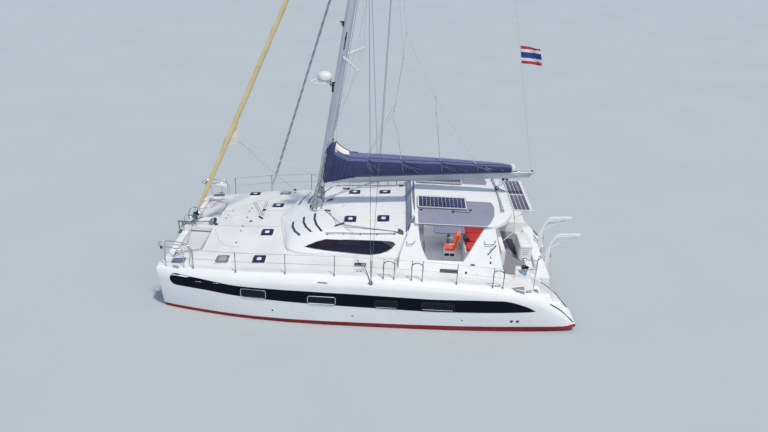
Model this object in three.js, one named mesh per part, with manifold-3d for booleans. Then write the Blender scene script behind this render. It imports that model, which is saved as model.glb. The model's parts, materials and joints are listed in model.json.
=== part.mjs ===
// A cruising catamaran afloat, in millimetres. +X is forward, +Y is port and +Z is up.
// The origin is on the waterline, on the centreline, half way along the hulls.
import * as THREE from 'three';
import { mergeVertices } from 'three/addons/utils/BufferGeometryUtils.js';
import Module from 'manifold-3d';

const wasm = await Module();
wasm.setup();

// Driving dimensions
const GAP = 0.3; // between pieces that touch
const BEAM = 7400;
const HULL_Y = 2880; // centreline of each hull
const BOOT_TOP = 100; // top of the underwater paint
const KEEL_DEPTH = 1230;
const BRIDGE_HALF = 2000; // half width of the bridge deck, where it meets the hulls
const WET_DECK = 680; // underside of the bridge deck
const SALOON_FLOOR = 820;
const COCKPIT_FLOOR = 900;
const SEAT_TOP = 1300;
const AFT_DECK = 1550;
const LOUNGE = { side: -620, top: 1920 };
const FOREDECK_FRONT = 5450;
const COCKPIT_AFT = -4260;
const BULKHEAD_X = -1300; // aft face of the saloon's bulkhead
const WALL = 60;
const HARDTOP = { front: -1400, aft: -4560, half: 2350, spine: 3250, side: 3050, thick: 70 };
const MAST = { foot: [1930, 0, 2330], rake: 8.4, top: 19500, halfLong: 130, halfWide: 80 };
const GOOSENECK = { z: 3440, aftOfMast: 215 };
const BOOM = { end: -5370, endZ: 4010, wide: 130, high: 220 };
const FORESTAY = { foot: [6250, 0, 1700], top: 16000 };
const CHAINPLATE = [-120, 3640, 1620];
const WIRE = 7; // radius of a stay
const RAIL = 13; // radius of a stanchion or rail tube

const materials = {};
function material(name, color, roughness, metalness = 0) {
  materials[name] = new THREE.MeshStandardMaterial({ name, color, roughness, metalness });
}
material('gelcoat', 0xf2f2ee, 0.3);
material('glass', 0x0a0d18, 0.05);
material('steel', 0xc8cccf, 0.2, 1);
material('alloy', 0xb4b9bf, 0.4, 0.8);
material('grey_deck', 0x8d9098, 0.7);
material('canvas', 0x2b3352, 0.9);
material('sailcloth', 0xe2d3a4, 0.8);
material('red_fabric', 0xc41f14, 0.8);
material('orange_fabric', 0xe8501e, 0.8);
material('net', 0xc9c6c0, 0.9);
material('bronze', 0xb08d3c, 0.4, 0.9);
material('solar', 0x16224a, 0.2);
material('wood', 0x7a4a2a, 0.6);
material('black', 0x16171a, 0.5);
material('flag', 0xd23440, 0.9);

// Solids and joining

// The closed mesh of a geometry as a solid.
function solid(geometry) {
  const bare = geometry.clone();
  bare.deleteAttribute('normal');
  bare.deleteAttribute('uv');
  const merged = mergeVertices(bare, 1e-3);
  const made = new wasm.Manifold(new wasm.Mesh({
    numProp: 3,
    vertProperties: new Float32Array(merged.attributes.position.array),
    triVerts: new Uint32Array(merged.index.array),
  }));
  return made;
}

function join(...solids) {
  return solids.reduce((sum, next) => sum.add(next));
}

function cut(body, ...tools) {
  return tools.reduce((rest, tool) => rest.subtract(tool), body);
}

function geometryOf(body) {
  const mesh = body.getMesh();
  const geometry = new THREE.BufferGeometry();
  geometry.setAttribute('position', new THREE.BufferAttribute(mesh.vertProperties.slice(), 3));
  geometry.setIndex(new THREE.BufferAttribute(mesh.triVerts.slice(), 1));
  return geometry;
}

// A copy of a solid, moved or turned by a matrix.
function placed(body, matrix) {
  const geometry = geometryOf(body);
  geometry.applyMatrix4(matrix);
  if (matrix.determinant() < 0) {
    const index = geometry.index.array;
    for (let i = 0; i < index.length; i += 3) {
      [index[i + 1], index[i + 2]] = [index[i + 2], index[i + 1]];
    }
  }
  return solid(geometry);
}

const shifted = (body, x, y, z) => placed(body, new THREE.Matrix4().makeTranslation(x, y, z));
const mirrored = (body) => placed(body, new THREE.Matrix4().makeScale(1, -1, 1));

// Basic shapes

function box(x0, x1, y0, y1, z0, z1) {
  const geometry = new THREE.BoxGeometry(x1 - x0, y1 - y0, z1 - z0);
  geometry.translate((x0 + x1) / 2, (y0 + y1) / 2, (z0 + z1) / 2);
  return solid(geometry);
}

// A straight round bar between two points.
function rod(from, to, radius, sides = 8) {
  const a = new THREE.Vector3(...from);
  const b = new THREE.Vector3(...to);
  const along = b.clone().sub(a);
  const geometry = new THREE.CylinderGeometry(radius, radius, along.length(), sides);
  const turn = new THREE.Quaternion().setFromUnitVectors(
    new THREE.Vector3(0, 1, 0),
    along.clone().normalize(),
  );
  geometry.applyQuaternion(turn);
  geometry.translate(...a.add(b).multiplyScalar(0.5).toArray());
  return solid(geometry);
}

// A round tube along a smooth curve through the points.
function tube(points, radius, steps, sides = 8) {
  const path = new THREE.CatmullRomCurve3(
    points.map((p) => new THREE.Vector3(...p)),
    false,
    'centripetal',
  );
  const section = new THREE.Shape();
  for (let i = 0; i < sides; i += 1) {
    const turn = (2 * Math.PI * i) / sides;
    const [u, v] = [radius * Math.cos(turn), radius * Math.sin(turn)];
    if (i === 0) section.moveTo(u, v);
    else section.lineTo(u, v);
  }
  return solid(new THREE.ExtrudeGeometry(section, { steps, extrudePath: path }));
}

function shapeOf(points) {
  return new THREE.Shape(points.map(([u, v]) => new THREE.Vector2(u, v)));
}

// A smooth outline through the points.
function curved(points, divisions) {
  const curve = new THREE.SplineCurve(points.map(([u, v]) => new THREE.Vector2(u, v)));
  return curve.getPoints(divisions).map((p) => [p.x, p.y]);
}

// An outline in X and Y, raised from z0 to z1.
function upright(outline, z0, z1) {
  const geometry = new THREE.ExtrudeGeometry(shapeOf(outline), {
    depth: z1 - z0,
    bevelEnabled: false,
    curveSegments: 5,
  });
  geometry.translate(0, 0, z0);
  return solid(geometry);
}

// An outline in X and Z, from y0 to y1.
function sideways(outline, y0, y1) {
  const geometry = new THREE.ExtrudeGeometry(shapeOf(outline), {
    depth: y1 - y0,
    bevelEnabled: false,
  });
  geometry.rotateX(Math.PI / 2);
  geometry.translate(0, y1, 0);
  return solid(geometry);
}

// An outline in Y and Z, from x0 to x1.
function lengthways(outline, x0, x1) {
  const geometry = new THREE.ExtrudeGeometry(shapeOf(outline), {
    depth: x1 - x0,
    bevelEnabled: false,
  });
  geometry.rotateX(Math.PI / 2);
  geometry.rotateZ(Math.PI / 2);
  geometry.translate(x0, 0, 0);
  return solid(geometry);
}

// A rectangle with round corners.
function roundedRect(long, wide, radius, x = 0, y = 0) {
  const shape = new THREE.Shape();
  const [u, v] = [long / 2, wide / 2];
  shape.absarc(x + u - radius, y + v - radius, radius, 0, Math.PI / 2);
  shape.absarc(x - u + radius, y + v - radius, radius, Math.PI / 2, Math.PI);
  shape.absarc(x - u + radius, y - v + radius, radius, Math.PI, 1.5 * Math.PI);
  shape.absarc(x + u - radius, y - v + radius, radius, 1.5 * Math.PI, 2 * Math.PI);
  return shape.getPoints(1).slice(0, -1).map((p) => [p.x, p.y]);
}

// A closed skin over rings of points that follow each other, each ring flat-capped at the ends.
function loft(rings) {
  const count = rings[0].length;
  const positions = rings.flat(2);
  const index = [];
  for (let r = 0; r + 1 < rings.length; r += 1) {
    for (let i = 0; i < count; i += 1) {
      const [a, b] = [r * count + i, r * count + ((i + 1) % count)];
      index.push(a, b, b + count, a, b + count, a + count);
    }
  }
  const last = (rings.length - 1) * count;
  const flat = (ring) => ring.map((p) => new THREE.Vector2(p[1], p[2]));
  for (const [a, b, c] of THREE.ShapeUtils.triangulateShape(flat(rings[0]), [])) {
    index.push(c, b, a);
  }
  for (const [a, b, c] of THREE.ShapeUtils.triangulateShape(flat(rings.at(-1)), [])) {
    index.push(last + a, last + b, last + c);
  }
  const geometry = new THREE.BufferGeometry();
  geometry.setAttribute('position', new THREE.Float32BufferAttribute(positions, 3));
  geometry.setIndex(index);
  return solid(geometry);
}

// Reads a column of a table smoothly between its rows, and never past them.
function column(table, at) {
  const rows = [...table].sort((a, b) => a[0] - b[0]);
  const slope = rows.slice(1).map((row, i) => (row[at] - rows[i][at]) / (row[0] - rows[i][0]));
  const tangent = rows.map((_, i) => {
    if (i === 0) return slope[0];
    if (i === rows.length - 1) return slope[i - 1];
    if (slope[i - 1] * slope[i] <= 0) return 0;
    return 2 / (1 / slope[i - 1] + 1 / slope[i]);
  });
  return (x) => {
    let i = 0;
    while (i < rows.length - 2 && x > rows[i + 1][0]) i += 1;
    const width = rows[i + 1][0] - rows[i][0];
    const t = Math.min(1, Math.max(0, (x - rows[i][0]) / width));
    const [t2, t3] = [t * t, t * t * t];
    return (2 * t3 - 3 * t2 + 1) * rows[i][at] + (t3 - 2 * t2 + t) * width * tangent[i]
      + (3 * t2 - 2 * t3) * rows[i + 1][at] + (t3 - t2) * width * tangent[i + 1];
  };
}

function table(names, rows) {
  return Object.fromEntries(names.map((name, i) => [name, column(rows, i + 1)]));
}

// Hulls, with the deck over them

// keel: bottom of the round hull. half: half breadth at the boot top. outer: outboard side.
// edge: height of the deck at its outboard edge. inner: inboard side. crown: deck height there.
const hull = table(['keel', 'half', 'outer', 'edge', 'inner', 'crown'], [
  [6640, 1050, 35, 2985, 1380, 2610, 1410],
  [6580, 600, 45, 3010, 1395, 2575, 1425],
  [6520, 110, 55, 3035, 1405, 2540, 1440],
  [6400, -200, 95, 3080, 1415, 2480, 1460],
  [6000, -400, 205, 3180, 1440, 2300, 1510],
  [5450, -480, 330, 3305, 1475, BRIDGE_HALF, 1570],
  [4000, -570, 600, 3560, 1580, BRIDGE_HALF, 1730],
  [2500, -630, 740, 3670, 1665, BRIDGE_HALF, 1830],
  [1000, -650, 780, BEAM / 2, 1705, BRIDGE_HALF, 1850],
  [-1000, -640, 775, BEAM / 2, 1690, BRIDGE_HALF, 1840],
  [-2750, -590, 735, 3690, 1620, BRIDGE_HALF, 1760],
  [-4000, -490, 670, 3640, 1530, BRIDGE_HALF, 1640],
  [-4800, -390, 610, 3570, 1420, BRIDGE_HALF, 1560],
  [-5340, -290, 565, 3500, 1270, BRIDGE_HALF, 1300],
  [-5700, -190, 535, 3450, 1090, 2030, 1050],
  [-6050, -70, 500, 3390, 850, 2070, 790],
  [-6350, 30, 465, 3310, 530, 2120, 470],
  [-6560, 100, 430, 3220, 270, 2180, 240],
  [-6640, 130, 400, 3170, 215, 2220, 200],
]);

const HULL_STATIONS = [-6640, -6560, -6450, -6300, -6050, -5800, -5550, -5340, -5050, -4700, -4300,
  -3700, -2750, -1500, 0, 1300, 2500, 3500, 4250, 4900, 5450, 5750, 6000, 6200, 6400, 6520, 6580,
  6640];
const SHOULDER = { high: 350, wide: 420, steps: 4 };
const BILGE_STEPS = 6;

// One ring of the port hull, from the keel round by the outboard side.
function hullRing(x) {
  const [keel, half, outer] = [hull.keel(x), hull.half(x), hull.outer(x)];
  const [edge, inner, crown] = [hull.edge(x), hull.inner(x), hull.crown(x)];
  const boot = Math.max(BOOT_TOP, keel + 60);
  const shoulder = Math.min(SHOULDER.high, (edge - boot) * 0.45);
  const wide = Math.min(SHOULDER.wide, (outer - inner) * 0.3);
  const ring = [];
  const bilge = (t) => [
    half * Math.sin((t * Math.PI) / 2) ** 0.8,
    boot + (keel - boot) * Math.cos((t * Math.PI) / 2),
  ];
  for (let i = 0; i <= BILGE_STEPS; i += 1) {
    const [out, z] = bilge(i / BILGE_STEPS);
    ring.push([x, HULL_Y + out, z]);
  }
  ring.push([x, outer, boot + 0.55 * (edge - shoulder - boot)]);
  for (let i = 0; i <= SHOULDER.steps; i += 1) {
    const turn = (i * Math.PI) / (2 * SHOULDER.steps);
    ring.push([
      x,
      outer - wide * (1 - Math.cos(turn)),
      edge - shoulder * (1 - Math.sin(turn)),
    ]);
  }
  ring.push([x, (outer - wide + inner) / 2, (edge + crown) / 2 + 15]);
  ring.push([x, inner, crown]);
  ring.push([x, inner, boot + 0.4 * (crown - boot)]);
  for (let i = BILGE_STEPS; i > 0; i -= 1) {
    const [out, z] = bilge(i / BILGE_STEPS);
    ring.push([x, HULL_Y - out, z]);
  }
  return ring;
}

const roughHull = loft(HULL_STATIONS.map(hullRing));

// The fin keel under each hull: a streamlined outline, narrower at its foot.
function finKeel() {
  const level = (z, nose, tail, half) => {
    const long = nose - tail;
    const row = [[0, 0], [0.1, 0.7], [0.3, 1], [0.6, 0.75], [1, 0.06]];
    const side = row.map(([t, w]) => [nose - t * long, HULL_Y + w * half, z]);
    const other = row.slice(1).reverse().map(([t, w]) => [nose - t * long, HULL_Y - w * half, z]);
    return [...side, ...other];
  };
  return verticalLoft([level(-KEEL_DEPTH, 1500, -300, 70), level(-500, 1800, -800, 130)]);
}

// A loft whose rings lie one above the other.
function verticalLoft(rings) {
  const laid = rings.map((ring) => ring.map(([x, y, z]) => [z, x, y]));
  const body = loft(laid);
  return placed(body, new THREE.Matrix4().set(0, 1, 0, 0, 0, 0, 1, 0, 1, 0, 0, 0, 0, 0, 0, 1));
}

// The drive leg that carries the propeller.
const DRIVE = { x: -3950, z: -860, shaft: -4120 };
function driveLeg() {
  const leg = sideways(
    [[DRIVE.x + 150, -300], [DRIVE.x + 130, -800], [DRIVE.x - 90, -930], [DRIVE.x - 130, -300]],
    HULL_Y - 35,
    HULL_Y + 35,
  );
  return join(leg, rod([DRIVE.x + 190, HULL_Y, DRIVE.z], [DRIVE.shaft, HULL_Y, DRIVE.z], 65, 10));
}

// Steps down to the water in the stern. Each row: aft end, forward end, level.
const STERN_STEPS = [
  [-5560, -5200, 1000],
  [-5950, -5540, 740],
  [-6330, -5930, 480],
  [-6800, -6310, 270],
];
function sternWell() {
  return join(...STERN_STEPS.map(([x0, x1, z]) => box(x0, x1, 2330, 3180, z, 2200)));
}

// Deck hatches of the port side: x, y, deck piece it is in, and the deck's slope there.
const LID = { size: 390, thick: 22, barrel: 11, rim: 455, well: 320, lift: 14 };
const HATCHES = [
  { name: 'hull_fore_hatch', x: 4620, y: 2710, z: 1618, pitch: 4, roll: -7.5, on: 'hull' },
  { name: 'hull_aft_hatch', x: 3450, y: 2740, z: 1698, pitch: 3.2, roll: -8, on: 'hull' },
  { name: 'foredeck_hatch', x: 3470, y: 1140, z: 1872, pitch: 3.4, roll: -5, on: 'bridge' },
  { name: 'roof_fore_hatch', x: 700, y: 1180, z: 2532, pitch: 2.2, roll: -4, on: 'roof' },
  { name: 'roof_aft_hatch', x: -390, y: 1160, z: 2602, pitch: 4.2, roll: -5.5, on: 'roof' },
];
const BOW_LOCKER = { x: 6020, y: 2700, z: 1486, pitch: 4, roll: -6.4, long: 420, wide: 260 };

function onDeck(body, { x, y, z, pitch, roll }) {
  const turn = new THREE.Matrix4().makeRotationFromEuler(new THREE.Euler(
    THREE.MathUtils.degToRad(roll),
    THREE.MathUtils.degToRad(pitch),
    0,
  ));
  return placed(body, turn.premultiply(new THREE.Matrix4().makeTranslation(x, y, z)));
}

const hatchRim = () => upright(roundedRect(LID.rim, LID.rim, 70), -60, LID.lift);
const hatchWell = () => upright(roundedRect(LID.well, LID.well, 50), -170, 60);

// A lid that lies on its rim, with its hinge along the forward edge.
function hatchLid(long, wide) {
  const lid = upright(
    roundedRect(long, wide, 40, -LID.barrel),
    LID.lift + GAP,
    LID.lift + GAP + LID.thick,
  );
  const hinge = LID.lift + GAP + LID.barrel;
  const edge = long / 2 - LID.barrel;
  const front = box(edge, long, -wide, wide, 0, 200);
  return join(
    cut(lid, front),
    rod([edge, -wide / 2 + 50, hinge], [edge, wide / 2 - 50, hinge], LID.barrel, 10),
  );
}

function lockerLid() {
  return onDeck(hatchLid(BOW_LOCKER.long, BOW_LOCKER.wide), BOW_LOCKER);
}

function portHull() {
  let body = join(roughHull, finKeel(), driveLeg());
  body = cut(body, sternWell());
  // the side bench and the aft deck are let into the hull's deck
  body = cut(
    body,
    box(COCKPIT_AFT, BULKHEAD_X - 100, BRIDGE_HALF - 10, 2800, SEAT_TOP + 60, 2400),
    box(-5450, COCKPIT_AFT + 1, BRIDGE_HALF - 10, 2600, AFT_DECK, 2400),
  );
  for (const hatch of HATCHES.filter((h) => h.on === 'hull')) {
    body = cut(join(body, onDeck(hatchRim(), hatch)), onDeck(hatchWell(), hatch));
  }
  const rim = upright(roundedRect(480, 320, 40), -60, LID.lift);
  const well = upright(roundedRect(360, 200, 30), -170, 60);
  return cut(join(body, onDeck(rim, BOW_LOCKER)), onDeck(well, BOW_LOCKER));
}

// Bridge deck

// under: bottom. middle: height of the deck on the centreline.
const bridge = table(['under', 'middle'], [
  [5450, 1120, 1640],
  [5100, 860, 1690],
  [4600, 730, 1790],
  [4000, WET_DECK, 1880],
  [3000, WET_DECK, 1950],
  [2350, WET_DECK, 1980],
  [-4260, WET_DECK, 1800],
  [-5450, WET_DECK, 1700],
]);
const BRIDGE_STATIONS = [-5450, -4800, -4000, -2750, -1000, 1000, 2500, 3250, 4000, 4500, 5000,
  5250, 5450];

function bridgeRing(x) {
  const side = BRIDGE_HALF - GAP;
  const [under, middle, crown] = [bridge.under(x), bridge.middle(x), Math.max(hull.crown(x), 1500)];
  const top = [1, 0.5, 0, -0.5, -1].map((t) => [
    x,
    side * t,
    middle + (crown - middle) * Math.abs(t) ** 1.6,
  ]);
  return [[x, -side, under], [x, side, under], ...top];
}

const roughBridge = loft(BRIDGE_STATIONS.map(bridgeRing));
const WALKWAY = { front: 6470, half: 430, top: 1640 };
const BOW_BEAM = { fore: 6550, aft: 6330, low: 1345, top: 1425 };
const NET_LEVEL = 1445;

function bridgeDeck() {
  const inside = BRIDGE_HALF - WALL;
  let body = cut(
    roughBridge,
    box(BULKHEAD_X + 50, 2350, -inside, inside, SALOON_FLOOR, 2400),
    box(COCKPIT_AFT, BULKHEAD_X + 51, -inside, inside, COCKPIT_FLOOR, 2400),
    box(COCKPIT_AFT, BULKHEAD_X - 100, -2100, 2100, SEAT_TOP + 60, 2400),
    box(-5600, COCKPIT_AFT + 1, -2100, 2100, AFT_DECK, 2400),
  );
  // the bench along the cockpit's aft and starboard sides
  body = join(
    body,
    box(COCKPIT_AFT - 1, -3250, -inside - 1, 700, COCKPIT_FLOOR - 1, SEAT_TOP),
    box(-3251, -1900, -inside - 1, -1300, COCKPIT_FLOOR - 1, SEAT_TOP),
  );
  // the step across the stern, between the hulls
  body = join(body, box(-5950, -5449, -BRIDGE_HALF + GAP, BRIDGE_HALF - GAP, 700, 1150));
  // the walkway from the foredeck to the bow beam
  body = join(body, sideways(
    [[5440, 1300], [5440, 1620], [WALKWAY.front, WALKWAY.top - 20],
      [WALKWAY.front, BOW_BEAM.low + 40], [6200, BOW_BEAM.low + 40], [5700, 1440]],
    -WALKWAY.half,
    WALKWAY.half,
  ));
  const { fore, aft, low, top } = BOW_BEAM;
  body = cut(body, box(aft - GAP, fore + GAP, -600, 600, low - GAP, top + GAP));
  // the back of the aft bench, the rim along the stern, and the raised lounge to starboard
  const side = BRIDGE_HALF - GAP;
  const back = COCKPIT_AFT - 130;
  body = join(
    body,
    box(back, COCKPIT_AFT + 1, -side, side, AFT_DECK - 1, 2050),
    box(-5450, -5380, -side, side, AFT_DECK - 1, 1680),
    box(-5440, back + 1, -side + 10, LOUNGE.side, AFT_DECK - 1, LOUNGE.top),
  );
  for (const hatch of HATCHES.filter((h) => h.on === 'bridge')) {
    for (const side of [(b) => b, mirrored]) {
      body = cut(join(body, side(onDeck(hatchRim(), hatch))), side(onDeck(hatchWell(), hatch)));
    }
  }
  return body;
}

// Saloon shell

// foot: half breadth at the deck. edge and edgeZ: where the side turns into the roof.
// crown: height on the centreline.
const saloon = table(['foot', 'edge', 'edgeZ', 'crown'], [
  [3140, 200, 80, 1928, 1940],
  [3060, 500, 330, 1940, 1965],
  [2980, 880, 660, 1955, 1995],
  [2850, 1420, 1160, 1990, 2055],
  [2700, 2050, 1640, 2040, 2125],
  [2600, 2230, 1780, 2080, 2165],
  [2300, 2390, 1930, 2200, 2290],
  [1950, 2440, 2000, 2320, 2400],
  [1500, 2450, 2030, 2400, 2495],
  [800, 2450, 2050, 2440, 2552],
  [-500, 2450, 2070, 2480, 2632],
  [BULKHEAD_X, 2450, 2100, 2550, 2715],
]);
const SALOON_STATIONS = [BULKHEAD_X, 0, 900, 1500, 1800, 2050, 2300, 2500, 2640, 2740, 2860, 2980,
  3060, 3140];
const SALOON_FOOT = 1500;

function saloonRing(x, inset) {
  const [foot, edge] = [saloon.foot(x) - inset, saloon.edge(x) - inset];
  const [edgeZ, crown] = [saloon.edgeZ(x) - inset * 0.8, saloon.crown(x) - inset];
  const side = [
    [foot, SALOON_FOOT],
    [foot, Math.min(1870, edgeZ - 40)],
    [edge + 0.12 * (foot - edge), edgeZ - 0.1 * (edgeZ - 1800)],
    [edge * 0.95, edgeZ + 0.2 * (crown - edgeZ)],
    [edge * 0.8, edgeZ + 0.48 * (crown - edgeZ)],
    [edge * 0.55, edgeZ + 0.77 * (crown - edgeZ)],
    [edge * 0.28, edgeZ + 0.95 * (crown - edgeZ)],
  ];
  const starboard = side.map(([y, z]) => [x, -y, z]).reverse();
  return [...side.map(([y, z]) => [x, y, z]), [x, 0, crown], ...starboard];
}

// The saloon's outside, moved in by the inset, between two stations.
function saloonBody(inset, aft = BULKHEAD_X, front = 3140) {
  const stations = [aft, ...SALOON_STATIONS.filter((x) => x > aft && x < front), front];
  return loft(stations.map((x) => saloonRing(x, inset)));
}

const SIDE_WINDOW = [[2080, 2000], [1700, 2155], [1420, 2240], [1350, 2250], [-640, 2300],
  [-760, 2285], [-820, 2225], [-720, 2110], [-560, 2015], [-330, 1945], [-60, 1905], [200, 1905],
  [1240, 1950]];
// The three curved slits of the port front: the inboard end and the outboard end of each.
const SLITS = [
  { from: [2650, 700], to: [2270, 1900], wide: 80 },
  { from: [2300, 580], to: [1900, 1890], wide: 80 },
  { from: [1930, 500], to: [1560, 1930], wide: 80 },
];
// The doorway in the bulkhead. lap: how far the door's leaf overlaps it. slide: the door's travel.
const DOORWAY = { y0: -720, y1: 150, z0: 960, z1: 2460, lap: 20, slide: 850 };

function slitOutline({ from, to, wide }, shrink) {
  const w = wide - 2 * shrink;
  const bow = 110;
  const steps = 3;
  const edge = (offset) => Array.from({ length: steps + 1 }, (_, i) => {
    const t = shrink / 1000 + (i / steps) * (1 - shrink / 500);
    const bulge = bow * Math.sin(Math.PI * t);
    return [from[0] + (to[0] - from[0]) * t + bulge + offset, from[1] + (to[1] - from[1]) * t];
  });
  return [...edge(w / 2), ...edge(-w / 2).reverse()];
}

function slitPrisms(shrink) {
  const port = SLITS.map((slit) => upright(slitOutline(slit, shrink).reverse(), 1900, 2800));
  return [...port, ...port.map(mirrored)];
}

function windowPrism(shrink) {
  const centre = [600, 2100];
  const outline = SIDE_WINDOW.map(([x, z]) => {
    const [dx, dz] = [x - centre[0], z - centre[1]];
    const reach = Math.hypot(dx, dz);
    return [x - (shrink * dx) / reach, z - (shrink * dz) / reach];
  });
  return sideways(outline, 1700, 2700);
}

// The decks a little above themselves: what stands on them is cut by these.
const hullSolid = portHull();
const bridgeSolid = bridgeDeck();
const DECKS = [
  shifted(roughHull, 0, 0, GAP),
  shifted(mirrored(roughHull), 0, 0, GAP),
  shifted(roughBridge, 0, 0, GAP),
];

function saloonShell() {
  const inside = BRIDGE_HALF - WALL;
  const outer = saloonBody(0);
  let shell = cut(outer, saloonBody(WALL, BULKHEAD_X + 50, 2980));
  shell = cut(shell, ...DECKS);
  // the bulkhead goes down to the cockpit's floor, inside the bridge deck's walls
  const floor = COCKPIT_FLOOR + GAP;
  const bulkhead = box(BULKHEAD_X, BULKHEAD_X + 50, -inside + GAP, inside - GAP, floor, 1900);
  const { y0, y1, z0, z1, lap, slide } = DOORWAY;
  // the door's sill and top track, on the bulkhead's forward face
  const track = (low, high) => (
    box(BULKHEAD_X + 49, BULKHEAD_X + 95, y0 - lap - slide - 20, y1 + lap + 20, low, high)
  );
  const sill = track(z0 - lap - 30, z0 - lap - GAP);
  shell = join(shell, bulkhead, sill, track(z1 + lap + GAP, z1 + lap + 20));
  shell = cut(shell, box(BULKHEAD_X - 200, BULKHEAD_X + 200, y0, y1, z0, z1));
  shell = cut(shell, windowPrism(0), mirrored(windowPrism(0)), ...slitPrisms(0));
  for (const hatch of HATCHES.filter((h) => h.on === 'roof')) {
    for (const side of [(b) => b, mirrored]) {
      shell = cut(join(shell, side(onDeck(hatchRim(), hatch))), side(onDeck(hatchWell(), hatch)));
    }
  }
  return shell;
}

const shellSolid = saloonShell();

function sideWindow() {
  return cut(windowPrism(0.5).intersect(saloonBody(12)), saloonBody(36));
}

// The front panes and the sheet behind them that they are bonded to.
function frontWindows() {
  const sheet = cut(
    saloonBody(WALL + 0.5, BULKHEAD_X + 50, 2980),
    saloonBody(WALL + 10, BULKHEAD_X + 50, 2980),
  ).intersect(box(1450, 2790, -1960, 1960, 1960, 3000));
  const panes = slitPrisms(0.5).map((prism) => cut(
    prism.intersect(saloonBody(12)),
    saloonBody(WALL + 5),
  ));
  return join(sheet, ...panes);
}

function saloonDoor() {
  const { y0, y1, z0, z1, lap } = DOORWAY;
  const x0 = BULKHEAD_X + 50 + GAP;
  const leaf = box(x0, x0 + 30, y0 - lap, y1 + lap, z0 - lap, z1 + lap);
  const handle = box(x0 + 29, x0 + 60, y0 + 20, y0 + 50, 1500, 1800);
  return join(leaf, handle);
}

// Saloon furniture on one board: an L-shaped settee, a table and a galley counter.
function saloonFurniture() {
  const z = SALOON_FLOOR + GAP;
  const board = z + 12;
  return join(
    box(-1100, 2250, -1850, 1850, z, board),
    box(300, 1900, 1150, 1850, board - 1, 1230),
    box(1300, 1900, -200, 1151, board - 1, 1230),
    box(300, 2000, 1700, 1850, 1229, 1650),
    box(350, 1150, 150, 1000, 1470, 1510),
    box(700, 800, 520, 620, board - 1, 1471),
    box(-1000, 2000, -1850, -1250, board - 1, 1700),
  );
}

// Cockpit coamings with their buttresses

const COAMING = { foot: 1700, footY: 3000, lean: 0.555, thick: 100 };
const COAMING_OUTLINE = [
  ...curved([[-930, 1450], [-950, 1900], [-1010, 2250], [-1190, 2700], [-1320, 3140]], 8),
  ...curved([[-1480, 3140], [-1505, 2970], [-1580, 2560], [-1700, 2240], [-1860, 1990]], 6),
  ...curved([[-2940, 1990], [-3110, 2220], [-3390, 2650], [-3620, 3000], [-3700, 3140]], 6),
  ...curved([[-3900, 3140], [-3930, 2950], [-4030, 2560], [-4160, 2050], [-4330, 1450]], 8),
];

function portCoaming() {
  const { foot, footY, lean, thick } = COAMING;
  const upper = geometryOf(sideways(COAMING_OUTLINE, footY - thick, footY));
  const position = upper.attributes.position;
  for (let i = 0; i < position.count; i += 1) {
    position.setY(i, position.getY(i) - lean * (position.getZ(i) - foot));
  }
  return solid(upper);
}

// Hardtop over the cockpit

function hardtopOutline(lower = 0) {
  const { half, spine, side, thick } = HARDTOP;
  const top = (y) => side + (spine - side) * (1 - (Math.abs(y) / half) ** 2) - lower;
  const ys = [1, 0.85, 0.65, 0.4, 0.15, -0.15, -0.4, -0.65, -0.85, -1].map((t) => t * half);
  return [
    [-half + 60, top(half) - thick],
    [half - 60, top(half) - thick],
    ...ys.map((y) => [y, top(y)]),
  ];
}

function hardtopBlock(lower = 0, grow = 0) {
  return lengthways(hardtopOutline(lower), HARDTOP.aft - grow, HARDTOP.front + grow);
}

// Half of the aft edge seen from above, and half of the edge of the hollow under it.
const AFT_EDGE = [[-4560, 1150], [-4510, 1480], [-4390, 1790], [-4210, 2060], [-3990, 2250],
  [-3760, 2335], [-3600, HARDTOP.half]];
const HOLLOW_EDGE = [[-4440, 1000], [-4370, 1400], [-4240, 1690], [-4080, 1910], [-3880, 2090],
  [-3600, 2200]];

// Everything between the two rounded corners of an aft edge.
function betweenCorners(edge) {
  const last = edge.at(-1)[1];
  const port = [...edge, [HARDTOP.front + 100, last]];
  return upright([...port, ...port.map(([x, y]) => [x, -y]).reverse()].reverse(), 2400, 3400);
}

function hardtop() {
  const { half, spine, side, thick, front, aft } = HARDTOP;
  const under = (y) => side + (spine - side) * (1 - (Math.abs(y) / half) ** 2) - thick;
  const ys = [-1, -0.6, -0.25, 0.25, 0.6, 1].map((t) => t * (half - 150));
  const hollow = lengthways(
    [...ys.map((y) => [y, under(y)]), [half - 150, 2500], [-half + 150, 2500]].reverse(),
    aft + 120,
    front - 120,
  ).intersect(betweenCorners(HOLLOW_EDGE));
  // the front edge comes down to the saloon roof
  const visor = cut(
    box(front - 60, BULKHEAD_X - GAP, -1900, 1900, 2600, 3120),
    shifted(saloonBody(0), 0, 0, GAP),
  );
  return cut(join(hardtopBlock().intersect(betweenCorners(AFT_EDGE)), visor), hollow);
}

const PANELS = { port: [-1490, -3080, 640, 1450], aft: [-4620, -5230, -1320, 1320] };
function solarPanel([x0, x1, y0, y1], z, tilt) {
  const panel = box(x1, x0, y0, y1, 0, 35);
  const turn = new THREE.Matrix4().makeRotationX(tilt);
  const middle = (y0 + y1) / 2;
  return placed(shifted(panel, 0, -middle, z), turn.premultiply(
    new THREE.Matrix4().makeTranslation(0, middle, 0),
  ));
}

function portPanel() {
  const height = 3238;
  const panel = shifted(solarPanel(PANELS.port, 0, -0.0757), 0, 0, height);
  const feet = [[-1600, 740], [-1600, 1350], [-2970, 740], [-2970, 1350]];
  const legs = feet.map(([x, y]) => (
    rod([x, y, 3100], [x, y, height + 17 - 0.0757 * (y - 1045)], 20, 8)
  ));
  return cut(join(panel, ...legs), shifted(hardtopBlock(0, 50), 0, 0, GAP));
}

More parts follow.
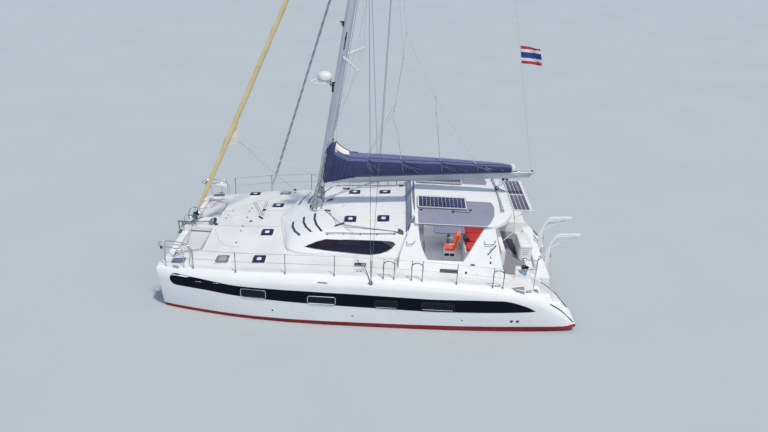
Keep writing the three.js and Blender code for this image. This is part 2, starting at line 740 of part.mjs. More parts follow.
function aftPanel() {
  const [x0, x1, y0, y1] = PANELS.aft;
  const panel = box(x1, x0, y0, y1, 3200, 3235);
  const bars = [-1100, -400, 400, 1100].map((y) => (
    box(x1 + 40, HARDTOP.aft - GAP, y - 20, y + 20, 3166, 3201)
  ));
  return join(panel, ...bars);
}

// Mainsheet track on the hardtop's aft edge, with its car.
function traveller() {
  const x = HARDTOP.aft + 330;
  const track = box(x - 25, x + 25, -1500, 1500, 3280, 3305);
  const car = box(x - 60, x + 60, -260, -120, 3300, 3350);
  const feet = [-1400, -700, 0, 700, 1400].map((y) => box(x - 20, x + 20, y - 30, y + 30, 3100, 3281));
  return cut(join(track, car, ...feet), shifted(hardtopBlock(0, 50), 0, 0, GAP));
}

const hardtopSolid = hardtop();

// Cockpit furniture

function cockpitCushions() {
  const z = SEAT_TOP + GAP;
  const inside = BRIDGE_HALF - WALL;
  const back = COCKPIT_AFT + 1 + GAP;
  return join(
    box(back, -3260, -inside + GAP, 690, z, z + 110),
    box(-3261, -1910, -inside + GAP, -1310, z, z + 110),
    box(back, back + 120, -1700, 690, z + 109, 1840),
    box(-3900, -1910, -inside + GAP, -inside + 120, z + 109, 1840),
  );
}

function cockpitTable() {
  const top = upright(roundedRect(1100, 750, 120, -2750, -500), 1560, 1600);
  const post = rod([-2750, -500, COCKPIT_FLOOR + GAP], [-2750, -500, 1570], 50, 12);
  const foot = rod([-2750, -500, COCKPIT_FLOOR + GAP], [-2750, -500, COCKPIT_FLOOR + 20], 170, 12);
  return join(top, post, foot);
}

const CHAIR = { x: -2700, y: 690 };
function helmChair() {
  const { x, y } = CHAIR;
  const z = COCKPIT_FLOOR + GAP;
  return join(
    box(x - 220, x + 200, y - 220, y + 220, z, z + 50),
    box(x - 170, x + 150, y - 170, y + 170, z + 49, z + 520),
    box(x - 220, x + 210, y - 250, y + 250, z + 519, z + 610),
    box(x - 320, x - 219, y - 250, y + 250, z + 560, z + 1130),
  );
}

const HELM = { x: -1780, y: 1520, z: 1700, radius: 330, post: 40, hub: 45 };
function helmConsole() {
  const floor = COCKPIT_FLOOR + GAP;
  const block = sideways(
    [[BULKHEAD_X - GAP, floor], [BULKHEAD_X - GAP, 2000], [-1420, 2010], [-1700, 1860],
      [-1690, floor]],
    1150,
    1900,
  );
  return join(block, rod([-1600, HELM.y, HELM.z], [HELM.x + HELM.hub, HELM.y, HELM.z], HELM.post, 12));
}

function helmWheel() {
  const rim = new THREE.TorusGeometry(HELM.radius, 14, 6, 24);
  rim.rotateY(Math.PI / 2);
  rim.translate(HELM.x, HELM.y, HELM.z);
  const hub = rod([HELM.x - 30, HELM.y, HELM.z], [HELM.x + HELM.hub - GAP, HELM.y, HELM.z], 45, 12);
  const spokes = [0, 72, 144, 216, 288].map((angle) => {
    const turn = THREE.MathUtils.degToRad(angle);
    const reach = HELM.radius;
    return rod(
      [HELM.x, HELM.y, HELM.z],
      [HELM.x, HELM.y + reach * Math.sin(turn), HELM.z + reach * Math.cos(turn)],
      9,
      6,
    );
  });
  return join(solid(rim), hub, ...spokes);
}

// Stern fittings

const DAVIT = { y: 700, foot: -6080, tip: -7080 };
function davit() {
  const { y, foot, tip } = DAVIT;
  const arm = sideways([
    [foot + 60, 760], [foot + 60, 1500], [foot + 30, 1700], [foot - 60, 1950],
    [foot - 200, 2110], [foot - 330, 2160], [tip, 2200], [tip, 2120], [foot - 330, 2060],
    [foot - 220, 2000], [foot - 120, 1870], [foot - 60, 1690], [foot - 60, 760],
  ].reverse(), y - 45, y + 45);
  const brace = rod([foot - 40, y, 1620], [tip + 150, y, 2140], 14, 8);
  const pad = box(foot + 50, -5950 - GAP, y - 90, y + 90, 800, 1100);
  return join(arm, brace, pad);
}

function sternLocker() {
  return upright(roundedRect(420, 1050, 60, -5130, 1050), AFT_DECK + GAP, 2080);
}

// Bow

function bowBeam() {
  const { fore, aft, low, top } = BOW_BEAM;
  const beam = box(aft, fore, -2560, 2560, low, top);
  return cut(beam, shifted(roughHull, 0, -GAP, 0), shifted(mirrored(roughHull), 0, GAP, 0));
}

function trampoline() {
  const front = BOW_BEAM.aft - 10;
  const outline = [
    [FOREDECK_FRONT + GAP, WALKWAY.half + GAP],
    [FOREDECK_FRONT + GAP, hull.inner(FOREDECK_FRONT)],
    [6000, hull.inner(6000)],
    [front, hull.inner(front)],
    [front, WALKWAY.half + GAP],
  ].reverse();
  return cut(upright(outline, NET_LEVEL, NET_LEVEL + 12), shifted(roughHull, 0, -GAP, 0));
}

// Rails: the points of each tube

function portPulpit() {
  const [foot, top] = [1380, 2060];
  const rail = tube([
    [5640, 2850, foot], [5630, 2700, top - 80], [5750, 2640, top], [6450, 2480, top],
    [6620, 2560, top], [6600, 2760, top], [6400, 2860, top], [5900, 3000, top], [5780, 3010, top - 60],
    [5760, 3010, foot],
  ], RAIL, 26, 6);
  const posts = [
    rod([6480, 2640, foot], [6470, 2490, top], RAIL, 6),
    rod([6330, 2950, foot], [6400, 2860, top], RAIL, 6),
  ];
  return cut(join(rail, ...posts), DECKS[0]);
}

const STANCHION_HEIGHT = 640;
const STANCHIONS = [5450, 4070, 2520, 1010, -490, -820, -1350, -1680, -2740, -3860, -4180];
function railY(x) {
  return Math.min(hull.outer(x) - 230, 3470);
}
function portLifelines() {
  const posts = STANCHIONS.map((x) => {
    const deck = hull.edge(x);
    return rod([x, railY(x), deck - 200], [x, railY(x), deck + STANCHION_HEIGHT], RAIL, 6);
  });
  const wires = [0.5, 0.97].map((t) => {
    const point = (x) => [x, railY(x), hull.edge(x) + STANCHION_HEIGHT * t];
    const spans = STANCHIONS.slice(1).map((x, i) => rod(point(STANCHIONS[i]), point(x), 5, 4));
    return join(...spans);
  });
  return cut(join(...posts, ...wires), DECKS[0]);
}

function portSternRail() {
  const rail = tube([
    [-4620, 2750, 1380], [-4640, 2740, 2050], [-4760, 2730, 2150], [-5250, 2650, 2100],
    [-5420, 2450, 2080], [-5440, 2200, 2060], [-5440, 2150, 1960], [-5430, 2140, 1150],
  ], RAIL, 22, 6);
  const post = rod([-5300, 2630, 900], [-5300, 2630, 2098], RAIL, 6);
  const middle = rod([-4640, 2740, 1800], [-5300, 2630, 1780], RAIL * 0.8, 6);
  return cut(join(rail, post, middle), shifted(hullSolid, 0, 0, GAP));
}

// Rig

const rake = THREE.MathUtils.degToRad(MAST.rake);
const mastLength = (MAST.top - MAST.foot[2]) / Math.cos(rake);
const mastFrame = new THREE.Matrix4().makeRotationY(-rake)
  .premultiply(new THREE.Matrix4().makeTranslation(...MAST.foot));

function mastX(z) {
  return MAST.foot[0] - Math.tan(rake) * (z - MAST.foot[2]);
}

function mastTube(grow = 0) {
  const outline = Array.from({ length: 14 }, (_, i) => {
    const turn = (2 * Math.PI * i) / 14;
    return [(MAST.halfLong + grow) * Math.cos(turn), (MAST.halfWide + grow) * Math.sin(turn)];
  });
  return placed(upright(outline, 0, mastLength), mastFrame);
}

const SPREADER = { z: 7650, tip: [560, 1770, 7610], low: 4700, high: 13200 };
const jaw = new THREE.Matrix4().makeRotationY(-rake).premultiply(
  new THREE.Matrix4().makeTranslation(mastX(GOOSENECK.z) - GOOSENECK.aftOfMast, 0, GOOSENECK.z),
);
const PIN = { radius: 18, half: 61 };
const VANG_FOOT = -750; // below the pin, along the mast

function mast() {
  const { tip, z, low, high } = SPREADER;
  const mirrorY = ([x, y, h]) => [x, -y, h];
  const arms = [tip, mirrorY(tip)].map((end) => join(
    rod([mastX(z), 0, z], end, 28, 6),
    rod([mastX(low), 0, low], end, 5, 6),
    rod([mastX(high), 0, high], end, 5, 6),
  ));
  const plates = [[44, 60], [-60, -44]].map(([z0, z1]) => box(-28, 120, -35, 35, z0, z1));
  const pin = rod([0, 0, -PIN.half], [0, 0, PIN.half], PIN.radius, 12);
  const web = box(60, 120, -35, 35, -60, 60);
  const bracket = placed(join(...plates, pin, web), jaw);
  const vangLug = placed(box(-45, GOOSENECK.aftOfMast, -25, 25, VANG_FOOT - 50, VANG_FOOT), jaw);
  const crane = box(mastX(19400) - 240, mastX(19400) + 60, -20, 20, 19400 + GAP, 19450);
  return cut(
    join(mastTube(), ...arms, bracket, vangLug, crane),
    shifted(saloonBody(0), 0, 0, GAP),
  );
}

function radome() {
  const [x, z] = [1700, 6835];
  const dome = new THREE.LatheGeometry(
    [[0, 0], [190, 0], [235, 50], [235, 180], [195, 255], [110, 295], [0, 305]]
      .map(([r, h]) => new THREE.Vector2(r, h)),
    20,
  );
  dome.rotateX(Math.PI / 2);
  dome.translate(x, 0, z);
  const arm = box(mastX(6800) + 20, x + 100, -60, 60, z - 30, z + 1);
  const brace = rod([mastX(6560), 0, 6560], [x - 50, 0, z - 10], 20, 8);
  return cut(join(solid(dome), arm, brace), mastTube(GAP));
}

// The cap shroud and the lower shroud of the port side meet on one chainplate.
function portShrouds() {
  const foot = CHAINPLATE;
  const cap = rod(foot, [mastX(19000), 60, 19000], WIRE, 6);
  const lower = rod(foot, [mastX(12200), 60, 12200], WIRE, 6);
  const plate = box(foot[0] - 40, foot[0] + 40, foot[1] - 15, foot[1] + 15, foot[2] - 220, foot[2] + 20);
  return cut(join(cap, lower, plate), shifted(roughHull, 0, 0, GAP), mastTube(GAP));
}

const stayFoot = new THREE.Vector3(...FORESTAY.foot);
const stayTop = new THREE.Vector3(mastX(FORESTAY.top), 0, FORESTAY.top);
function alongStay(height) {
  const t = (height - stayFoot.z) / (stayTop.z - stayFoot.z);
  return stayFoot.clone().lerp(stayTop, t).toArray();
}

// The furled headsail on its foil, with the corner of the sail hanging free.
function genoa() {
  const rolls = [[2170, 2600, 70], [2590, 5200, 85], [5190, 9000, 75], [8990, 14500, 60]];
  const roll = rolls.map(([low, high, r]) => rod(alongStay(low), alongStay(high), r, 10));
  const foil = rod(alongStay(1990), [mastX(15990), 0, 15990], 22, 8);
  const clew = sideways([[4560, 5450], [4460, 4590], [4960, 4500]].reverse(), -10, 10);
  return cut(join(foil, ...roll, clew), mastTube(GAP), furlerSolid, shifted(furlerSolid, 0, 0, GAP));
}

function furler() {
  const at = (z) => alongStay(z);
  const toggle = rod(at(1560), at(1800), 18, 8);
  const drum = join(
    rod(at(1760), at(1785), 110, 14),
    rod(at(1780), at(1910), 60, 14),
    rod(at(1905), at(1930), 110, 14),
    rod(at(1925), at(2060), 32, 10),
  );
  return cut(join(toggle, drum), shifted(bridgeSolid, 0, 0, GAP));
}

const furlerSolid = furler();

// The boom swings about the mast's own direction.
const boomAim = Math.atan2(BOOM.endZ - GOOSENECK.z, mastX(GOOSENECK.z) - GOOSENECK.aftOfMast - BOOM.end);
const boomFrame = new THREE.Matrix4().makeRotationY(boomAim).premultiply(
  new THREE.Matrix4().makeTranslation(mastX(GOOSENECK.z) - GOOSENECK.aftOfMast, 0, GOOSENECK.z),
);
const boomLength = Math.hypot(BOOM.endZ - GOOSENECK.z, mastX(GOOSENECK.z) - GOOSENECK.aftOfMast - BOOM.end);

function boom() {
  const [w, h] = [BOOM.wide / 2, BOOM.high / 2];
  const section = roundedRect(BOOM.wide, BOOM.high, 45);
  const beam = placed(lengthways(section, -boomLength, -110), boomFrame);
  const hole = rod([0, 0, -100], [0, 0, 100], PIN.radius + 1.2, 16);
  const tongue = placed(cut(join(
    rod([0, 0, -34], [0, 0, 34], 38, 16),
    box(-150, 0, -30, 30, -34, 34),
  ), hole), jaw);
  const vangTop = new THREE.Vector3(-1650, 0, -h + 10).applyMatrix4(boomFrame).toArray();
  const swivel = placed(rod([0, 0, VANG_FOOT + GAP], [0, 0, VANG_FOOT + 80], 24, 10), jaw);
  const vangLow = new THREE.Vector3(0, 0, VANG_FOOT + 60).applyMatrix4(jaw).toArray();
  const vang = join(swivel, rod(vangLow, vangTop, 24, 8));
  const block = placed(box(-boomLength + 900, -boomLength + 1000, -w / 2, w / 2, -h - 60, -h + 5), boomFrame);
  return join(beam, tongue, vang, block);
}

// The folded mainsail in its bag, along the top of the boom.
// from: distance from the pin. half: half width. low and high: above the boom's axis.
const BAG_FRONT = 45; // aft of the line that the boom swings about
const BAG = [
  [200, 60, -60, 1330],
  [-60, 150, -60, 1310],
  [-400, 210, 20, 1080],
  [-700, 230, 85, 960],
  [-2300, 235, 100, 800],
  [-4000, 200, 105, 640],
  [-5600, 150, 108, 470],
  [-6180, 90, 112, 330],
];
function sailBag() {
  const rings = BAG.map(([from, half, low, high]) => {
    const middle = (low + high) / 2;
    const side = [[0.3, low], [0.85, low + 0.18 * (high - low)], [1, middle], [0.7, high - 0.15 * (high - low)],
      [0.2, high]];
    return [
      ...side.map(([t, z]) => [from, t * half, z]),
      ...side.map(([t, z]) => [from, -t * half, z]).reverse(),
    ];
  });
  const bag = placed(loft([...rings].reverse()), boomFrame);
  const section = roundedRect(BOOM.wide + 2 * GAP, BOOM.high + 2 * GAP, 45);
  const clear = placed(lengthways(section, -boomLength, -100), boomFrame);
  return cut(bag, clear, shifted(boomSolid, 0, 0, GAP), mastKeepOut());
}

// Room that the bag leaves round the boom's pin, and forward of the line that the boom swings about.
function mastKeepOut() {
  return placed(join(
    rod([0, 0, -150], [0, 0, 150], 160, 16),
    box(-BAG_FRONT, 900, -400, 400, -400, 2500),
  ), jaw);
}

const boomSolid = boom();
// The slack topping lift, from the boom's end to the crane at the masthead.
const LIFT = [[-5290, 4050], [-4490, 7700], [-4390, 8250], [-4080, 9600], [-2830, 14500],
  [mastX(19400) - 190, 19398]];
function toppingLift() {
  const spans = LIFT.slice(1).map(([x, z], i) => rod([LIFT[i][0], 0, LIFT[i][1]], [x, 0, z], 5, 6));
  return cut(join(...spans), shifted(boomSolid, 0, 0, GAP), mastTube(GAP));
}

// The flag on the topping lift, blown aft.
function flag() {
  const [[low, z0], [high, z1]] = LIFT.slice(1, 3);
  const off = 5.4;
  return sideways([[high - off, z1], [low - off, z0], [low - 690, z0 - 30], [high - 680, z1 - 60]]
    .reverse(), -8, 8);
}

// Underwater gear

const RUDDER = { x: -5600, top: -330, foot: -1130, stockTop: -100 };
function rudder() {
  const outline = [[120, 0], [90, 26], [0, 34], [-180, 22], [-330, 3], [-330, -3], [-180, -22],
    [0, -34], [90, -26]].map(([x, y]) => [RUDDER.x + x, HULL_Y + y]);
  const blade = upright(outline, RUDDER.foot, RUDDER.top);
  const stock = rod([RUDDER.x, HULL_Y, RUDDER.top - 10], [RUDDER.x, HULL_Y, RUDDER.stockTop], 22, 12);
  return join(blade, stock);
}

function rudderSocket() {
  return rod([RUDDER.x, HULL_Y, -400], [RUDDER.x, HULL_Y, RUDDER.stockTop + GAP], 23.2, 14);
}

const PROPELLER = { radius: 220, hub: 48, aft: -4230 };
function propeller() {
  const profile = [[0, 0], [PROPELLER.hub, 0], [PROPELLER.hub, 70], [20, 108], [0, 108]];
  const hub = new THREE.LatheGeometry(profile.map(([r, h]) => new THREE.Vector2(r, h)), 12);
  hub.rotateZ(Math.PI / 2);
  hub.translate(DRIVE.shaft - GAP, HULL_Y, DRIVE.z);
  const blades = [0, 120, 240].map((angle) => {
    const outline = [[-10, 30], [-60, 110], [-50, 190], [0, PROPELLER.radius], [40, 180], [45, 90],
      [15, 30]];
    const blade = upright(outline.reverse(), -4, 4);
    const place = new THREE.Matrix4()
      .multiply(new THREE.Matrix4().makeTranslation(DRIVE.shaft - 38, HULL_Y, DRIVE.z))
      .multiply(new THREE.Matrix4().makeRotationX(THREE.MathUtils.degToRad(angle)))
      .multiply(new THREE.Matrix4().makeRotationY(THREE.MathUtils.degToRad(58)));
    return placed(blade, place);
  });
  return join(solid(hub), ...blades);
}

// Deck gear

// The windlass, its chain, and the anchor on its roller at the end of the walkway.
function anchorGear() {
  const base = box(5480, 5680, -70, 170, 1500, 1700);
  const gypsy = rod([5580, 169, 1690], [5580, 240, 1690], 75, 14);
  const chain = rod([5640, 200, 1735], [6210, 200, 1685], 12, 6);
  const y = 200;
  const z = WALKWAY.top;
  const roller = box(6150, 6620, y - 45, y + 45, z - 40, z + 30);
  const shank = box(6200, 6760, y - 14, y + 14, z + 29, z + 75);
  const crown = rod([6745, y, z + 60], [6700, y, z - 335], 20, 8);
  const fluke = upright([[6745, y - 160], [6745, y + 160], [6450, y]].reverse(), z - 350, z - 320);
  return cut(
    join(base, gypsy, chain, roller, shank, crown, fluke),
    shifted(bridgeSolid, 0, 0, GAP),
  );
}

// The whole boat

const boat = new THREE.Group();

function add(name, body, slot) {
  const mesh = new THREE.Mesh(geometryOf(body), materials[slot]);
  mesh.name = name;
  boat.add(mesh);
}

// Adds a piece of the port side and its mirror image to starboard.
function addPair(name, body, slot) {
  add(`port_${name}`, body, slot);
  add(`starboard_${name}`, mirrored(body), slot);
}

addPair('hull', cut(hullSolid, rudderSocket()), 'gelcoat');
add('bridge_deck', bridgeSolid, 'gelcoat');
add('saloon_shell', shellSolid, 'gelcoat');
addPair('side_window', sideWindow(), 'glass');
add('front_windows', frontWindows(), 'glass');
add('saloon_door', saloonDoor(), 'glass');
add('saloon_furniture', saloonFurniture(), 'wood');
const aboveRim = HARDTOP.side - HARDTOP.thick - GAP;
const coaming = cut(
  portCoaming(),
  ...DECKS,
  box(-6000, 0, 0, 4000, aboveRim, 4000),
  shifted(saloonBody(0), 0, GAP, 0),
);
addPair('coaming', coaming, 'gelcoat');
add('hardtop', hardtopSolid, 'gelcoat');
addPair('solar_panel', portPanel(), 'solar');
add('aft_solar_panel', aftPanel(), 'solar');
add('mainsheet_traveller', traveller(), 'black');
add('cockpit_cushions', cockpitCushions(), 'red_fabric');
add('cockpit_table', cockpitTable(), 'wood');
add('helm_chair', helmChair(), 'orange_fabric');
add('helm_console', helmConsole(), 'gelcoat');
add('helm_wheel', helmWheel(), 'steel');
addPair('davit', davit(), 'gelcoat');
add('stern_locker', sternLocker(), 'gelcoat');
add('bow_beam', bowBeam(), 'alloy');
addPair('trampoline', trampoline(), 'net');
addPair('pulpit', portPulpit(), 'steel');
addPair('lifelines', portLifelines(), 'steel');
addPair('stern_rail', portSternRail(), 'steel');
add('mast', mast(), 'alloy');
add('radome', radome(), 'gelcoat');
addPair('shrouds', portShrouds(), 'steel');
add('furled_genoa', genoa(), 'sailcloth');
add('furler_drum', furlerSolid, 'black');
add('boom', boomSolid, 'alloy');
add('sail_bag', sailBag(), 'canvas');
add('topping_lift', toppingLift(), 'net');
add('flag', flag(), 'flag');
addPair('rudder', rudder(), 'gelcoat');
addPair('propeller', propeller(), 'bronze');
for (const hatch of HATCHES) {
  addPair(`${hatch.name}_lid`, onDeck(hatchLid(LID.size, LID.size), hatch), 'glass');
}
addPair('bow_locker_lid', lockerLid(), 'grey_deck');
add('anchor_gear', anchorGear(), 'steel');

export default boat;
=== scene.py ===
# Looks for a cruising catamaran afloat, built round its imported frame.
# Metres. +X is forward, +Y is port, +Z is up, and the waterline is at Z 0.
import json
import math

import bmesh
import bpy
from mathutils import Matrix, Vector, noise
from mathutils.bvhtree import BVHTree

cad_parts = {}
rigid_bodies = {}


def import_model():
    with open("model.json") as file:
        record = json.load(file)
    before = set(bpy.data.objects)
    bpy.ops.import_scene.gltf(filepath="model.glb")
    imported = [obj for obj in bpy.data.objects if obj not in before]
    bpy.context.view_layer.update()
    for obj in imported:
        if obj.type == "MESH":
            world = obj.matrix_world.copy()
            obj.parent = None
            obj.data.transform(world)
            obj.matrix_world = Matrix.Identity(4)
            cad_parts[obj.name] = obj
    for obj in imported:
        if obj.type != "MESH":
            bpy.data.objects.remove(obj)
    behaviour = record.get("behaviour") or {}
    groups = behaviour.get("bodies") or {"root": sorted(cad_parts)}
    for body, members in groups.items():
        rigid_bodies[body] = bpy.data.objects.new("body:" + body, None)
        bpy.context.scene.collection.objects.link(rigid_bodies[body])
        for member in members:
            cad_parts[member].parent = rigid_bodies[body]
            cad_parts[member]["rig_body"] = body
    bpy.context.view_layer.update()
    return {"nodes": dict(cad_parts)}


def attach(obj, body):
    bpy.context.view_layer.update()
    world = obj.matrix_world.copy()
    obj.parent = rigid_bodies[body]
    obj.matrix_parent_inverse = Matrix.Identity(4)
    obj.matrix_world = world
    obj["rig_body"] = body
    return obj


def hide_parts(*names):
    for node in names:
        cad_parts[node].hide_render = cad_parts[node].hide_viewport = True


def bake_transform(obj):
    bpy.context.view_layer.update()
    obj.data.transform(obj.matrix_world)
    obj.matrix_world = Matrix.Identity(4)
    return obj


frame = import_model()
scene = bpy.context.scene
nodes = frame["nodes"]


def xyz(x, y, z):
    return Vector((x, y, z))


def rise(z):
    return Vector((0, 0, z))


# Camera

LENS = 32.937
SENSOR = 36.0
EYE = xyz(-0.519, 22.293, 12.188)
YAW, DEPRESSION, ROLL = (math.radians(a) for a in (0.286, 24.152, 2.756))


def set_camera():
    ahead = xyz(math.sin(YAW) * math.cos(DEPRESSION), -math.cos(YAW) * math.cos(DEPRESSION),
        -math.sin(DEPRESSION))
    right = ahead.cross(rise(1)).normalized()
    up = right.cross(ahead)
    x = right * math.cos(ROLL) + up * math.sin(ROLL)
    y = up * math.cos(ROLL) - right * math.sin(ROLL)
    turn = Matrix((x, y, -ahead)).transposed().to_4x4()
    data = bpy.data.cameras.new("camera")
    data.lens = LENS
    data.sensor_width = SENSOR
    data.clip_end = 1000
    camera = bpy.data.objects.new("camera", data)
    camera.matrix_world = Matrix.Translation(EYE) @ turn
    scene.collection.objects.link(camera)
    scene.camera = camera


set_camera()

# Finishes


def rgb(code):
    """A linear colour from a 0xRRGGBB code."""
    parts = [(code >> shift & 255) / 255 for shift in (16, 8, 0)]
    return tuple(c / 12.92 if c < 0.04045 else ((c + 0.055) / 1.055) ** 2.4 for c in parts)


class Finish:
    """A material that takes its detail from patterns on Object coordinates."""

    def __init__(self, name, code, rough=0.5, metal=0.0, coat=0.0, sheen=0.0):
        self.mat = bpy.data.materials.new(name)
        self.mat.use_nodes = True
        self.tree = self.mat.node_tree
        self.shader = self.tree.nodes["Principled BSDF"]
        self.colour = (*rgb(code), 1)
        self.socket("Base Color").default_value = self.colour
        self.socket("Roughness").default_value = rough
        self.socket("Metallic").default_value = metal
        self.socket("Coat Weight").default_value = coat
        self.socket("Sheen Weight").default_value = sheen
        self.mat.diffuse_color = self.colour
        self.colour_out = None
        self.normal_out = None
        self.place = self.node("TexCoord").outputs["Object"]

    def socket(self, name):
        return self.shader.inputs[name]

    def node(self, kind, **values):
        made = self.tree.nodes.new("ShaderNode" + kind)
        for key, value in values.items():
            setattr(made, key, value)
        return made

    def link(self, source, target):
        self.tree.links.new(source, target)

    def spread(self, stretch=(1, 1, 1), turn=(0, 0, 0)):
        """Coordinates scaled and turned, for a pattern that runs one way."""
        mapping = self.node("Mapping")
        mapping.inputs["Scale"].default_value = stretch
        mapping.inputs["Rotation"].default_value = [math.radians(a) for a in turn]
        self.link(self.place, mapping.inputs["Vector"])
        return mapping.outputs["Vector"]

    def clouds(self, scale, detail=3, at=None):
        made = self.node("TexNoise")
        made.inputs["Scale"].default_value = scale
        made.inputs["Detail"].default_value = detail
        self.link(at or self.place, made.inputs["Vector"])
        return made.outputs["Fac"]

    def cells(self, scale, at=None):
        made = self.node("TexVoronoi")
        made.inputs["Scale"].default_value = scale
        self.link(at or self.place, made.inputs["Vector"])
        return made.outputs["Distance"]

    def bands(self, scale, direction="X", warp=0.0, at=None):
        made = self.node("TexWave", bands_direction=direction)
        made.inputs["Scale"].default_value = scale
        made.inputs["Distortion"].default_value = warp
        self.link(at or self.place, made.inputs["Vector"])
        return made.outputs["Fac"]

    def both(self, a, b, way="MULTIPLY"):
        made = self.node("Math", operation=way)
        self.link(a, made.inputs[0])
        self.link(b, made.inputs[1])
        return made.outputs[0]

    def window(self, fac, low, high, to_low=0.0, to_high=1.0):
        made = self.node("MapRange")
        for name, value in (("From Min", low), ("From Max", high), ("To Min", to_low),
                ("To Max", to_high)):
            made.inputs[name].default_value = value
        self.link(fac, made.inputs["Value"])
        return made.outputs["Result"]

    def tint(self, code, fac, low=0.4, high=0.65, amount=1.0):
        """Mixes another colour in where fac is high."""
        mix = self.node("Mix", data_type="RGBA")
        self.link(self.window(fac, low, high, 0.0, amount), mix.inputs[0])
        mix.inputs[6].default_value = self.colour
        mix.inputs[7].default_value = (*rgb(code), 1)
        if self.colour_out:
            self.link(self.colour_out, mix.inputs[6])
        self.colour_out = mix.outputs[2]
        self.link(self.colour_out, self.socket("Base Color"))
        return self

    def gloss(self, fac, low, high):
        """Roughness from low to high as fac rises."""
        self.link(self.window(fac, 0.3, 0.7, low, high), self.socket("Roughness"))
        return self

    def relief(self, fac, depth, strength=0.6):
        """Bump of the given depth in metres."""
        bump = self.node("Bump")
        bump.inputs["Strength"].default_value = strength
        bump.inputs["Distance"].default_value = depth
        self.link(fac, bump.inputs["Height"])
        if self.normal_out:
            self.link(self.normal_out, bump.inputs["Normal"])
        self.normal_out = bump.outputs["Normal"]
        self.link(self.normal_out, self.socket("Normal"))
        return self


def glossy_paint(name, code, shade, rough=0.22, coat=0.3):
    """Gelcoat or paint: faint clouds, rain streaks and a little orange peel."""
    f = Finish(name, code, rough, coat=coat)
    f.tint(shade, f.clouds(0.8, 4), 0.45, 0.8, 0.5)
    f.tint(shade, f.clouds(5, 5, f.spread((3, 3, 0.4))), 0.56, 0.8, 0.35)
    f.gloss(f.clouds(2.2, 4), rough * 0.8, rough * 1.7)
    return f.relief(f.clouds(60, 2), 0.0004, 0.2)


def grip(name, code, shade, scale=70):
    """Moulded non-skid: small raised dots, the colour darker between them."""
    f = Finish(name, code, 0.6)
    f.tint(shade, f.clouds(1.1, 5), 0.4, 0.75, 0.6)
    dots = f.cells(scale)
    f.tint(shade, dots, 0.25, 0.6, 0.35)
    f.gloss(f.clouds(3, 3), 0.5, 0.75)
    return f.relief(dots, -0.0012, 0.7)


def cloth(name, code, shade, light, weave=420, sheen=0.25):
    """Woven cloth: crossed threads, faded high spots and dark folds."""
    f = Finish(name, code, 0.85, sheen=sheen)
    f.tint(shade, f.clouds(1.6, 5), 0.42, 0.75, 0.6)
    f.tint(light, f.clouds(9, 4), 0.52, 0.8, 0.35)
    threads = f.both(f.bands(weave / 6, "X", 0.4), f.bands(weave / 6, "Z", 0.4), "ADD")
    f.relief(threads, 0.0008, 0.45)
    return f.relief(f.clouds(14, 4), 0.006, 0.35)


def leather(name, code, shade):
    """Marine vinyl: grain, soft creases and worn lighter tops."""
    f = Finish(name, code, 0.5, coat=0.08, sheen=0.1)
    f.tint(shade, f.clouds(3, 5), 0.42, 0.72, 0.7)
    f.gloss(f.clouds(9, 3), 0.4, 0.65)
    f.relief(f.cells(260), 0.0006, 0.4)
    return f.relief(f.clouds(18, 4), 0.004, 0.3)


def bright_metal(name, code, shade, rough=0.2, run=(1, 1, 12)):
    """Steel or aluminium with a drawn grain and faint stains."""
    f = Finish(name, code, rough, metal=1.0)
    f.tint(shade, f.clouds(6, 5), 0.5, 0.78, 0.5)
    grain = f.clouds(40, 3, f.spread(run))
    f.gloss(grain, rough * 0.7, rough * 1.6)
    return f.relief(grain, 0.0003, 0.25)


def painted_metal(name, code, shade, rough=0.38):
    """Anodised or painted aluminium, a little chalky."""
    f = Finish(name, code, rough, metal=0.35)
    f.tint(shade, f.clouds(2.4, 5, f.spread((1, 1, 0.2))), 0.4, 0.8, 0.7)
    grain = f.clouds(30, 3, f.spread((6, 6, 0.6)))
    f.gloss(grain, rough * 0.8, rough * 1.4)
    return f.relief(grain, 0.0004, 0.25)


def rubber(name, code, shade, rough=0.55):
    """Moulded rubber or plastic with a fine grain."""
    f = Finish(name, code, rough)
    f.tint(shade, f.clouds(7, 4), 0.45, 0.8, 0.8)
    f.gloss(f.clouds(20, 3), rough * 0.8, rough * 1.25)
    return f.relief(f.clouds(220, 2), 0.0005, 0.4)


def dark_glass(name, code, shade):
    """Smoked acrylic or tempered glass: deep, glossy, faintly uneven."""
    f = Finish(name, code, 0.05, coat=0.6)
    f.tint(shade, f.clouds(0.9, 3), 0.35, 0.75, 0.8)
    f.gloss(f.clouds(3, 3), 0.03, 0.12)
    return f.relief(f.clouds(1.4, 2), 0.004, 0.12)


def rope(name, code, fleck):
    """Braided rope: slanting strands with a coloured fleck."""
    f = Finish(name, code, 0.8, sheen=0.15)
    strands = f.bands(70, "DIAGONAL", 1.5)
    f.tint(fleck, strands, 0.62, 0.8, 0.8)
    return f.relief(strands, 0.002, 0.5)


def wood(name, code, shade):
    f = Finish(name, code, 0.35, coat=0.35)
    rings = f.clouds(3.5, 6, f.spread((0.5, 7, 7)))
    f.tint(shade, rings, 0.4, 0.62, 0.9)
    f.gloss(rings, 0.28, 0.45)
    return f.relief(rings, 0.0008, 0.3)


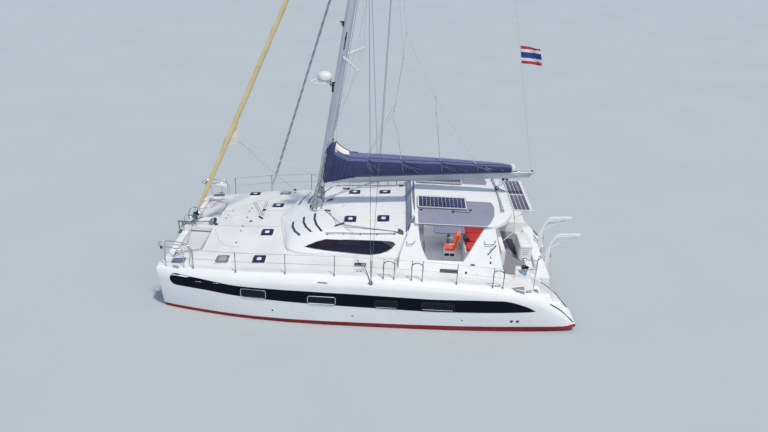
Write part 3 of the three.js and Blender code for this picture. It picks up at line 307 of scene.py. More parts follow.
WHITE = glossy_paint("white_gelcoat", 0xEDEEEE, 0xDCDFE2)
DECK = grip("white_non_skid", 0xE6E7E7, 0xCBCDCE, 90)
RED_PAINT = Finish("antifouling_red", 0x8E1A22, 0.75)
RED_PAINT.tint(0x5C1016, RED_PAINT.clouds(1.2, 6), 0.4, 0.7, 0.8)
RED_PAINT.tint(0xA63A38, RED_PAINT.clouds(7, 5), 0.55, 0.75, 0.5)
RED_PAINT.relief(RED_PAINT.clouds(45, 4), 0.0015, 0.5)
NAVY = glossy_paint("navy_band", 0x04081A, 0x0A1026, 0.35, 0.0)
NAVY.socket("Specular IOR Level").default_value = 0.12
GREY_DECK = grip("grey_deck_paint", 0x8E8D95, 0x76757E, 60)
TOP_GREY = grip("hardtop_grey", 0x9293A6, 0x82839A, 75)
SOLE = grip("cockpit_sole", 0xB9BFCC, 0xA1A8B8, 50)
GLASS = dark_glass("smoked_glass", 0x0A0E1C, 0x1B2440)
TINTED = dark_glass("tinted_glass", 0x04071A, 0x0A1238)
TINTED.socket("Alpha").default_value = 0.72
PORT_PANE = dark_glass("portlight_glass", 0x060B1C, 0x0C1A30)
PORT_PANE.socket("Specular IOR Level").default_value = 0.2
PORT_PANE.socket("Coat Weight").default_value = 0.1
HATCH_NAVY = rubber("hatch_navy", 0x151A48, 0x1F2658, 0.5)
STEEL = bright_metal("polished_steel", 0xC9CDD1, 0x8E949B, 0.16)
ALLOY = painted_metal("grey_alloy", 0xBFC3C9, 0xA3A8AF)
MAST_GREY = painted_metal("mast_paint", 0xC6CDD6, 0xAEB6C1)
BRONZE = bright_metal("bronze", 0xB08D3C, 0x5F6B3C, 0.35)
GALVANISED = bright_metal("galvanised_steel", 0x9DA2A6, 0x6E6A62, 0.5)
BAG_NAVY = cloth("bag_navy", 0x323B69, 0x1E2444, 0x4A5382)
SAIL_CREAM = cloth("sail_cream", 0xE0CF9C, 0xC7B078, 0xF0E6C6, 300)
SAIL_WHITE = cloth("sail_white", 0xE9E6DF, 0xC9C6C4, 0xFFFFFF, 300)
RED_VINYL = leather("red_vinyl", 0xD0190C, 0x9A0F07)
ORANGE_VINYL = leather("orange_vinyl", 0xFF5A14, 0xE03A0A)
CREAM_VINYL = leather("cream_vinyl", 0xCFC6B4, 0xA99F8C)
NET = cloth("trampoline_net", 0xCFCED2, 0xBAB9BF, 0xE0DFE2, 160, 0.1)
CELL = Finish("solar_cell", 0x161D4E, 0.3, coat=0.3)
CELL.tint(0x222C66, CELL.cells(9), 0.2, 0.6, 0.4)
CELL.relief(CELL.clouds(80, 2), 0.0003, 0.2)
PALE_CELL = Finish("pale_solar_cell", 0x51485F, 0.3, coat=0.3)
PALE_CELL.tint(0x6C5E72, PALE_CELL.clouds(2.5, 3), 0.3, 0.7, 0.7)
PALE_CELL.tint(0x3A3554, PALE_CELL.cells(14), 0.25, 0.6, 0.4)
PALE_CELL.relief(PALE_CELL.clouds(80, 2), 0.0003, 0.2)
TEAK = wood("oiled_wood", 0x7A4A2A, 0x4A2A17)
TABLE_SLATE = glossy_paint("table_slate", 0x7A8299, 0x687089, 0.35, 0.2)
BLACK = rubber("black_rubber", 0x17181C, 0x2B2D33)
GREY_PLASTIC = rubber("grey_plastic", 0x7C8088, 0x63676F)
WHITE_PLASTIC = rubber("white_plastic", 0xE4E5E4, 0xC9CBCC, 0.4)
ROPE_WHITE = rope("rope_white", 0xE2DFD8, 0x8E97B4)
ROPE_NAVY = rope("rope_navy", 0x2A3262, 0xC8CAD6)
ROPE_BLACK = rope("rope_black", 0x202126, 0x5A5C66)
LAMP_RED = Finish("lamp_red", 0xB01010, 0.12, coat=0.5)
LAMP_RED.tint(0x600606, LAMP_RED.cells(60), 0.2, 0.6, 0.6)
LAMP_GREEN = Finish("lamp_green", 0x0C8A3C, 0.12, coat=0.5)
LAMP_GREEN.tint(0x04501E, LAMP_GREEN.cells(60), 0.2, 0.6, 0.6)
FLAG_RED = cloth("flag_red", 0xC4303C, 0x94202C, 0xE06068, 500)
FLAG_WHITE = cloth("flag_white", 0xE8E6E4, 0xC4C2C4, 0xFFFFFF, 500)
FLAG_BLUE = cloth("flag_blue", 0x27408E, 0x182A66, 0x4A64B0, 500)
VENT_GREY = glossy_paint("grey_vent", 0x6E727C, 0x4A4E58, 0.45, 0.0)
LOUVRE_GREY = glossy_paint("dark_louvre", 0x2E323E, 0x20242E, 0.5, 0.0)
# A duller steel for the rails, stanchions and shrouds, darkened further as painted shade for their
# shaded look.
RAIL_STEEL_PAINTED_SHADE = bright_metal("dull_steel_painted_shade", 0x84888F, 0x5C6067, 0.32)
SEAM = rubber("deck_seam", 0x9A9CA0, 0x7E8086)

# Shapes


def smooth_path(points, steps=8):
    """Points along a smooth curve through the given ones."""
    points = [Vector(p) for p in points]
    ends = [points[0] * 2 - points[1], *points, points[-1] * 2 - points[-2]]
    made = []
    for a, b, c, d in zip(ends, ends[1:], ends[2:], ends[3:]):
        for i in range(steps):
            t = i / steps
            made.append(0.5 * (2 * b + (c - a) * t + (2 * a - 5 * b + 4 * c - d) * t * t
                + (3 * b - a - 3 * c + d) * t ** 3))
    return [*made, points[-1]]


def level(table, x):
    """The second column of a table at x, in straight runs from row to row."""
    rows = sorted(table)
    if x <= rows[0][0]:
        return rows[0][1]
    for (x0, z0), (x1, z1) in zip(rows, rows[1:]):
        if x <= x1:
            return z0 + (z1 - z0) * (x - x0) / (x1 - x0)
    return rows[-1][1]


def corners(x0, y0, x1, y1):
    return [(x0, y0), (x1, y0), (x1, y1), (x0, y1)]


def rounded(outline, radius, steps=4):
    """The outline with its corners turned into arcs."""
    made = []
    count = len(outline)
    for i, corner in enumerate(outline):
        here = Vector(corner)
        back = (Vector(outline[i - 1]) - here)
        ahead = (Vector(outline[(i + 1) % count]) - here)
        reach = min(radius, back.length * 0.45, ahead.length * 0.45)
        a, b = here + back.normalized() * reach, here + ahead.normalized() * reach
        for k in range(steps + 1):
            t = k / steps
            made.append(tuple(a * (1 - t) ** 2 + here * 2 * t * (1 - t) + b * t * t))
    return made


def facing(direction):
    """The turn that takes +Z to the direction."""
    return Vector(direction).to_track_quat("Z", "Y").to_matrix().to_4x4()


def strand(points, radius, sides=8, closed=False, widths=None):
    """A round tube along straight runs between points, as a curve."""
    curve = bpy.data.curves.new("strand", "CURVE")
    curve.dimensions = "3D"
    curve.bevel_depth = radius
    curve.bevel_resolution = max(0, sides // 4 - 1)
    curve.use_fill_caps = not closed
    spline = curve.splines.new("POLY")
    spline.points.add(len(points) - 1)
    for i, (point, place) in enumerate(zip(spline.points, points)):
        point.co = (*place, 1)
        point.radius = widths[i] if widths else 1
    spline.use_cyclic_u = closed
    return curve


def planted(spot, normal, degrees=0):
    """The turn and place of a thing that stands on a surface."""
    made = Matrix.Translation(spot) @ facing(normal)
    return made @ Matrix.Rotation(math.radians(degrees), 4, "Z") if degrees else made


def thicken(bm, thickness, outward=None, recalculate=True):
    """Turns the faces one way and gives the sheet a thickness."""
    bmesh.ops.recalc_face_normals(bm, faces=bm.faces)
    if outward and sum(face.normal.dot(outward) for face in bm.faces) < 0:
        bmesh.ops.reverse_faces(bm, faces=bm.faces)
    bmesh.ops.solidify(bm, geom=bm.faces[:], thickness=thickness)
    if recalculate:
        bmesh.ops.recalc_face_normals(bm, faces=bm.faces)


def cut(bm, point, normal, clear=False):
    everything = bm.verts[:] + bm.edges[:] + bm.faces[:]
    bmesh.ops.bisect_plane(bm, geom=everything, plane_co=point, plane_no=normal,
        clear_outer=clear, dist=1e-5)


def show(name, bm, finishes, angle):
    """The finished object, smooth but for the edges sharper than the angle."""
    for face in bm.faces:
        face.smooth = True
    for edge in bm.edges:
        if len(edge.link_faces) == 2 and edge.calc_face_angle(0) > math.radians(angle):
            edge.smooth = False
    mesh = bpy.data.meshes.new(name)
    bm.to_mesh(mesh)
    bm.free()
    for finish in finishes:
        mesh.materials.append(finish.mat)
    obj = bpy.data.objects.new(name, mesh)
    scene.collection.objects.link(obj)
    return obj


class Piece:
    """A mesh in the making, put together from plain shapes."""

    def __init__(self, name, *finishes):
        self.name = name
        self.finishes = finishes
        self.bm = bmesh.new()

    def take(self, part, finish=0, turn=None):
        if turn:
            bmesh.ops.transform(part, matrix=turn, verts=part.verts)
        for face in part.faces:
            face.material_index = finish
        mesh = bpy.data.meshes.new("part")
        part.to_mesh(mesh)
        part.free()
        self.bm.from_mesh(mesh)
        bpy.data.meshes.remove(mesh)
        return self

    def block(self, low, high, edge=0.008, finish=0, turn=None, segments=2):
        """A box with rounded edges."""
        part = bmesh.new()
        low, high = Vector(low), Vector(high)
        sized = Matrix.Translation((low + high) / 2) @ Matrix.Diagonal((*(high - low), 1))
        bmesh.ops.create_cube(part, size=1, matrix=sized)
        if edge:
            bmesh.ops.bevel(part, geom=part.edges, offset=edge, segments=segments, profile=0.5,
                affect="EDGES", material=-1, clamp_overlap=True)
        return self.take(part, finish, turn)

    def rod(self, a, b, radius, finish=0, sides=14, end=None):
        part = bmesh.new()
        a, b = Vector(a), Vector(b)
        place = Matrix.Translation((a + b) / 2) @ facing(b - a)
        bmesh.ops.create_cone(part, cap_ends=True, segments=sides, radius1=radius,
            radius2=radius if end is None else end, depth=(b - a).length, matrix=place)
        return self.take(part, finish)

    def block_at(self, centre, low, high, edge=0.008, finish=0):
        """A block whose corners are measured from a place."""
        return self.block(Vector(centre) + Vector(low),
            Vector(centre) + Vector(high), edge, finish)

    def ball(self, centre, radii, finish=0, sides=14):
        part = bmesh.new()
        bmesh.ops.create_uvsphere(part, u_segments=sides, v_segments=max(6, sides // 2), radius=1,
            matrix=Matrix.Diagonal((*radii, 1)))
        return self.take(part, finish, Matrix.Translation(centre))

    def turned(self, profile, foot, axis=(0, 0, 1), finish=0, steps=24):
        """A shape turned on a lathe from (radius, height) pairs."""
        part = bmesh.new()
        verts = [part.verts.new((r, 0, h)) for r, h in profile]
        edges = [part.edges.new(pair) for pair in zip(verts, verts[1:])]
        bmesh.ops.spin(part, geom=verts + edges, cent=(0, 0, 0), axis=(0, 0, 1), angle=math.tau,
            steps=steps, use_merge=True)
        bmesh.ops.remove_doubles(part, verts=part.verts, dist=1e-5)
        bmesh.ops.recalc_face_normals(part, faces=part.faces)
        return self.take(part, finish, planted(foot, axis))

    def ring(self, centre, radius, thick, axis=(0, 0, 1), finish=0, steps=24, sides=8):
        part = bmesh.new()
        bmesh.ops.create_circle(part, segments=sides, radius=thick,
            matrix=Matrix.Translation((radius, 0, 0)) @ Matrix.Rotation(math.pi / 2, 4, "X"))
        bmesh.ops.spin(part, geom=part.verts[:] + part.edges[:], cent=(0, 0, 0), axis=(0, 0, 1),
            angle=math.tau, steps=steps, use_merge=True)
        bmesh.ops.remove_doubles(part, verts=part.verts, dist=1e-6)
        bmesh.ops.recalc_face_normals(part, faces=part.faces)
        return self.take(part, finish, planted(centre, axis))

    def slab(self, outline, low, high, edge=0.006, finish=0, plane="XY", turn=None, segments=2):
        """An outline raised from low to high, with rounded edges."""
        part = bmesh.new()
        face = part.faces.new([part.verts.new((*p, low)) for p in outline])
        grown = bmesh.ops.extrude_face_region(part, geom=[face])["geom"]
        top = [v for v in grown if isinstance(v, bmesh.types.BMVert)]
        bmesh.ops.translate(part, verts=top, vec=(0, 0, high - low))
        bmesh.ops.recalc_face_normals(part, faces=part.faces)
        if edge:
            sharp = [e for e in part.edges if e.calc_face_angle(0) > 0.6]
            bmesh.ops.bevel(part, geom=sharp, offset=edge, segments=segments, profile=0.5,
                affect="EDGES", material=-1, clamp_overlap=True)
        if plane != "XY":
            rows = {"XZ": ((1, 0, 0), (0, 0, 1), (0, 1, 0)),
                "YZ": ((0, 0, 1), (1, 0, 0), (0, 1, 0))}
            bmesh.ops.transform(part, matrix=Matrix(rows[plane]).to_4x4(), verts=part.verts)
            bmesh.ops.recalc_face_normals(part, faces=part.faces)
        return self.take(part, finish, turn)

    def tube(self, points, radius, finish=0, sides=8, closed=False, widths=None):
        holder = bpy.data.objects.new("strand", strand(points, radius, sides, closed, widths))
        mesh = bpy.data.meshes.new_from_object(holder)
        part = bmesh.new()
        part.from_mesh(mesh)
        bmesh.ops.remove_doubles(part, verts=part.verts, dist=1e-6)
        curve = holder.data
        bpy.data.objects.remove(holder)
        bpy.data.curves.remove(curve)
        bpy.data.meshes.remove(mesh)
        return self.take(part, finish)

    def skin(self, across, along, place, finish=0):
        """A grid bent into place: place(u, v) gives the point for u and v from 0 to 1."""
        part = bmesh.new()
        bmesh.ops.create_grid(part, x_segments=across, y_segments=along, size=0.5,
            matrix=Matrix.Translation((0.5, 0.5, 0)))
        for vert in part.verts:
            vert.co = place(vert.co.x, vert.co.y)
        bmesh.ops.remove_doubles(part, verts=part.verts, dist=1e-5)
        return self.take(part, finish)

    def done(self, body="boat", slot=None, angle=38, stands_for=(), name=None, mirror=False):
        bm = self.bm.copy() if mirror else self.bm
        if mirror:
            bmesh.ops.scale(bm, vec=(1, -1, 1), verts=bm.verts)
            bmesh.ops.reverse_faces(bm, faces=bm.faces)
        return settle(show(name or self.name, bm, self.finishes, angle), body, stands_for)

    def pair(self, body="boat", slot=None, angle=38, stands_for=()):
        """The piece to port, and its mirror image to starboard."""
        made = []
        for side, mirror in (("starboard", True), ("port", False)):
            made.append(self.done(body.format(side), slot, angle,
                [f"{side}_{n}" for n in stands_for], f"{side}_{self.name}", mirror))
        return made


def settle(obj, body, stands_for=()):
    if body:
        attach(obj, body)
    if stands_for:
        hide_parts(*stands_for)
    return obj


class Skin:
    """The surface of some CAD nodes, to lay pieces on."""

    def __init__(self, *names):
        bm = bmesh.new()
        for name in names:
            bm.from_mesh(nodes[name].data)
        self.tree = BVHTree.FromBMesh(bm)
        bm.free()

    def under(self, x, y, z=9.0):
        return self.tree.ray_cast(xyz(x, y, z), rise(-1))[:2]

    def beside(self, x, z, y=6.0):
        return self.tree.ray_cast(xyz(x, y, z), xyz(0, -1, 0))[:2]


def patch(name, finish, outline, look, lift=0.004, cell=0.12, thick=0.006):
    """A thin piece that follows a surface, inside a convex outline; look finds the surface."""
    us, vs = [p[0] for p in outline], [p[1] for p in outline]
    wide, high = max(us) - min(us), max(vs) - min(vs)
    middle = xyz(sum(us) / len(us), sum(vs) / len(vs), 0)
    piece = Piece(name, finish)
    part = piece.bm
    place = Matrix.Translation(((max(us) + min(us)) / 2, (max(vs) + min(vs)) / 2, 0))
    bmesh.ops.create_grid(part, x_segments=max(2, round(wide / cell)),
        y_segments=max(2, round(high / cell)), size=0.5,
        matrix=place @ Matrix.Diagonal((wide, high, 1, 1)))
    for i, corner in enumerate(outline):
        a, b = Vector((*corner, 0)), Vector((*outline[(i + 1) % len(outline)], 0))
        out = xyz((b - a).y, (a - b).x, 0)
        if out.length < 1e-9:
            continue
        if out.dot(middle - a) > 0:
            out = -out
        bmesh.ops.bisect_plane(part, geom=part.verts[:] + part.edges[:] + part.faces[:],
            plane_co=a, plane_no=out, clear_outer=True, dist=1e-6)
    missed = []
    for vert in part.verts:
        spot, normal = look(vert.co.x, vert.co.y)
        if spot is None:
            missed.append(vert)
        else:
            vert.co = spot + normal * lift
    bmesh.ops.delete(part, geom=missed, context="VERTS")
    thicken(part, thick, look(middle.x, middle.y)[1])
    return piece


def on_skin(points, look, lift=0.0, step=0.12):
    """Points close together along a line laid on a surface."""
    made = []
    for a, b in zip(points, points[1:]):
        a, b = Vector(a), Vector(b)
        count = max(1, round((b - a).length / step))
        for i in range(count + (b == Vector(points[-1]))):
            p = a.lerp(b, i / count)
            spot, normal = look(p.x, p.y)
            if spot is not None:
                made.append(spot + normal * lift)
    return made


def dress(node, *finishes, angle=38, bevel=0.0, slot=None, paint=None, cuts=(), flat=0.4,
        segments=2, trims=()):
    """A smooth, finely edged copy of a CAD node that stands for it."""
    bm = bmesh.new()
    bm.from_mesh(nodes[node].data)
    bmesh.ops.remove_doubles(bm, verts=bm.verts, dist=2e-5)
    for point, normal in trims:
        cut(bm, point, normal, True)
        bmesh.ops.holes_fill(bm, edges=[e for e in bm.edges if e.is_boundary], sides=0)
    for point, normal in cuts:
        cut(bm, point, normal)
    if paint:
        for face in bm.faces:
            face.material_index = paint(face.calc_center_median(), face.normal)
    if flat:
        bmesh.ops.dissolve_limit(bm, angle_limit=math.radians(flat), verts=bm.verts,
            edges=bm.edges, delimit={"MATERIAL"})
    obj = show(node + "_surface", bm, finishes, angle)
    if bevel:
        rounding = obj.modifiers.new("rounding", "BEVEL")
        rounding.width = bevel
        rounding.segments = segments
        rounding.limit_method = "ANGLE"
        rounding.angle_limit = math.radians(angle)
        rounding.use_clamp_overlap = True
        weighing = obj.modifiers.new("shading", "WEIGHTED_NORMAL")
        weighing.keep_sharp = True
    return settle(obj, nodes[node]["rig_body"], [node])


def both_sides(name):
    return (f"port_{name}", f"starboard_{name}")


# Surfaces of the CAD nodes

BOOT_BOW, BOOT_STERN = xyz(6.6, 0, 0.10), xyz(-6.6, 0, 0.205)
AFT_DECK_Z, AFT_DECK_FRONT, AFT_DECK_EDGE = 1.55, -4.2, -5.12
COCKPIT_FRONT, LOWEST_DECK = -1.2, 1.25
COCKPIT_SOLE_Z, SALOON_SOLE_Z = 0.9, 0.82
RADOME_FOOT, TRAVELLER_TOP = 6.8345, 3.306
GREY_EDGE_FORE, GREY_EDGE_AFT = -1.5, -3.66


def level_face(middle, normal, height):
    return normal.z > 0.9 and abs(middle.z - height) < 0.012


def hull_paint(middle, normal):
    run = (middle.x - BOOT_BOW.x) / (BOOT_STERN.x - BOOT_BOW.x)
    if middle.z < BOOT_BOW.z + (BOOT_STERN.z - BOOT_BOW.z) * run:
        return 1
    if level_face(middle, normal, AFT_DECK_Z) and AFT_DECK_EDGE < middle.x < AFT_DECK_FRONT:
        return 2
    if normal.z > 0.93 and middle.z > LOWEST_DECK:
        return 3
    return 0


def bridge_paint(middle, normal):
    if level_face(middle, normal, COCKPIT_SOLE_Z) and middle.x < COCKPIT_FRONT:
        return 4
    if level_face(middle, normal, SALOON_SOLE_Z):
        return 5
    return hull_paint(middle, normal)


def hardtop_paint(middle, normal):
    along = GREY_EDGE_AFT < middle.x < GREY_EDGE_FORE
    return along and abs(middle.y) > 2.3 and abs(normal.y) > 0.45


def dress_all():
    fall = (BOOT_BOW - BOOT_STERN).cross(xyz(0, 1, 0)).normalized()
    at_boot = ((BOOT_BOW, fall), ((AFT_DECK_EDGE, 0, 0), (1, 0, 0)))
    for node in both_sides("hull"):
        dress(node, WHITE, RED_PAINT, GREY_DECK, DECK, angle=40, bevel=0.012, slot="gelcoat",
            paint=hull_paint, cuts=at_boot)
    dress("bridge_deck", WHITE, RED_PAINT, GREY_DECK, DECK, SOLE, TEAK, angle=40, bevel=0.012,
        slot="gelcoat", paint=bridge_paint, cuts=at_boot[1:])
    dress("saloon_shell", WHITE, angle=42, bevel=0.008, slot="gelcoat")
    dress("hardtop", WHITE, TOP_GREY, angle=42, bevel=0.015, slot="gelcoat", paint=hardtop_paint,
        cuts=[(xyz(x, 0, 0), xyz(1, 0, 0)) for x in (GREY_EDGE_FORE, GREY_EDGE_AFT)])
    dress("helm_console", WHITE, angle=30, bevel=0.02, slot="gelcoat")
    dress("stern_locker", WHITE, angle=60, bevel=0.02, slot="gelcoat")
    dress("mast", MAST_GREY, angle=66, bevel=0.004, slot="alloy")
    dress("radome", WHITE_PLASTIC, BLACK, angle=50, bevel=0.004, slot="gelcoat",
        paint=lambda middle, normal: middle.z < RADOME_FOOT)
    dress("bow_beam", WHITE, angle=50, bevel=0.004, slot="alloy")
    dress("front_windows", GLASS, angle=30, bevel=0.002, slot="glass")
    dress("saloon_door", GLASS, angle=30, bevel=0.004, slot="glass")
    dress("saloon_furniture", TEAK, angle=30, bevel=0.015, slot="wood")
    dress("cockpit_table", TABLE_SLATE, angle=50, bevel=0.008, slot="wood")
    dress("helm_wheel", STEEL, angle=70, bevel=0.002, slot="steel")
    dress("aft_solar_panel", WHITE_PLASTIC, angle=30, bevel=0.004, slot="solar")
    dress("mainsheet_traveller", ALLOY, BLACK, angle=30, bevel=0.004, slot="black",
        paint=lambda middle, normal: middle.z > TRAVELLER_TOP)
    dress("furler_drum", BLACK, angle=50, bevel=0.003, slot="black")
    dress("topping_lift", ROPE_WHITE, angle=70, slot="net")
    dress("anchor_gear", GALVANISED, angle=50, bevel=0.004, slot="steel")
    for side in ("port_", "starboard_"):
        dress(side + "side_window", TINTED, angle=30, bevel=0.002, slot="glass")
        dress(side + "coaming", WHITE, angle=40, bevel=0.02, slot="gelcoat", segments=3)
        dress(side + "davit", WHITE, angle=40, bevel=0.018, slot="gelcoat", segments=3)
        dress(side + "solar_panel", WHITE_PLASTIC, angle=30, bevel=0.004, slot="solar")
        dress(side + "pulpit", STEEL, angle=70, slot="steel")
        dress(side + "lifelines", RAIL_STEEL_PAINTED_SHADE, angle=70, slot="steel")
        dress(side + "stern_rail", STEEL, angle=70, slot="steel")
        dress(side + "shrouds", RAIL_STEEL_PAINTED_SHADE, angle=70, slot="steel")
        dress(side + "rudder", RED_PAINT, angle=60, bevel=0.004, slot="gelcoat")
        dress(side + "propeller", BRONZE, angle=50, bevel=0.001, slot="bronze")


dress_all()

# Skins to lay pieces on, always on the port side

HULL = Skin("port_hull")
DECKS = Skin("port_hull", "bridge_deck")
ROOF = Skin("saloon_shell")
TOP = Skin("hardtop")
COAMING = Skin("port_coaming")


# Floor, light and surroundings


def lamp(name, kind, energy, place):
    data = bpy.data.lights.new(name, kind)
    data.energy = energy
    holder = bpy.data.objects.new(name, data)
    holder.matrix_world = place
    scene.collection.objects.link(holder)
    return data, holder


def sun(name, energy, spread, toward, colour=(1, 1, 1)):
    data, _ = lamp(name, "SUN", energy, facing(toward))
    data.angle = math.radians(spread)
    data.color = colour


def inside_lamp(name, place, long, wide, energy):
    """A soft panel of light under a roof, which the camera doesn't see."""
    data, holder = lamp(name, "AREA", energy, Matrix.Translation(place))
    data.shape = "RECTANGLE"
    data.size, data.size_y = long, wide
    holder.visible_camera = False


FLOOR_HALF = 160


def studio():
    floor = Piece("floor", Finish("pale_floor", 0xB4BCC1, 0.8))
    part = bmesh.new()
    bmesh.ops.create_grid(part, x_segments=2, y_segments=2, size=FLOOR_HALF)
    floor.take(part)
    cloudy = floor.finishes[0]
    cloudy.tint(0xADB5BA, cloudy.clouds(0.2, 2), 0.3, 0.7, 0.5)
    made = floor.done(body=None)
    sun("key_light", 2.55, 4, (-0.26, 0.3, 0.92), (1.0, 0.92, 0.8))
    sun("fill_light", 0.28, 30, (0.0, 0.9, 0.34))
    inside_lamp("cockpit_light", (-2.75, 0, 2.72), 2.3, 3.0, 30)
    inside_lamp("saloon_light", (0.4, 0.3, 2.25), 2.2, 2.0, 14)
    world = bpy.data.worlds.new("pale_surroundings")
    world.use_nodes = True
    sky = world.node_tree.nodes["Background"]
    sky.inputs["Color"].default_value = (0.58, 0.74, 1.0, 1)
    sky.inputs["Strength"].default_value = 0.52
    scene.world = world
    scene.view_settings.view_transform = "Standard"


studio()

# Sides of the hulls

BAND_TOP = [(6.11, 1.29), (5.0, 1.24), (4.0, 1.18), (2.0, 1.19), (0.5, 1.18), (-2.0, 1.13),
    (-3.5, 1.16), (-4.25, 1.15), (-4.53, 1.1), (-4.99, 0.94), (-5.27, 0.785)]
BAND_FOOT = [(6.15, 0.9), (5.05, 0.89), (3.6, 0.81), (1.26, 0.75), (-2.0, 0.69),
    (-5.1, 0.755), (-5.27, 0.78)]
BAND_FRONT, BAND_AFT, BAND_ROUND = 6.2, -5.27, 0.21
PORTLIGHTS = [(3.1, 3.88, 0.83, 1.11), (0.94, 1.8, 0.785, 1.04), (-0.98, -0.26, 0.765, 1.02),
    (-2.72, -1.7, 0.765, 1.02)]


def navy_band():
    def place(u, v):
        if u < 0.1:
            x = BAND_FRONT - BAND_ROUND * (1 - math.cos(u * 5 * math.pi))
        else:
            x = BAND_FRONT - BAND_ROUND + (BAND_AFT - BAND_FRONT + BAND_ROUND) * (u - 0.1) / 0.9
        low, high = level(BAND_FOOT, x), level(BAND_TOP, x)
        past = max(0, (x - BAND_FRONT + BAND_ROUND) / BAND_ROUND)
        reach = (high - low) / 2 * math.sqrt(max(0.0004, 1 - past * past))
        spot, normal = HULL.beside(x, (low + high) / 2 + reach * (2 * v - 1))
        return spot + normal * 0.003

    piece = Piece("hull_band", NAVY)
    piece.skin(110, 5, place)
    thicken(piece.bm, 0.006, xyz(0, 1, 0))
    piece.pair(slot="gelcoat", angle=50)


def portlights():
    frames = Piece("portlight_frames", STEEL, BLACK)
    for i, (x0, x1, z0, z1) in enumerate(PORTLIGHTS):
        opening = corners(x0, z0, x1, z1)
        pane = rounded(opening, 0.055, 3)
        patch(f"portlight_{i + 1}", PORT_PANE, pane, HULL.beside, 0.007, 0.2).pair(slot="glass")
        fore = i < 2
        rims = ((0.0, 0.013 if fore else 0.008, 0 if fore else 1), (0.042, 0.005, 1))
        for inset, radius, finish in rims:
            middle = Vector(((x0 + x1) / 2, (z0 + z1) / 2))
            loop = []
            for corner in rounded(opening, 0.06):
                away = Vector(corner) - middle
                p = middle + Vector((away.x * (1 - inset / (x1 - x0) * 2),
                    away.y * (1 - inset / (z1 - z0) * 2)))
                spot, normal = HULL.beside(p.x, p.y)
                loop.append(spot + normal * 0.012)
            frames.tube(loop, radius, finish, closed=True)
        sill = [(x0 + 0.05, z0 + 0.005), (x1 - 0.05, z0 + 0.005)]
        frames.tube(on_skin(sill, HULL.beside, 0.016), 0.016 if fore else 0.008)
        for x in (x0 + 0.09, x1 - 0.09):
            spot, normal = HULL.beside(x, z1 - 0.03)
            frames.rod(spot + normal * 0.004, spot + normal * 0.02, 0.012, 1)
    frames.pair(slot="steel", angle=50)


def through_hulls():
    fittings = Piece("through_hulls", STEEL, BLACK)
    for x, z, big in ((-4.55, 0.41, 1.7), (-4.74, 0.41, 1.7), (-3.0, 0.42, 1),
            (0.4, 0.4, 1), (2.9, 0.42, 1)):
        spot, normal = HULL.beside(x, z)
        rim = [(0.024 * big, 0.001), (0.025 * big, 0.009), (0.03 * big, 0.007), (0.034 * big, 0.0),
            (0.03 * big, -0.004)]
        fittings.turned(rim, spot, normal, 0, 18)
        fittings.rod(spot - normal * 0.003, spot + normal * 0.002, 0.026 * big, 1)
    fittings.pair(slot="steel", angle=50)
    patch("topside_vent", VENT_GREY, corners(1.2, 1.485, 1.5, 1.515), HULL.beside, 0.004,
        0.05).pair(slot="steel")
    rubs = Piece("stern_rub_strips", BLACK)
    row = [(-5.72, 0.96), (-5.95, 0.82), (-6.13, 0.68), (-6.4, 0.42), (-6.58, 0.24)]
    rubs.tube(smooth_path(on_skin(row, HULL.beside, 0.004, 0.3), 3), 0.019)
    inner = [DECKS.under(x, 2.27 if x > -6.3 else 2.3) for x in (-5.6, -5.85, -6.1, -6.35, -6.55)]
    rubs.tube([spot + normal * 0.005 for spot, normal in inner if spot], 0.019)
    rubs.pair(slot="black")


# Deck lines, patches and fittings

def deck_lines():
    seams = Piece("deck_seams", SEAM)
    for row in ([(5.4, 0.32), (5.07, 0.37), (4.42, 0.57), (3.12, 0.71)],
            [(5.36, 0.6), (5.26, 0.86), (5.17, 1.05), (5.02, 1.46), (4.78, 1.77),
            (4.47, 1.94), (4.2, 1.97)]):
        seams.tube(on_skin(row, DECKS.under, 0.0), 0.006, sides=6)
    foot = [(3.155, 0.0), (3.08, 0.52), (3.0, 0.9), (2.87, 1.46), (2.71, 2.08), (2.6, 2.26)]
    seams.tube(on_skin(foot, DECKS.under, 0.001), 0.007, sides=6)
    seams.pair(slot="grey_deck")
    patch("stern_grip", GREY_DECK, [(-4.45, 3.31), (-4.89, 3.1), (-4.87, 3.42), (-4.6, 3.42)],
        DECKS.under, 0.003, 0.08).pair(slot="grey_deck")
    # A black sheet on the aft deck in front of the stern locker: painted shadow on the grey deck.
    scoop = [(-4.74, 0.02), (-4.76, 0.62), (-4.86, 1.18), (-4.93, 1.25), (-4.99, 1.18),
        (-4.92, 0.62), (-4.94, 0.0)]
    shadow_sheet = Piece("aft_deck_painted_shadow", BLACK)
    shadow_sheet.slab(rounded(scoop, 0.05, 2), AFT_DECK_Z + 0.0005, AFT_DECK_Z + 0.005, 0.001)
    shadow_sheet.done(slot="black")


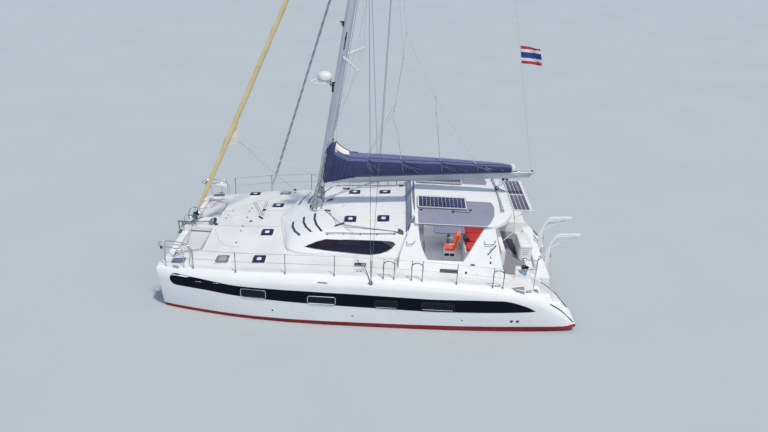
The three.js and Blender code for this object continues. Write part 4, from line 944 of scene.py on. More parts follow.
def small_fittings():
    """Padeyes and blocks on the foredeck, to both sides of the mast's lines."""
    bits = Piece("foredeck_fittings", STEEL, BLACK)
    for x, y, size in ((4.39, -0.99, 1), (4.44, -0.72, 1), (4.39, -0.11, 1), (4.18, 0.27, 1.7),
            (5.06, -0.89, 1), (5.16, -0.55, 1), (5.16, -0.24, 1), (4.41, 0.57, 1.1),
            (4.39, 0.93, 1), (4.38, 1.7, 1.1)):
        spot, normal = DECKS.under(x, y)
        base = [(0, 0.012), (0.022, 0.011), (0.03, 0.005), (0.032, -0.002)]
        bits.turned([(r * size, h * size) for r, h in base], spot, normal, 0, 16)
        eye, top = xyz(0.022 * size, 0, 0), normal * 0.03 * size
        bits.tube([spot - eye, spot - eye * 0.8 + top, spot + eye * 0.8 + top,
            spot + eye], 0.006 * size, 1)
    bits.done(slot="steel", angle=50)
    arms = Piece("foredeck_straps", GREY_PLASTIC, BLACK)
    for a, b in (((4.49, -1.71), (3.94, -0.2)), ((4.42, -1.75), (3.87, -0.24)),
            ((4.05, -2.0), (3.91, -0.2)), ((3.98, -2.02), (3.85, -0.22))):
        arms.tube(on_skin([a, b], DECKS.under, 0.006, 0.2), 0.009, 0)
    for x, y, long, wide in ((3.89, 0.0, 0.26, 0.06), (3.9, -0.74, 0.13, 0.1)):
        spot, normal = DECKS.under(x, y)
        turn = planted(spot, normal, 8)
        arms.block((-long / 2, -wide / 2, 0.0), (long / 2, wide / 2, 0.028), 0.008, 1, turn)
    arms.done(slot="black")


def cleat(piece, spot, normal, heading, size=0.3):
    """A two-horned cleat."""
    run = xyz(math.cos(heading), math.sin(heading), 0)
    run = (run - normal * run.dot(normal)).normalized()
    high = spot + normal * size * 0.24
    piece.tube(smooth_path([high - run * size / 2 - normal * 0.01, high - run * size * 0.22, high,
        high + run * size * 0.22, high + run * size / 2 - normal * 0.01], 4), size * 0.055,
        widths=[0.45 + 0.6 * math.sin(math.pi * i / 16) for i in range(17)])
    for side in (-1, 1):
        foot = spot + run * size * 0.16 * side
        piece.rod(foot, foot + normal * size * 0.25, size * 0.06, end=size * 0.045)
        piece.turned([(0, 0.008), (0.03, 0.008), (0.036, 0.0)], foot, normal, 0, 14)


CLEATS = [(6.02, 3.0, -0.25), (0.26, 3.2, 0.05), (-4.0, 3.33, 0.0), (-5.0, 3.3, 0.3)]
STANCHIONS = [5.45, 4.07, 2.52, 1.01, -0.49, -0.82, -1.35, -1.68, -2.74, -3.86, -4.18]
GATES = [(-0.49, -0.82), (-1.35, -1.68), (-3.86, -4.18)]
HULL_SIDE = [(6.4, 3.08), (6.0, 3.18), (5.45, 3.305), (4.0, 3.56), (2.5, 3.67), (1.0, 3.7),
    (-1.0, 3.7), (-2.75, 3.69), (-4.0, 3.64), (-4.8, 3.57)]


def rail_y(x):
    return min(level(HULL_SIDE, x) - 0.23, 3.47)


def stanchion_foot(x):
    spot, normal = DECKS.under(x, rail_y(x) + 0.03)
    return xyz(x, rail_y(x), spot.z), normal


def side_deck_gear():
    gear = Piece("cleats", STEEL)
    for x, y, heading in CLEATS:
        spot, normal = DECKS.under(x, y)
        cleat(gear, spot, normal, heading)
    gear.pair(slot="steel", angle=50)
    bases = Piece("stanchion_bases", RAIL_STEEL_PAINTED_SHADE, BLACK)
    for x in STANCHIONS:
        spot, normal = stanchion_foot(x)
        place = planted(spot, normal)
        bases.block((-0.045, -0.04, -0.006), (0.045, 0.04, 0.008), 0.006, 0, place)
        bases.rod(spot, spot + rise(0.075), 0.019)
        for dx in (-0.032, 0.032):
            bases.rod(spot + xyz(dx, 0.028, 0), spot + xyz(dx, 0.028, 0.014), 0.006)
    bases.pair(slot="steel", angle=50)
    vents = Piece("side_deck_vents", GREY_PLASTIC, BLACK, ROPE_BLACK)
    spot, normal = DECKS.under(0.25, 2.86)
    place = planted(spot, normal, 3)
    vents.block((-0.19, -0.085, -0.004), (0.19, 0.085, 0.03), 0.014, 0, place)
    for x in (-0.13, -0.065, 0.0):
        vents.block((x - 0.02, -0.065, 0.028), (x + 0.02, 0.065, 0.036), 0.003, 1, place)
    for x0, y0, x1, y1 in ((0.34, 2.62, 0.31, 2.78), (0.12, 2.92, -0.09, 3.6)):
        run = [DECKS.under(x0 + (x1 - x0) * t / 6, y0 + (y1 - y0) * t / 6) for t in range(7)]
        vents.tube([spot + normal * 0.008 for spot, normal in run if spot], 0.009, 2, 6)
    vents.pair(slot="black", angle=50)
    braces = Piece("gate_hoops", RAIL_STEEL_PAINTED_SHADE)
    for a, b in GATES:
        fore, back = stanchion_foot(a)[0], stanchion_foot(b)[0]
        row = [fore + rise(0.3), fore + rise(0.52), fore.lerp(back, 0.28) + rise(0.61),
            fore.lerp(back, 0.72) + rise(0.61), back + rise(0.52), back + rise(0.3)]
        braces.tube(smooth_path(row, 8), 0.0165, 0, 12)
    braces.pair(slot="steel", angle=50)


# Hatches

LID_TOP, LID_MIDDLE = 0.0363, -0.011
HATCHES = {
    "hull_fore_hatch": (4.62, 2.71, 1.618, 4, -7.5),
    "hull_aft_hatch": (3.45, 2.74, 1.698, 3.2, -8),
    "foredeck_hatch": (3.47, 1.14, 1.872, 3.4, -5),
    "roof_fore_hatch": (0.7, 1.18, 2.532, 2.2, -4),
    "roof_aft_hatch": (-0.39, 1.16, 2.602, 4.2, -5.5),
}
PLAIN_HATCHES = ("port_hull_fore_hatch", "starboard_hull_aft_hatch")
BOW_LOCKER = (6.02, 2.7, 1.486, 4, -6.4)


def on_lid(x, y, z, pitch, roll):
    return (Matrix.Translation((x, y, z)) @ Matrix.Rotation(math.radians(roll), 4, "X")
        @ Matrix.Rotation(math.radians(pitch), 4, "Y"))


def on_lid_middle(long, wide):
    """A rectangle round the middle of a lid, a little aft of its hinge line's centre."""
    return corners(LID_MIDDLE - long / 2, -wide / 2, LID_MIDDLE + long / 2, wide / 2)


def hatch_lids():
    for name, place in HATCHES.items():
        turn = on_lid(*place)
        for side, mirror in (("port_", False), ("starboard_", True)):
            plain = side + name in PLAIN_HATCHES
            frame_finish = GREY_PLASTIC if plain else HATCH_NAVY
            pane_finish = PALE_PANE if plain else WHITE_PLASTIC
            node = side + name + "_lid"
            dress(node, frame_finish, angle=40, bevel=0.004, slot="glass")
            pane = Piece(node + "_pane", frame_finish, pane_finish, BLACK, STEEL)
            pane.slab(rounded(on_lid_middle(0.33, 0.33), 0.045), LID_TOP - 0.001, LID_TOP + 0.003,
                0.0015, 0, turn=turn)
            size = (0.25, 0.25) if plain else (0.15, 0.16)
            pane.slab(rounded(on_lid_middle(*size), 0.06), LID_TOP + 0.002, LID_TOP + 0.006,
                0.0015, 1, turn=turn)
            for y in (-0.1, 0.1):
                pane.block((-0.185, y - 0.022, LID_TOP),
                    (-0.155, y + 0.022, LID_TOP + 0.012), 0.004, 2, turn)
                pane.block((0.15, y - 0.03, LID_TOP - 0.001),
                    (0.19, y + 0.03, LID_TOP + 0.003), 0.002, 3, turn)
            for x, y in ((-0.165, 0.0), (0.135, 0.15), (0.135, -0.15),
                    (-0.16, 0.16), (-0.16, -0.16)):
                pane.rod(turn @ xyz(x, y, LID_TOP), turn @ xyz(x, y, LID_TOP + 0.002), 0.005, 3, 8)
            pane.done(nodes[node]["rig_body"], "glass", 40, name=node + "_pane", mirror=mirror)
    turn = on_lid(*BOW_LOCKER)
    for side, mirror in (("port_", False), ("starboard_", True)):
        node = side + "bow_locker_lid"
        dress(node, LOCKER_GREY, angle=40, bevel=0.004, slot="grey_deck")
        trim = Piece(node + "_trim", LOCKER_GREY, STEEL)
        trim.slab(rounded(on_lid_middle(0.36, 0.2), 0.03), LID_TOP - 0.001, LID_TOP + 0.0025,
            0.001, 0, turn=turn)
        trim.ring(turn @ xyz(-0.15, 0, LID_TOP + 0.005), 0.018, 0.003, turn.to_3x3() @ rise(1), 1)
        for y in (-0.07, 0.07):
            trim.block((0.165, y - 0.025, LID_TOP - 0.001),
                (0.205, y + 0.025, LID_TOP + 0.003), 0.001, 1, turn)
        trim.done(nodes[node]["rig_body"], "grey_deck", 40, name=node + "_trim", mirror=mirror)


# Saloon roof and windows

def roof_gear():
    rails = Piece("roof_handrails", RAIL_STEEL_PAINTED_SHADE)
    for x in (1.36, 0.84, 0.31, -0.22, -0.76):
        spot, normal = ROOF.under(x, 2.06)
        rails.rod(spot - normal * 0.01, spot + rise(0.055), 0.011)
        rails.rod(spot - normal * 0.005, spot + normal * 0.006, 0.024)
    rails.tube([p + rise(0.055) for p in on_skin([(1.44, 2.05), (-0.84, 2.07)], ROOF.under,
        0.0, 0.3)], 0.0125)
    rails.pair(slot="steel", angle=50)
    lines = Piece("roof_lines", ROPE_WHITE, ROPE_NAVY, ROPE_BLACK)
    runs = [([(1.5, 0.42), (1.22, 1.2), (1.1, 1.6)], 2), ([(1.54, 0.48), (1.02, 1.52)], 0),
        ([(1.58, 0.5), (0.96, 1.5)], 2), ([(0.9, 1.53), (-0.03, 1.76), (-0.98, 1.99)], 0),
        ([(0.88, 1.68), (-0.03, 1.82), (-0.98, 2.02)], 2), ([(0.86, 1.72), (0.54, 2.0)], 0),
        ([(0.95, 1.55), (-0.02, 1.79), (-0.98, 2.04)], 1),
        ([(1.5, -0.42), (1.2, -1.1), (0.95, -1.62), (-0.9, -2.0)], 0),
        ([(1.56, -0.46), (1.25, -1.14), (1.0, -1.66), (-0.9, -2.03)], 2)]
    for row, finish in runs:
        lines.tube(smooth_path(on_skin(row, ROOF.under, 0.012, 0.25), 3), 0.0062, finish, 6)
    lines.done(slot="black", angle=60)
    gear = Piece("roof_organisers", BLACK, STEEL, ALLOY)
    for a, b in (((1.16, 1.66), (0.86, 1.44)), ((1.62, 0.42), (1.4, 0.52))):
        ends = [ROOF.under(*p) for p in (a, b)]
        spot = (ends[0][0] + ends[1][0]) / 2
        normal = ends[0][1]
        run = ends[1][0] - ends[0][0]
        across = normal.cross(run).normalized()
        turn = Matrix((run.normalized(), across, normal)).transposed().to_4x4()
        turn.translation = spot
        half = run.length / 2
        gear.block((-half, -0.035, -0.002), (half, 0.035, 0.012), 0.004, 2, turn)
        gear.block((-half + 0.01, -0.03, 0.03), (half - 0.01, 0.03, 0.036), 0.002, 0, turn)
        for i in range(4):
            x = -half + (i + 0.5) * half / 2
            gear.rod(turn @ xyz(x, 0, 0.012), turn @ xyz(x, 0, 0.03), 0.022, 0)
            gear.rod(turn @ xyz(x, 0, 0.03), turn @ xyz(x, 0, 0.041), 0.006, 1, 8)
    gear.pair(slot="black", angle=50)
    clutches = Piece("rope_clutches", BLACK, GREY_PLASTIC)
    for y in (1.94, 1.99, 2.04):
        spot, normal = ROOF.under(-0.98, y)
        turn = planted(spot, normal, -14)
        clutches.block((-0.09, -0.018, 0.0), (0.09, 0.018, 0.045), 0.008, 0, turn)
        clutches.block((-0.11, -0.012, 0.04), (0.05, 0.012, 0.056), 0.005, 1, turn)
    clutches.pair(slot="black")
    dots = Piece("roof_lamps", WHITE_PLASTIC, STEEL)
    for x, y in ((-1.11, 0.69), (-0.85, 1.6), (1.0, 0.1)):
        spot, normal = ROOF.under(x, y)
        dots.turned([(0, 0.03), (0.03, 0.028), (0.045, 0.016), (0.05, 0.0), (0.05, -0.004)],
            spot, normal, 0, 20)
        dots.ring(spot + normal * 0.004, 0.05, 0.005, normal, 1, 24, 6)
    dots.pair(slot="gelcoat", angle=50)


def window_trim():
    """A thin dark bead round the big side window."""
    bead = Piece("side_window_bead", BLACK)
    outline = [(2.08, 2.0), (1.7, 2.155), (1.42, 2.24), (0.4, 2.276), (-0.64, 2.3), (-0.76, 2.285),
        (-0.82, 2.225), (-0.72, 2.11), (-0.56, 2.015), (-0.33, 1.945), (-0.06, 1.905),
        (0.2, 1.905), (1.24, 1.95)]
    loop = []
    for a, b in zip(outline, outline[1:] + outline[:1]):
        a, b = Vector(a), Vector(b)
        count = max(1, round((b - a).length / 0.15))
        for i in range(count):
            p = a.lerp(b, i / count)
            p += (p - Vector((0.6, 2.1))).normalized() * 0.006
            spot, normal = SIDES.beside(p.x, p.y)
            if spot is not None:
                loop.append(spot + normal * 0.001)
    bead.tube(loop, 0.006, closed=True, sides=6)
    bead.pair(slot="black")


# Hardtop

SOLAR_TOP, SOLAR_TILT, SOLAR_MIDDLE = 3.2735, 0.0757, 1.045
SOLAR_FORE, SOLAR_AFT, SOLAR_INNER, SOLAR_OUTER = -1.49, -3.08, 0.65, 1.44


def solar_z(y):
    return SOLAR_TOP - SOLAR_TILT * (y - SOLAR_MIDDLE)


def hardtop_panels():
    outline = [(-1.5, 0.76), (-3.93, 0.78), (-4.0, 1.15), (-3.94, 1.72), (-3.78, 2.14),
        (-3.66, 2.325), (-1.5, 2.325)]
    patch("hardtop_grip", TOP_GREY, rounded(outline, 0.06, 2), TOP.under, 0.004,
        0.16).pair(slot="grey_deck")
    edge = Piece("hardtop_gutter", WHITE)
    row = [(-3.75, 2.29), (-3.97, 2.21), (-4.17, 2.03), (-4.34, 1.77), (-4.46, 1.46),
        (-4.52, 1.13), (-4.52, 0.0)]
    edge.tube(on_skin(row, TOP.under, 0.0, 0.15), 0.012, sides=8)
    edge.pair(slot="gelcoat")


def hardtop_screen():
    """The sloping grey panel between the saloon roof and the hardtop's front edge. Its blue-grey
    is partly painted shade, from the shaded band under the hardtop's front.
    """
    def place(u, v):
        y = -2.02 + 4.04 * u
        low = ROOF.under(-1.14, y)[0] + rise(0.004)
        high = xyz(-1.385, y, 3.2 - 0.2 * (y / 2.35) ** 2)
        p = low.lerp(high, v)
        return p + xyz(0.03, 0, 0.02) * math.sin(math.pi * v)

    piece = Piece("hardtop_screen", SCREEN_GREY_PAINTED_SHADE, BLACK)
    piece.skin(40, 8, place)
    thicken(piece.bm, 0.012, xyz(1, 0, 0))
    for u in (0.004, 0.33, 0.66, 0.996):
        piece.tube([place(u, v / 6) + xyz(0.004, 0, 0.002) for v in range(7)], 0.005, 0)
    for v in (0.03, 0.97):
        piece.tube([place(u / 30, v) + xyz(0.004, 0, 0.002) for u in range(31)], 0.006, 0)
    corner = place(0.1, 0.62)
    across, slope = place(0.15, 0.62) - corner, place(0.1, 0.86) - corner
    turn = Matrix([side.normalized() for side in (across, slope, across.cross(slope))])
    turn = Matrix.Translation(corner) @ turn.transposed().to_4x4()
    piece.block((-0.13, -0.02, 0.004), (0.16, slope.length, 0.016), 0.008, 1, turn)
    piece.done(slot="canvas")


def solar_gear():
    cells = Piece("solar_cells", CELL, ALLOY, BLACK)
    for row in range(5):
        for column in range(12):
            x, y = -1.53 - 0.127 * column, 0.712 + 0.143 * row
            tilt = Matrix.Translation((x, y, solar_z(y))) @ Matrix.Rotation(-SOLAR_TILT, 4, "X")
            cells.block((-0.119, 0.0, -0.001), (0.0, 0.134, 0.0015), 0, 0, tilt)
    for y in (SOLAR_INNER, SOLAR_OUTER):
        z = solar_z(y)
        cells.block((SOLAR_AFT, y - 0.01, z - 0.03), (SOLAR_FORE, y + 0.01, z + 0.003), 0.003, 1)
    for x in (SOLAR_FORE, SOLAR_AFT):
        a, b = (x, SOLAR_INNER, SOLAR_TOP + 0.03), (x, SOLAR_OUTER, SOLAR_TOP - 0.03)
        cells.tube([a, b], 0.008, 1)
    cable = [(-2.6, 1.5), (-2.72, 1.56), (-2.95, 1.58), (-3.12, 1.6), (-3.2, 1.5)]
    cells.tube(smooth_path([TOP.under(*p)[0] + rise(0.016) for p in cable], 4), 0.006, 2)
    for x, y in ((-2.62, 1.6), (-3.2, 1.42), (-1.6, 1.55)):
        spot = TOP.under(x, y)[0]
        cells.block_at(spot, (-0.04, -0.025, 0), (0.04, 0.025, 0.03), 0.006, 2)
    cells.pair(slot="solar", angle=30)
    aft = Piece("aft_solar_cells", PALE_CELL, WHITE_PLASTIC, ALLOY)
    for y0, y1 in ((-1.29, -0.03), (0.03, 1.29)):
        for i in range(4):
            x = -5.14 + 0.129 * i
            aft.block((x, y0, 3.2345), (x + 0.112, y1, 3.2385), 0.001, 0)
    aft.block((-5.23, -0.02, 3.235), (-4.62, 0.02, 3.244), 0.003, 1)
    for y in (-1.31, 1.31):
        aft.block((-5.23, y - 0.012, 3.21), (-4.62, y + 0.012, 3.246), 0.004, 1)
    for x in (-5.225, -4.625):
        aft.block((x - 0.012, -1.32, 3.21), (x + 0.012, 1.32, 3.246), 0.004, 1)
    aft.done(slot="solar", angle=30)
    struts = Piece("aft_panel_struts", WHITE_PLASTIC, STEEL)
    hub = xyz(-4.68, 1.24, 2.93)
    struts.tube([(-4.6, 1.22, 3.2), hub, (-5.16, 1.26, 3.2)], 0.016)
    struts.rod(hub, (-4.74, 1.2, 2.4), 0.014)
    struts.rod((-4.74, 1.2, 2.4), (-4.42, 1.2, 2.06), 0.014)
    struts.ball(hub, (0.026, 0.026, 0.026), 1)
    struts.pair(slot="steel", angle=50)


# Coamings

def coaming_gear():
    bits = Piece("coaming_fittings", STEEL, BLACK, WHITE_PLASTIC)
    for row in ([(-1.17, 2.5), (-1.19, 2.43), (-1.36, 2.45), (-1.43, 2.53)],
            [(-3.6, 2.6), (-3.64, 2.53), (-3.88, 2.54), (-3.94, 2.63)]):
        grip_line = []
        for i, (x, z) in enumerate(row):
            spot, normal = COAMING.beside(x, z)
            grip_line.append(spot + normal * (0.0 if i in (0, 3) else 0.055))
        bits.tube(smooth_path(grip_line, 5), 0.0125)
        for x, z in (row[0], row[-1]):
            spot, normal = COAMING.beside(x, z)
            bits.rod(spot - normal * 0.002, spot + normal * 0.006, 0.028)
    a, b = COAMING.beside(-3.73, 2.27), COAMING.beside(-3.95, 2.5)
    bits.tube([a[0] + a[1] * 0.03, b[0] + b[1] * 0.035], 0.013, 1)
    c = COAMING.beside(-3.8, 2.43)
    bits.tube([(a[0] + b[0]) / 2 + a[1] * 0.032, c[0] + c[1] * 0.045], 0.009, 1)
    for spot, normal in (a, b):
        bits.rod(spot, spot + normal * 0.03, 0.02, 1)
    for x, z, long, high, finish in ((-3.26, 1.955, 0.13, 0.045, 1), (-3.81, 2.18, 0.03, 0.05, 1),
            (-3.81, 2.04, 0.045, 0.07, 1), (-3.41, 1.72, 0.06, 0.06, 2)):
        spot, normal = COAMING.beside(x, z)
        tilt = xyz(0, 1, 0).rotation_difference(normal)
        turn = Matrix.Translation(spot) @ tilt.to_matrix().to_4x4()
        bits.block((-long / 2, -0.002, -high / 2), (long / 2, 0.014, high / 2),
            0.005, finish, turn)
    spot, normal = COAMING.beside(-3.06, 1.73)
    bits.turned([(0, 0.014), (0.03, 0.012), (0.038, 0.003), (0.04, -0.002)], spot, normal, 1, 20)
    bits.pair(slot="steel", angle=50)
    louvre = Piece("coaming_vent", LOUVRE_GREY, BLACK)
    corner = [COAMING.beside(x, z) for x, z in ((-2.25, 1.71), (-2.8, 1.71),
        (-2.8, 1.8), (-2.25, 1.8))]
    if all(spot for spot, _ in corner):
        normal = corner[0][1]
        for i in range(4):
            a = corner[0][0].lerp(corner[3][0], (i + 0.5) / 4)
            b = corner[1][0].lerp(corner[2][0], (i + 0.5) / 4)
            louvre.tube([a + normal * 0.006, b + normal * 0.006], 0.0085, 0, 6)
        louvre.tube([spot + normal * 0.004 for spot, _ in corner], 0.009, 0, 6, closed=True)
        inner = [spot + normal * 0.002 for spot, _ in corner]
        louvre.tube([inner[0].lerp(inner[3], 0.5), inner[1].lerp(inner[2], 0.5)], 0.004, 1)
    louvre.pair(slot="black")


PALE_PANE = dark_glass("pale_pane", 0xA9ABB2, 0x8D9098)
LOCKER_GREY = grip("locker_grey", 0x6F7690, 0x5A6078, 80)
# The screen's blue-grey cloth is partly painted shade, for the shaded band under the hardtop's
# front edge.
SCREEN_GREY_PAINTED_SHADE = cloth("screen_grey_painted_shade", 0x76879F, 0x687990, 0x8795AC, 300)
SIDES = Skin("saloon_shell", "port_side_window")

navy_band()
portlights()
through_hulls()
deck_lines()
small_fittings()
side_deck_gear()
hatch_lids()
roof_gear()
window_trim()
hardtop_panels()
hardtop_screen()
solar_gear()
coaming_gear()

# Mast and its gear

MAST_FOOT = xyz(1.93, 0, 2.33)
MAST_RAKE = math.radians(8.4)
MAST_FRAME = Matrix.Translation(MAST_FOOT) @ Matrix.Rotation(-MAST_RAKE, 4, "Y")
MAST_LONG, MAST_WIDE, MAST_HEIGHT = 0.13, 0.08, 17.35
SPREADER_TIP = xyz(0.56, 1.77, 7.61)
CHAINPLATE = xyz(-0.12, 3.64, 1.62)
SHROUD_TOPS = (19.0, 12.2)
DIAMOND_FOOT = 4.7


def mast_at(z, ahead=0.0, side=0.0):
    """A place by the mast's middle line, at a height above the water."""
    return xyz(MAST_FOOT.x - math.tan(MAST_RAKE) * (z - MAST_FOOT.z) + ahead, side, z)


def on_mast(x, y, z):
    return MAST_FRAME @ Vector((x, y, z))


def mast_fittings():
    fit = Piece("mast_fittings", ALLOY, BLACK, STEEL, WHITE_PLASTIC)
    fit.block((-MAST_LONG - 0.016, -0.024, 1.3), (-MAST_LONG + 0.006, 0.024, MAST_HEIGHT - 0.3),
        0.004, 0, MAST_FRAME)
    fit.block((-MAST_LONG - 0.0175, -0.007, 1.3), (-MAST_LONG - 0.01, 0.007, MAST_HEIGHT - 0.3),
        0.001, 0, MAST_FRAME)
    for i in range(15):
        z = 1.02 + 0.11 * i
        fit.block((-MAST_LONG - 0.05, -0.032, z), (-MAST_LONG - 0.014, 0.032, z + 0.075),
            0.008, 1, MAST_FRAME)
    for z, long in ((5.92, 0.24), (5.6, 0.4), (2.1, 0.2), (1.6, 0.2), (12.3, 0.2)):
        for side in (-1, 1):
            y = side * (MAST_WIDE - 0.002)
            fit.block((-0.028, y - 0.006, z), (0.004, y + 0.006, z + long), 0.004, 1, MAST_FRAME)
            fit.block((-0.038, y - 0.003, z - 0.03), (0.014, y + 0.003, z + long + 0.03),
                0.003, 2, MAST_FRAME)
    drum = [(0.058, 0.0), (0.058, 0.018), (0.044, 0.03), (0.04, 0.075), (0.05, 0.1),
        (0.052, 0.118), (0.03, 0.126), (0.0, 0.126)]
    for side in (-1, 1):
        for x, z in ((0.0, 0.62), (-0.03, 1.02)):
            foot = on_mast(x, side * (MAST_WIDE - 0.008), z)
            fit.turned(drum, foot, (0, side, 0), 2, 22)
            fit.ring(foot + xyz(0, side * 0.06, 0), 0.047, 0.007, (0, 1, 0), 3, 20, 6)
        for x, z in ((0.06, 0.85), (-0.06, 1.3), (0.05, 1.45)):
            a = on_mast(x, side * (MAST_WIDE - 0.01), z)
            b = a + xyz(0, side * 0.045, 0)
            fit.rod(a, b, 0.011, 2, 10)
            fit.tube([b + rise(-0.09), b, b + rise(0.09)], 0.009, 2)
    fit.done(slot="alloy", angle=45)


def mast_collar():
    collar = Piece("mast_collar", WHITE, BLACK, STEEL)
    centre = xyz(MAST_FOOT.x - 0.01, 0, 2.345)
    outline = [(centre.x + 0.24 * math.cos(a), 0.2 * math.sin(a))
        for a in (math.tau * i / 32 for i in range(32))]
    collar.slab(outline, 2.325, 2.372, 0.01)
    for i in range(8):
        a = math.tau * (i + 0.5) / 8
        foot = xyz(centre.x + 0.2 * math.cos(a), 0.165 * math.sin(a), 2.37)
        collar.rod(foot, foot + rise(0.012), 0.012, 2, 6)
    for i in range(10):
        a = math.tau * (i + 0.5) / 10
        out = xyz(math.cos(a), math.sin(a), 0)
        foot = xyz(centre.x, 0, 2.372) + xyz(0.2 * out.x, 0.165 * out.y, 0)
        along = xyz(-out.y, out.x, 0)
        ends = [foot + along * reach + out * 0.03 + rise(0.045) for reach in (0.012, -0.012)]
        collar.rod(*ends, 0.034, 1, 16)
        collar.tube([foot, foot + out * 0.03 + rise(0.05)], 0.007, 2, 6)
    collar.done(slot="gelcoat", angle=45)


def twist(piece, a, b, turns, radius, thick, finishes, sway=0.0, phase=0.0):
    """Ropes laid round one another between two places."""
    a, b = Vector(a), Vector(b)
    turn = facing(b - a).to_3x3()
    count = max(10, int(turns * 8))
    for k, finish in enumerate(finishes):
        row = []
        for i in range(count + 1):
            t = i / count
            angle = math.tau * (turns * t + k / len(finishes)) + phase
            end = min(1.0, 10 * t, 10 * (1 - t))
            out = xyz(math.cos(angle), math.sin(angle), 0) * radius * end
            bow = xyz(math.sin(3.1 * t + phase), math.cos(2.3 * t + phase), 0)
            row.append(a.lerp(b, t) + turn @ (out + bow * sway * math.sin(math.pi * t)))
        piece.tube(row, thick, finish, 6)


def mast_ropes():
    """Halyards and reefing lines that come down the mast and turn aft at its foot."""
    ropes = Piece("mast_ropes", ROPE_WHITE, ROPE_NAVY, ROPE_BLACK, BLACK)
    falls = [(-0.02, 1, (0, 1), 1.9, 0.30), (0.03, 1, (0, 2), 2.25, 0.26),
        (0.075, 1, (0, 0), 1.5, 0.24), (0.11, 1, (1, 0), 1.2, 0.27), (0.145, 1, (0, 2), 0.9, 0.31),
        (-0.15, 1, (2, 0), 0.85, 0.36), (0.0, -1, (0, 1), 1.8, 0.27),
        (0.06, -1, (0, 2), 1.4, 0.25), (0.11, -1, (1, 0), 1.0, 0.29)]
    for i, (x, side, pair, high, out) in enumerate(falls):
        squeeze = math.sqrt(max(0.1, 1 - (x / 0.17) ** 2))
        top = on_mast(x * 0.9, side * (MAST_WIDE * squeeze + 0.016), high)
        foot = xyz(MAST_FOOT.x + x * 1.25, side * out * 0.72, 2.43)
        twist(ropes, top, foot, 3.5 + high * 2, 0.013, 0.0085, pair, 0.016, i * 1.3)
        knee = xyz(foot.x, foot.y + side * 0.05, 2.385)
        run = xyz(foot.x - 0.2, side * (out * 0.72 + 0.2), 0)
        end = ROOF.under(run.x, abs(run.y))[0]
        end = xyz(end.x, side * end.y, end.z + 0.012)
        ropes.tube(smooth_path([foot, knee, end], 5), 0.0085, pair[0], 6)
    for i, (x, side, z, long) in enumerate(((0.09, 1, 0.85, 0.5), (0.04, 1, 1.3, 0.62),
            (0.08, -1, 0.85, 0.46), (-0.02, 1, 1.05, 0.7))):
        top = on_mast(x, side * (MAST_WIDE + 0.035), z)
        for k in range(5):
            spread = (k - 2) * 0.014
            low = top + xyz(spread * 2.2, side * (0.012 + 0.008 * (k % 2)), -long * (1 - 0.06 * k))
            ropes.tube(smooth_path([top + xyz(spread * 0.3, 0, 0),
                top.lerp(low, 0.5) + xyz(spread * 1.6 + 0.02, 0, 0), low,
                top.lerp(low, 0.5) + xyz(spread * 1.6 - 0.03, side * 0.01, 0),
                top + xyz(spread * 0.3, side * 0.01, 0)], 5), 0.0075, (0, 0, 1, 2)[i], 6)
        ropes.ring(top + rise(-0.1), 0.034, 0.009, (0.1, 0.1, 1), (0, 0, 1, 2)[i], 14, 6)
    ropes.done(slot="net", angle=60)


def spare_halyards():
    """The white and navy lines set up from the mast to the starboard rail."""
    lines = Piece("spare_halyards", ROPE_WHITE, ROPE_NAVY, STEEL, BLACK)
    foot, top = xyz(4.07, -3.28, 1.66), mast_at(12.6, MAST_LONG + 0.03)
    for shift in (-0.034, 0.034):
        step = xyz(shift, 0, 0)
        lines.tube([foot + rise(0.12), foot.lerp(top, 0.03) + step,
            foot.lerp(top, 0.97) + step, top], 0.015, 0, 6)
    twist(lines, foot.lerp(top, 0.02), foot.lerp(top, 0.985), 30, 0.016, 0.011, (1, 0, 0))
    lines.tube(smooth_path([foot + rise(0.14), foot + xyz(0.02, 0, 0.05), foot + rise(-0.04),
        foot + xyz(-0.02, 0, 0.05), foot + rise(0.14)], 5), 0.008, 2)
    lines.turned([(0, 0.03), (0.016, 0.025), (0.02, 0.0), (0.014, -0.03), (0, -0.034)],
        foot + rise(0.16), (0, 0, 1), 2, 14)
    lines.block_at(top, (-0.045, -0.03, -0.07), (0.02, 0.03, 0.07), 0.014, 3)
    spot = DECKS.under(foot.x, -foot.y - 0.02)[0]
    lines.turned([(0, 0.02), (0.03, 0.016), (0.036, 0.0), (0.036, -0.01)],
        (foot.x, foot.y, spot.z), (0, 0, 1), 2, 18)
    lines.tube([(foot.x, foot.y, spot.z), foot], 0.012, 2)
    lines.done(slot="net", angle=50)


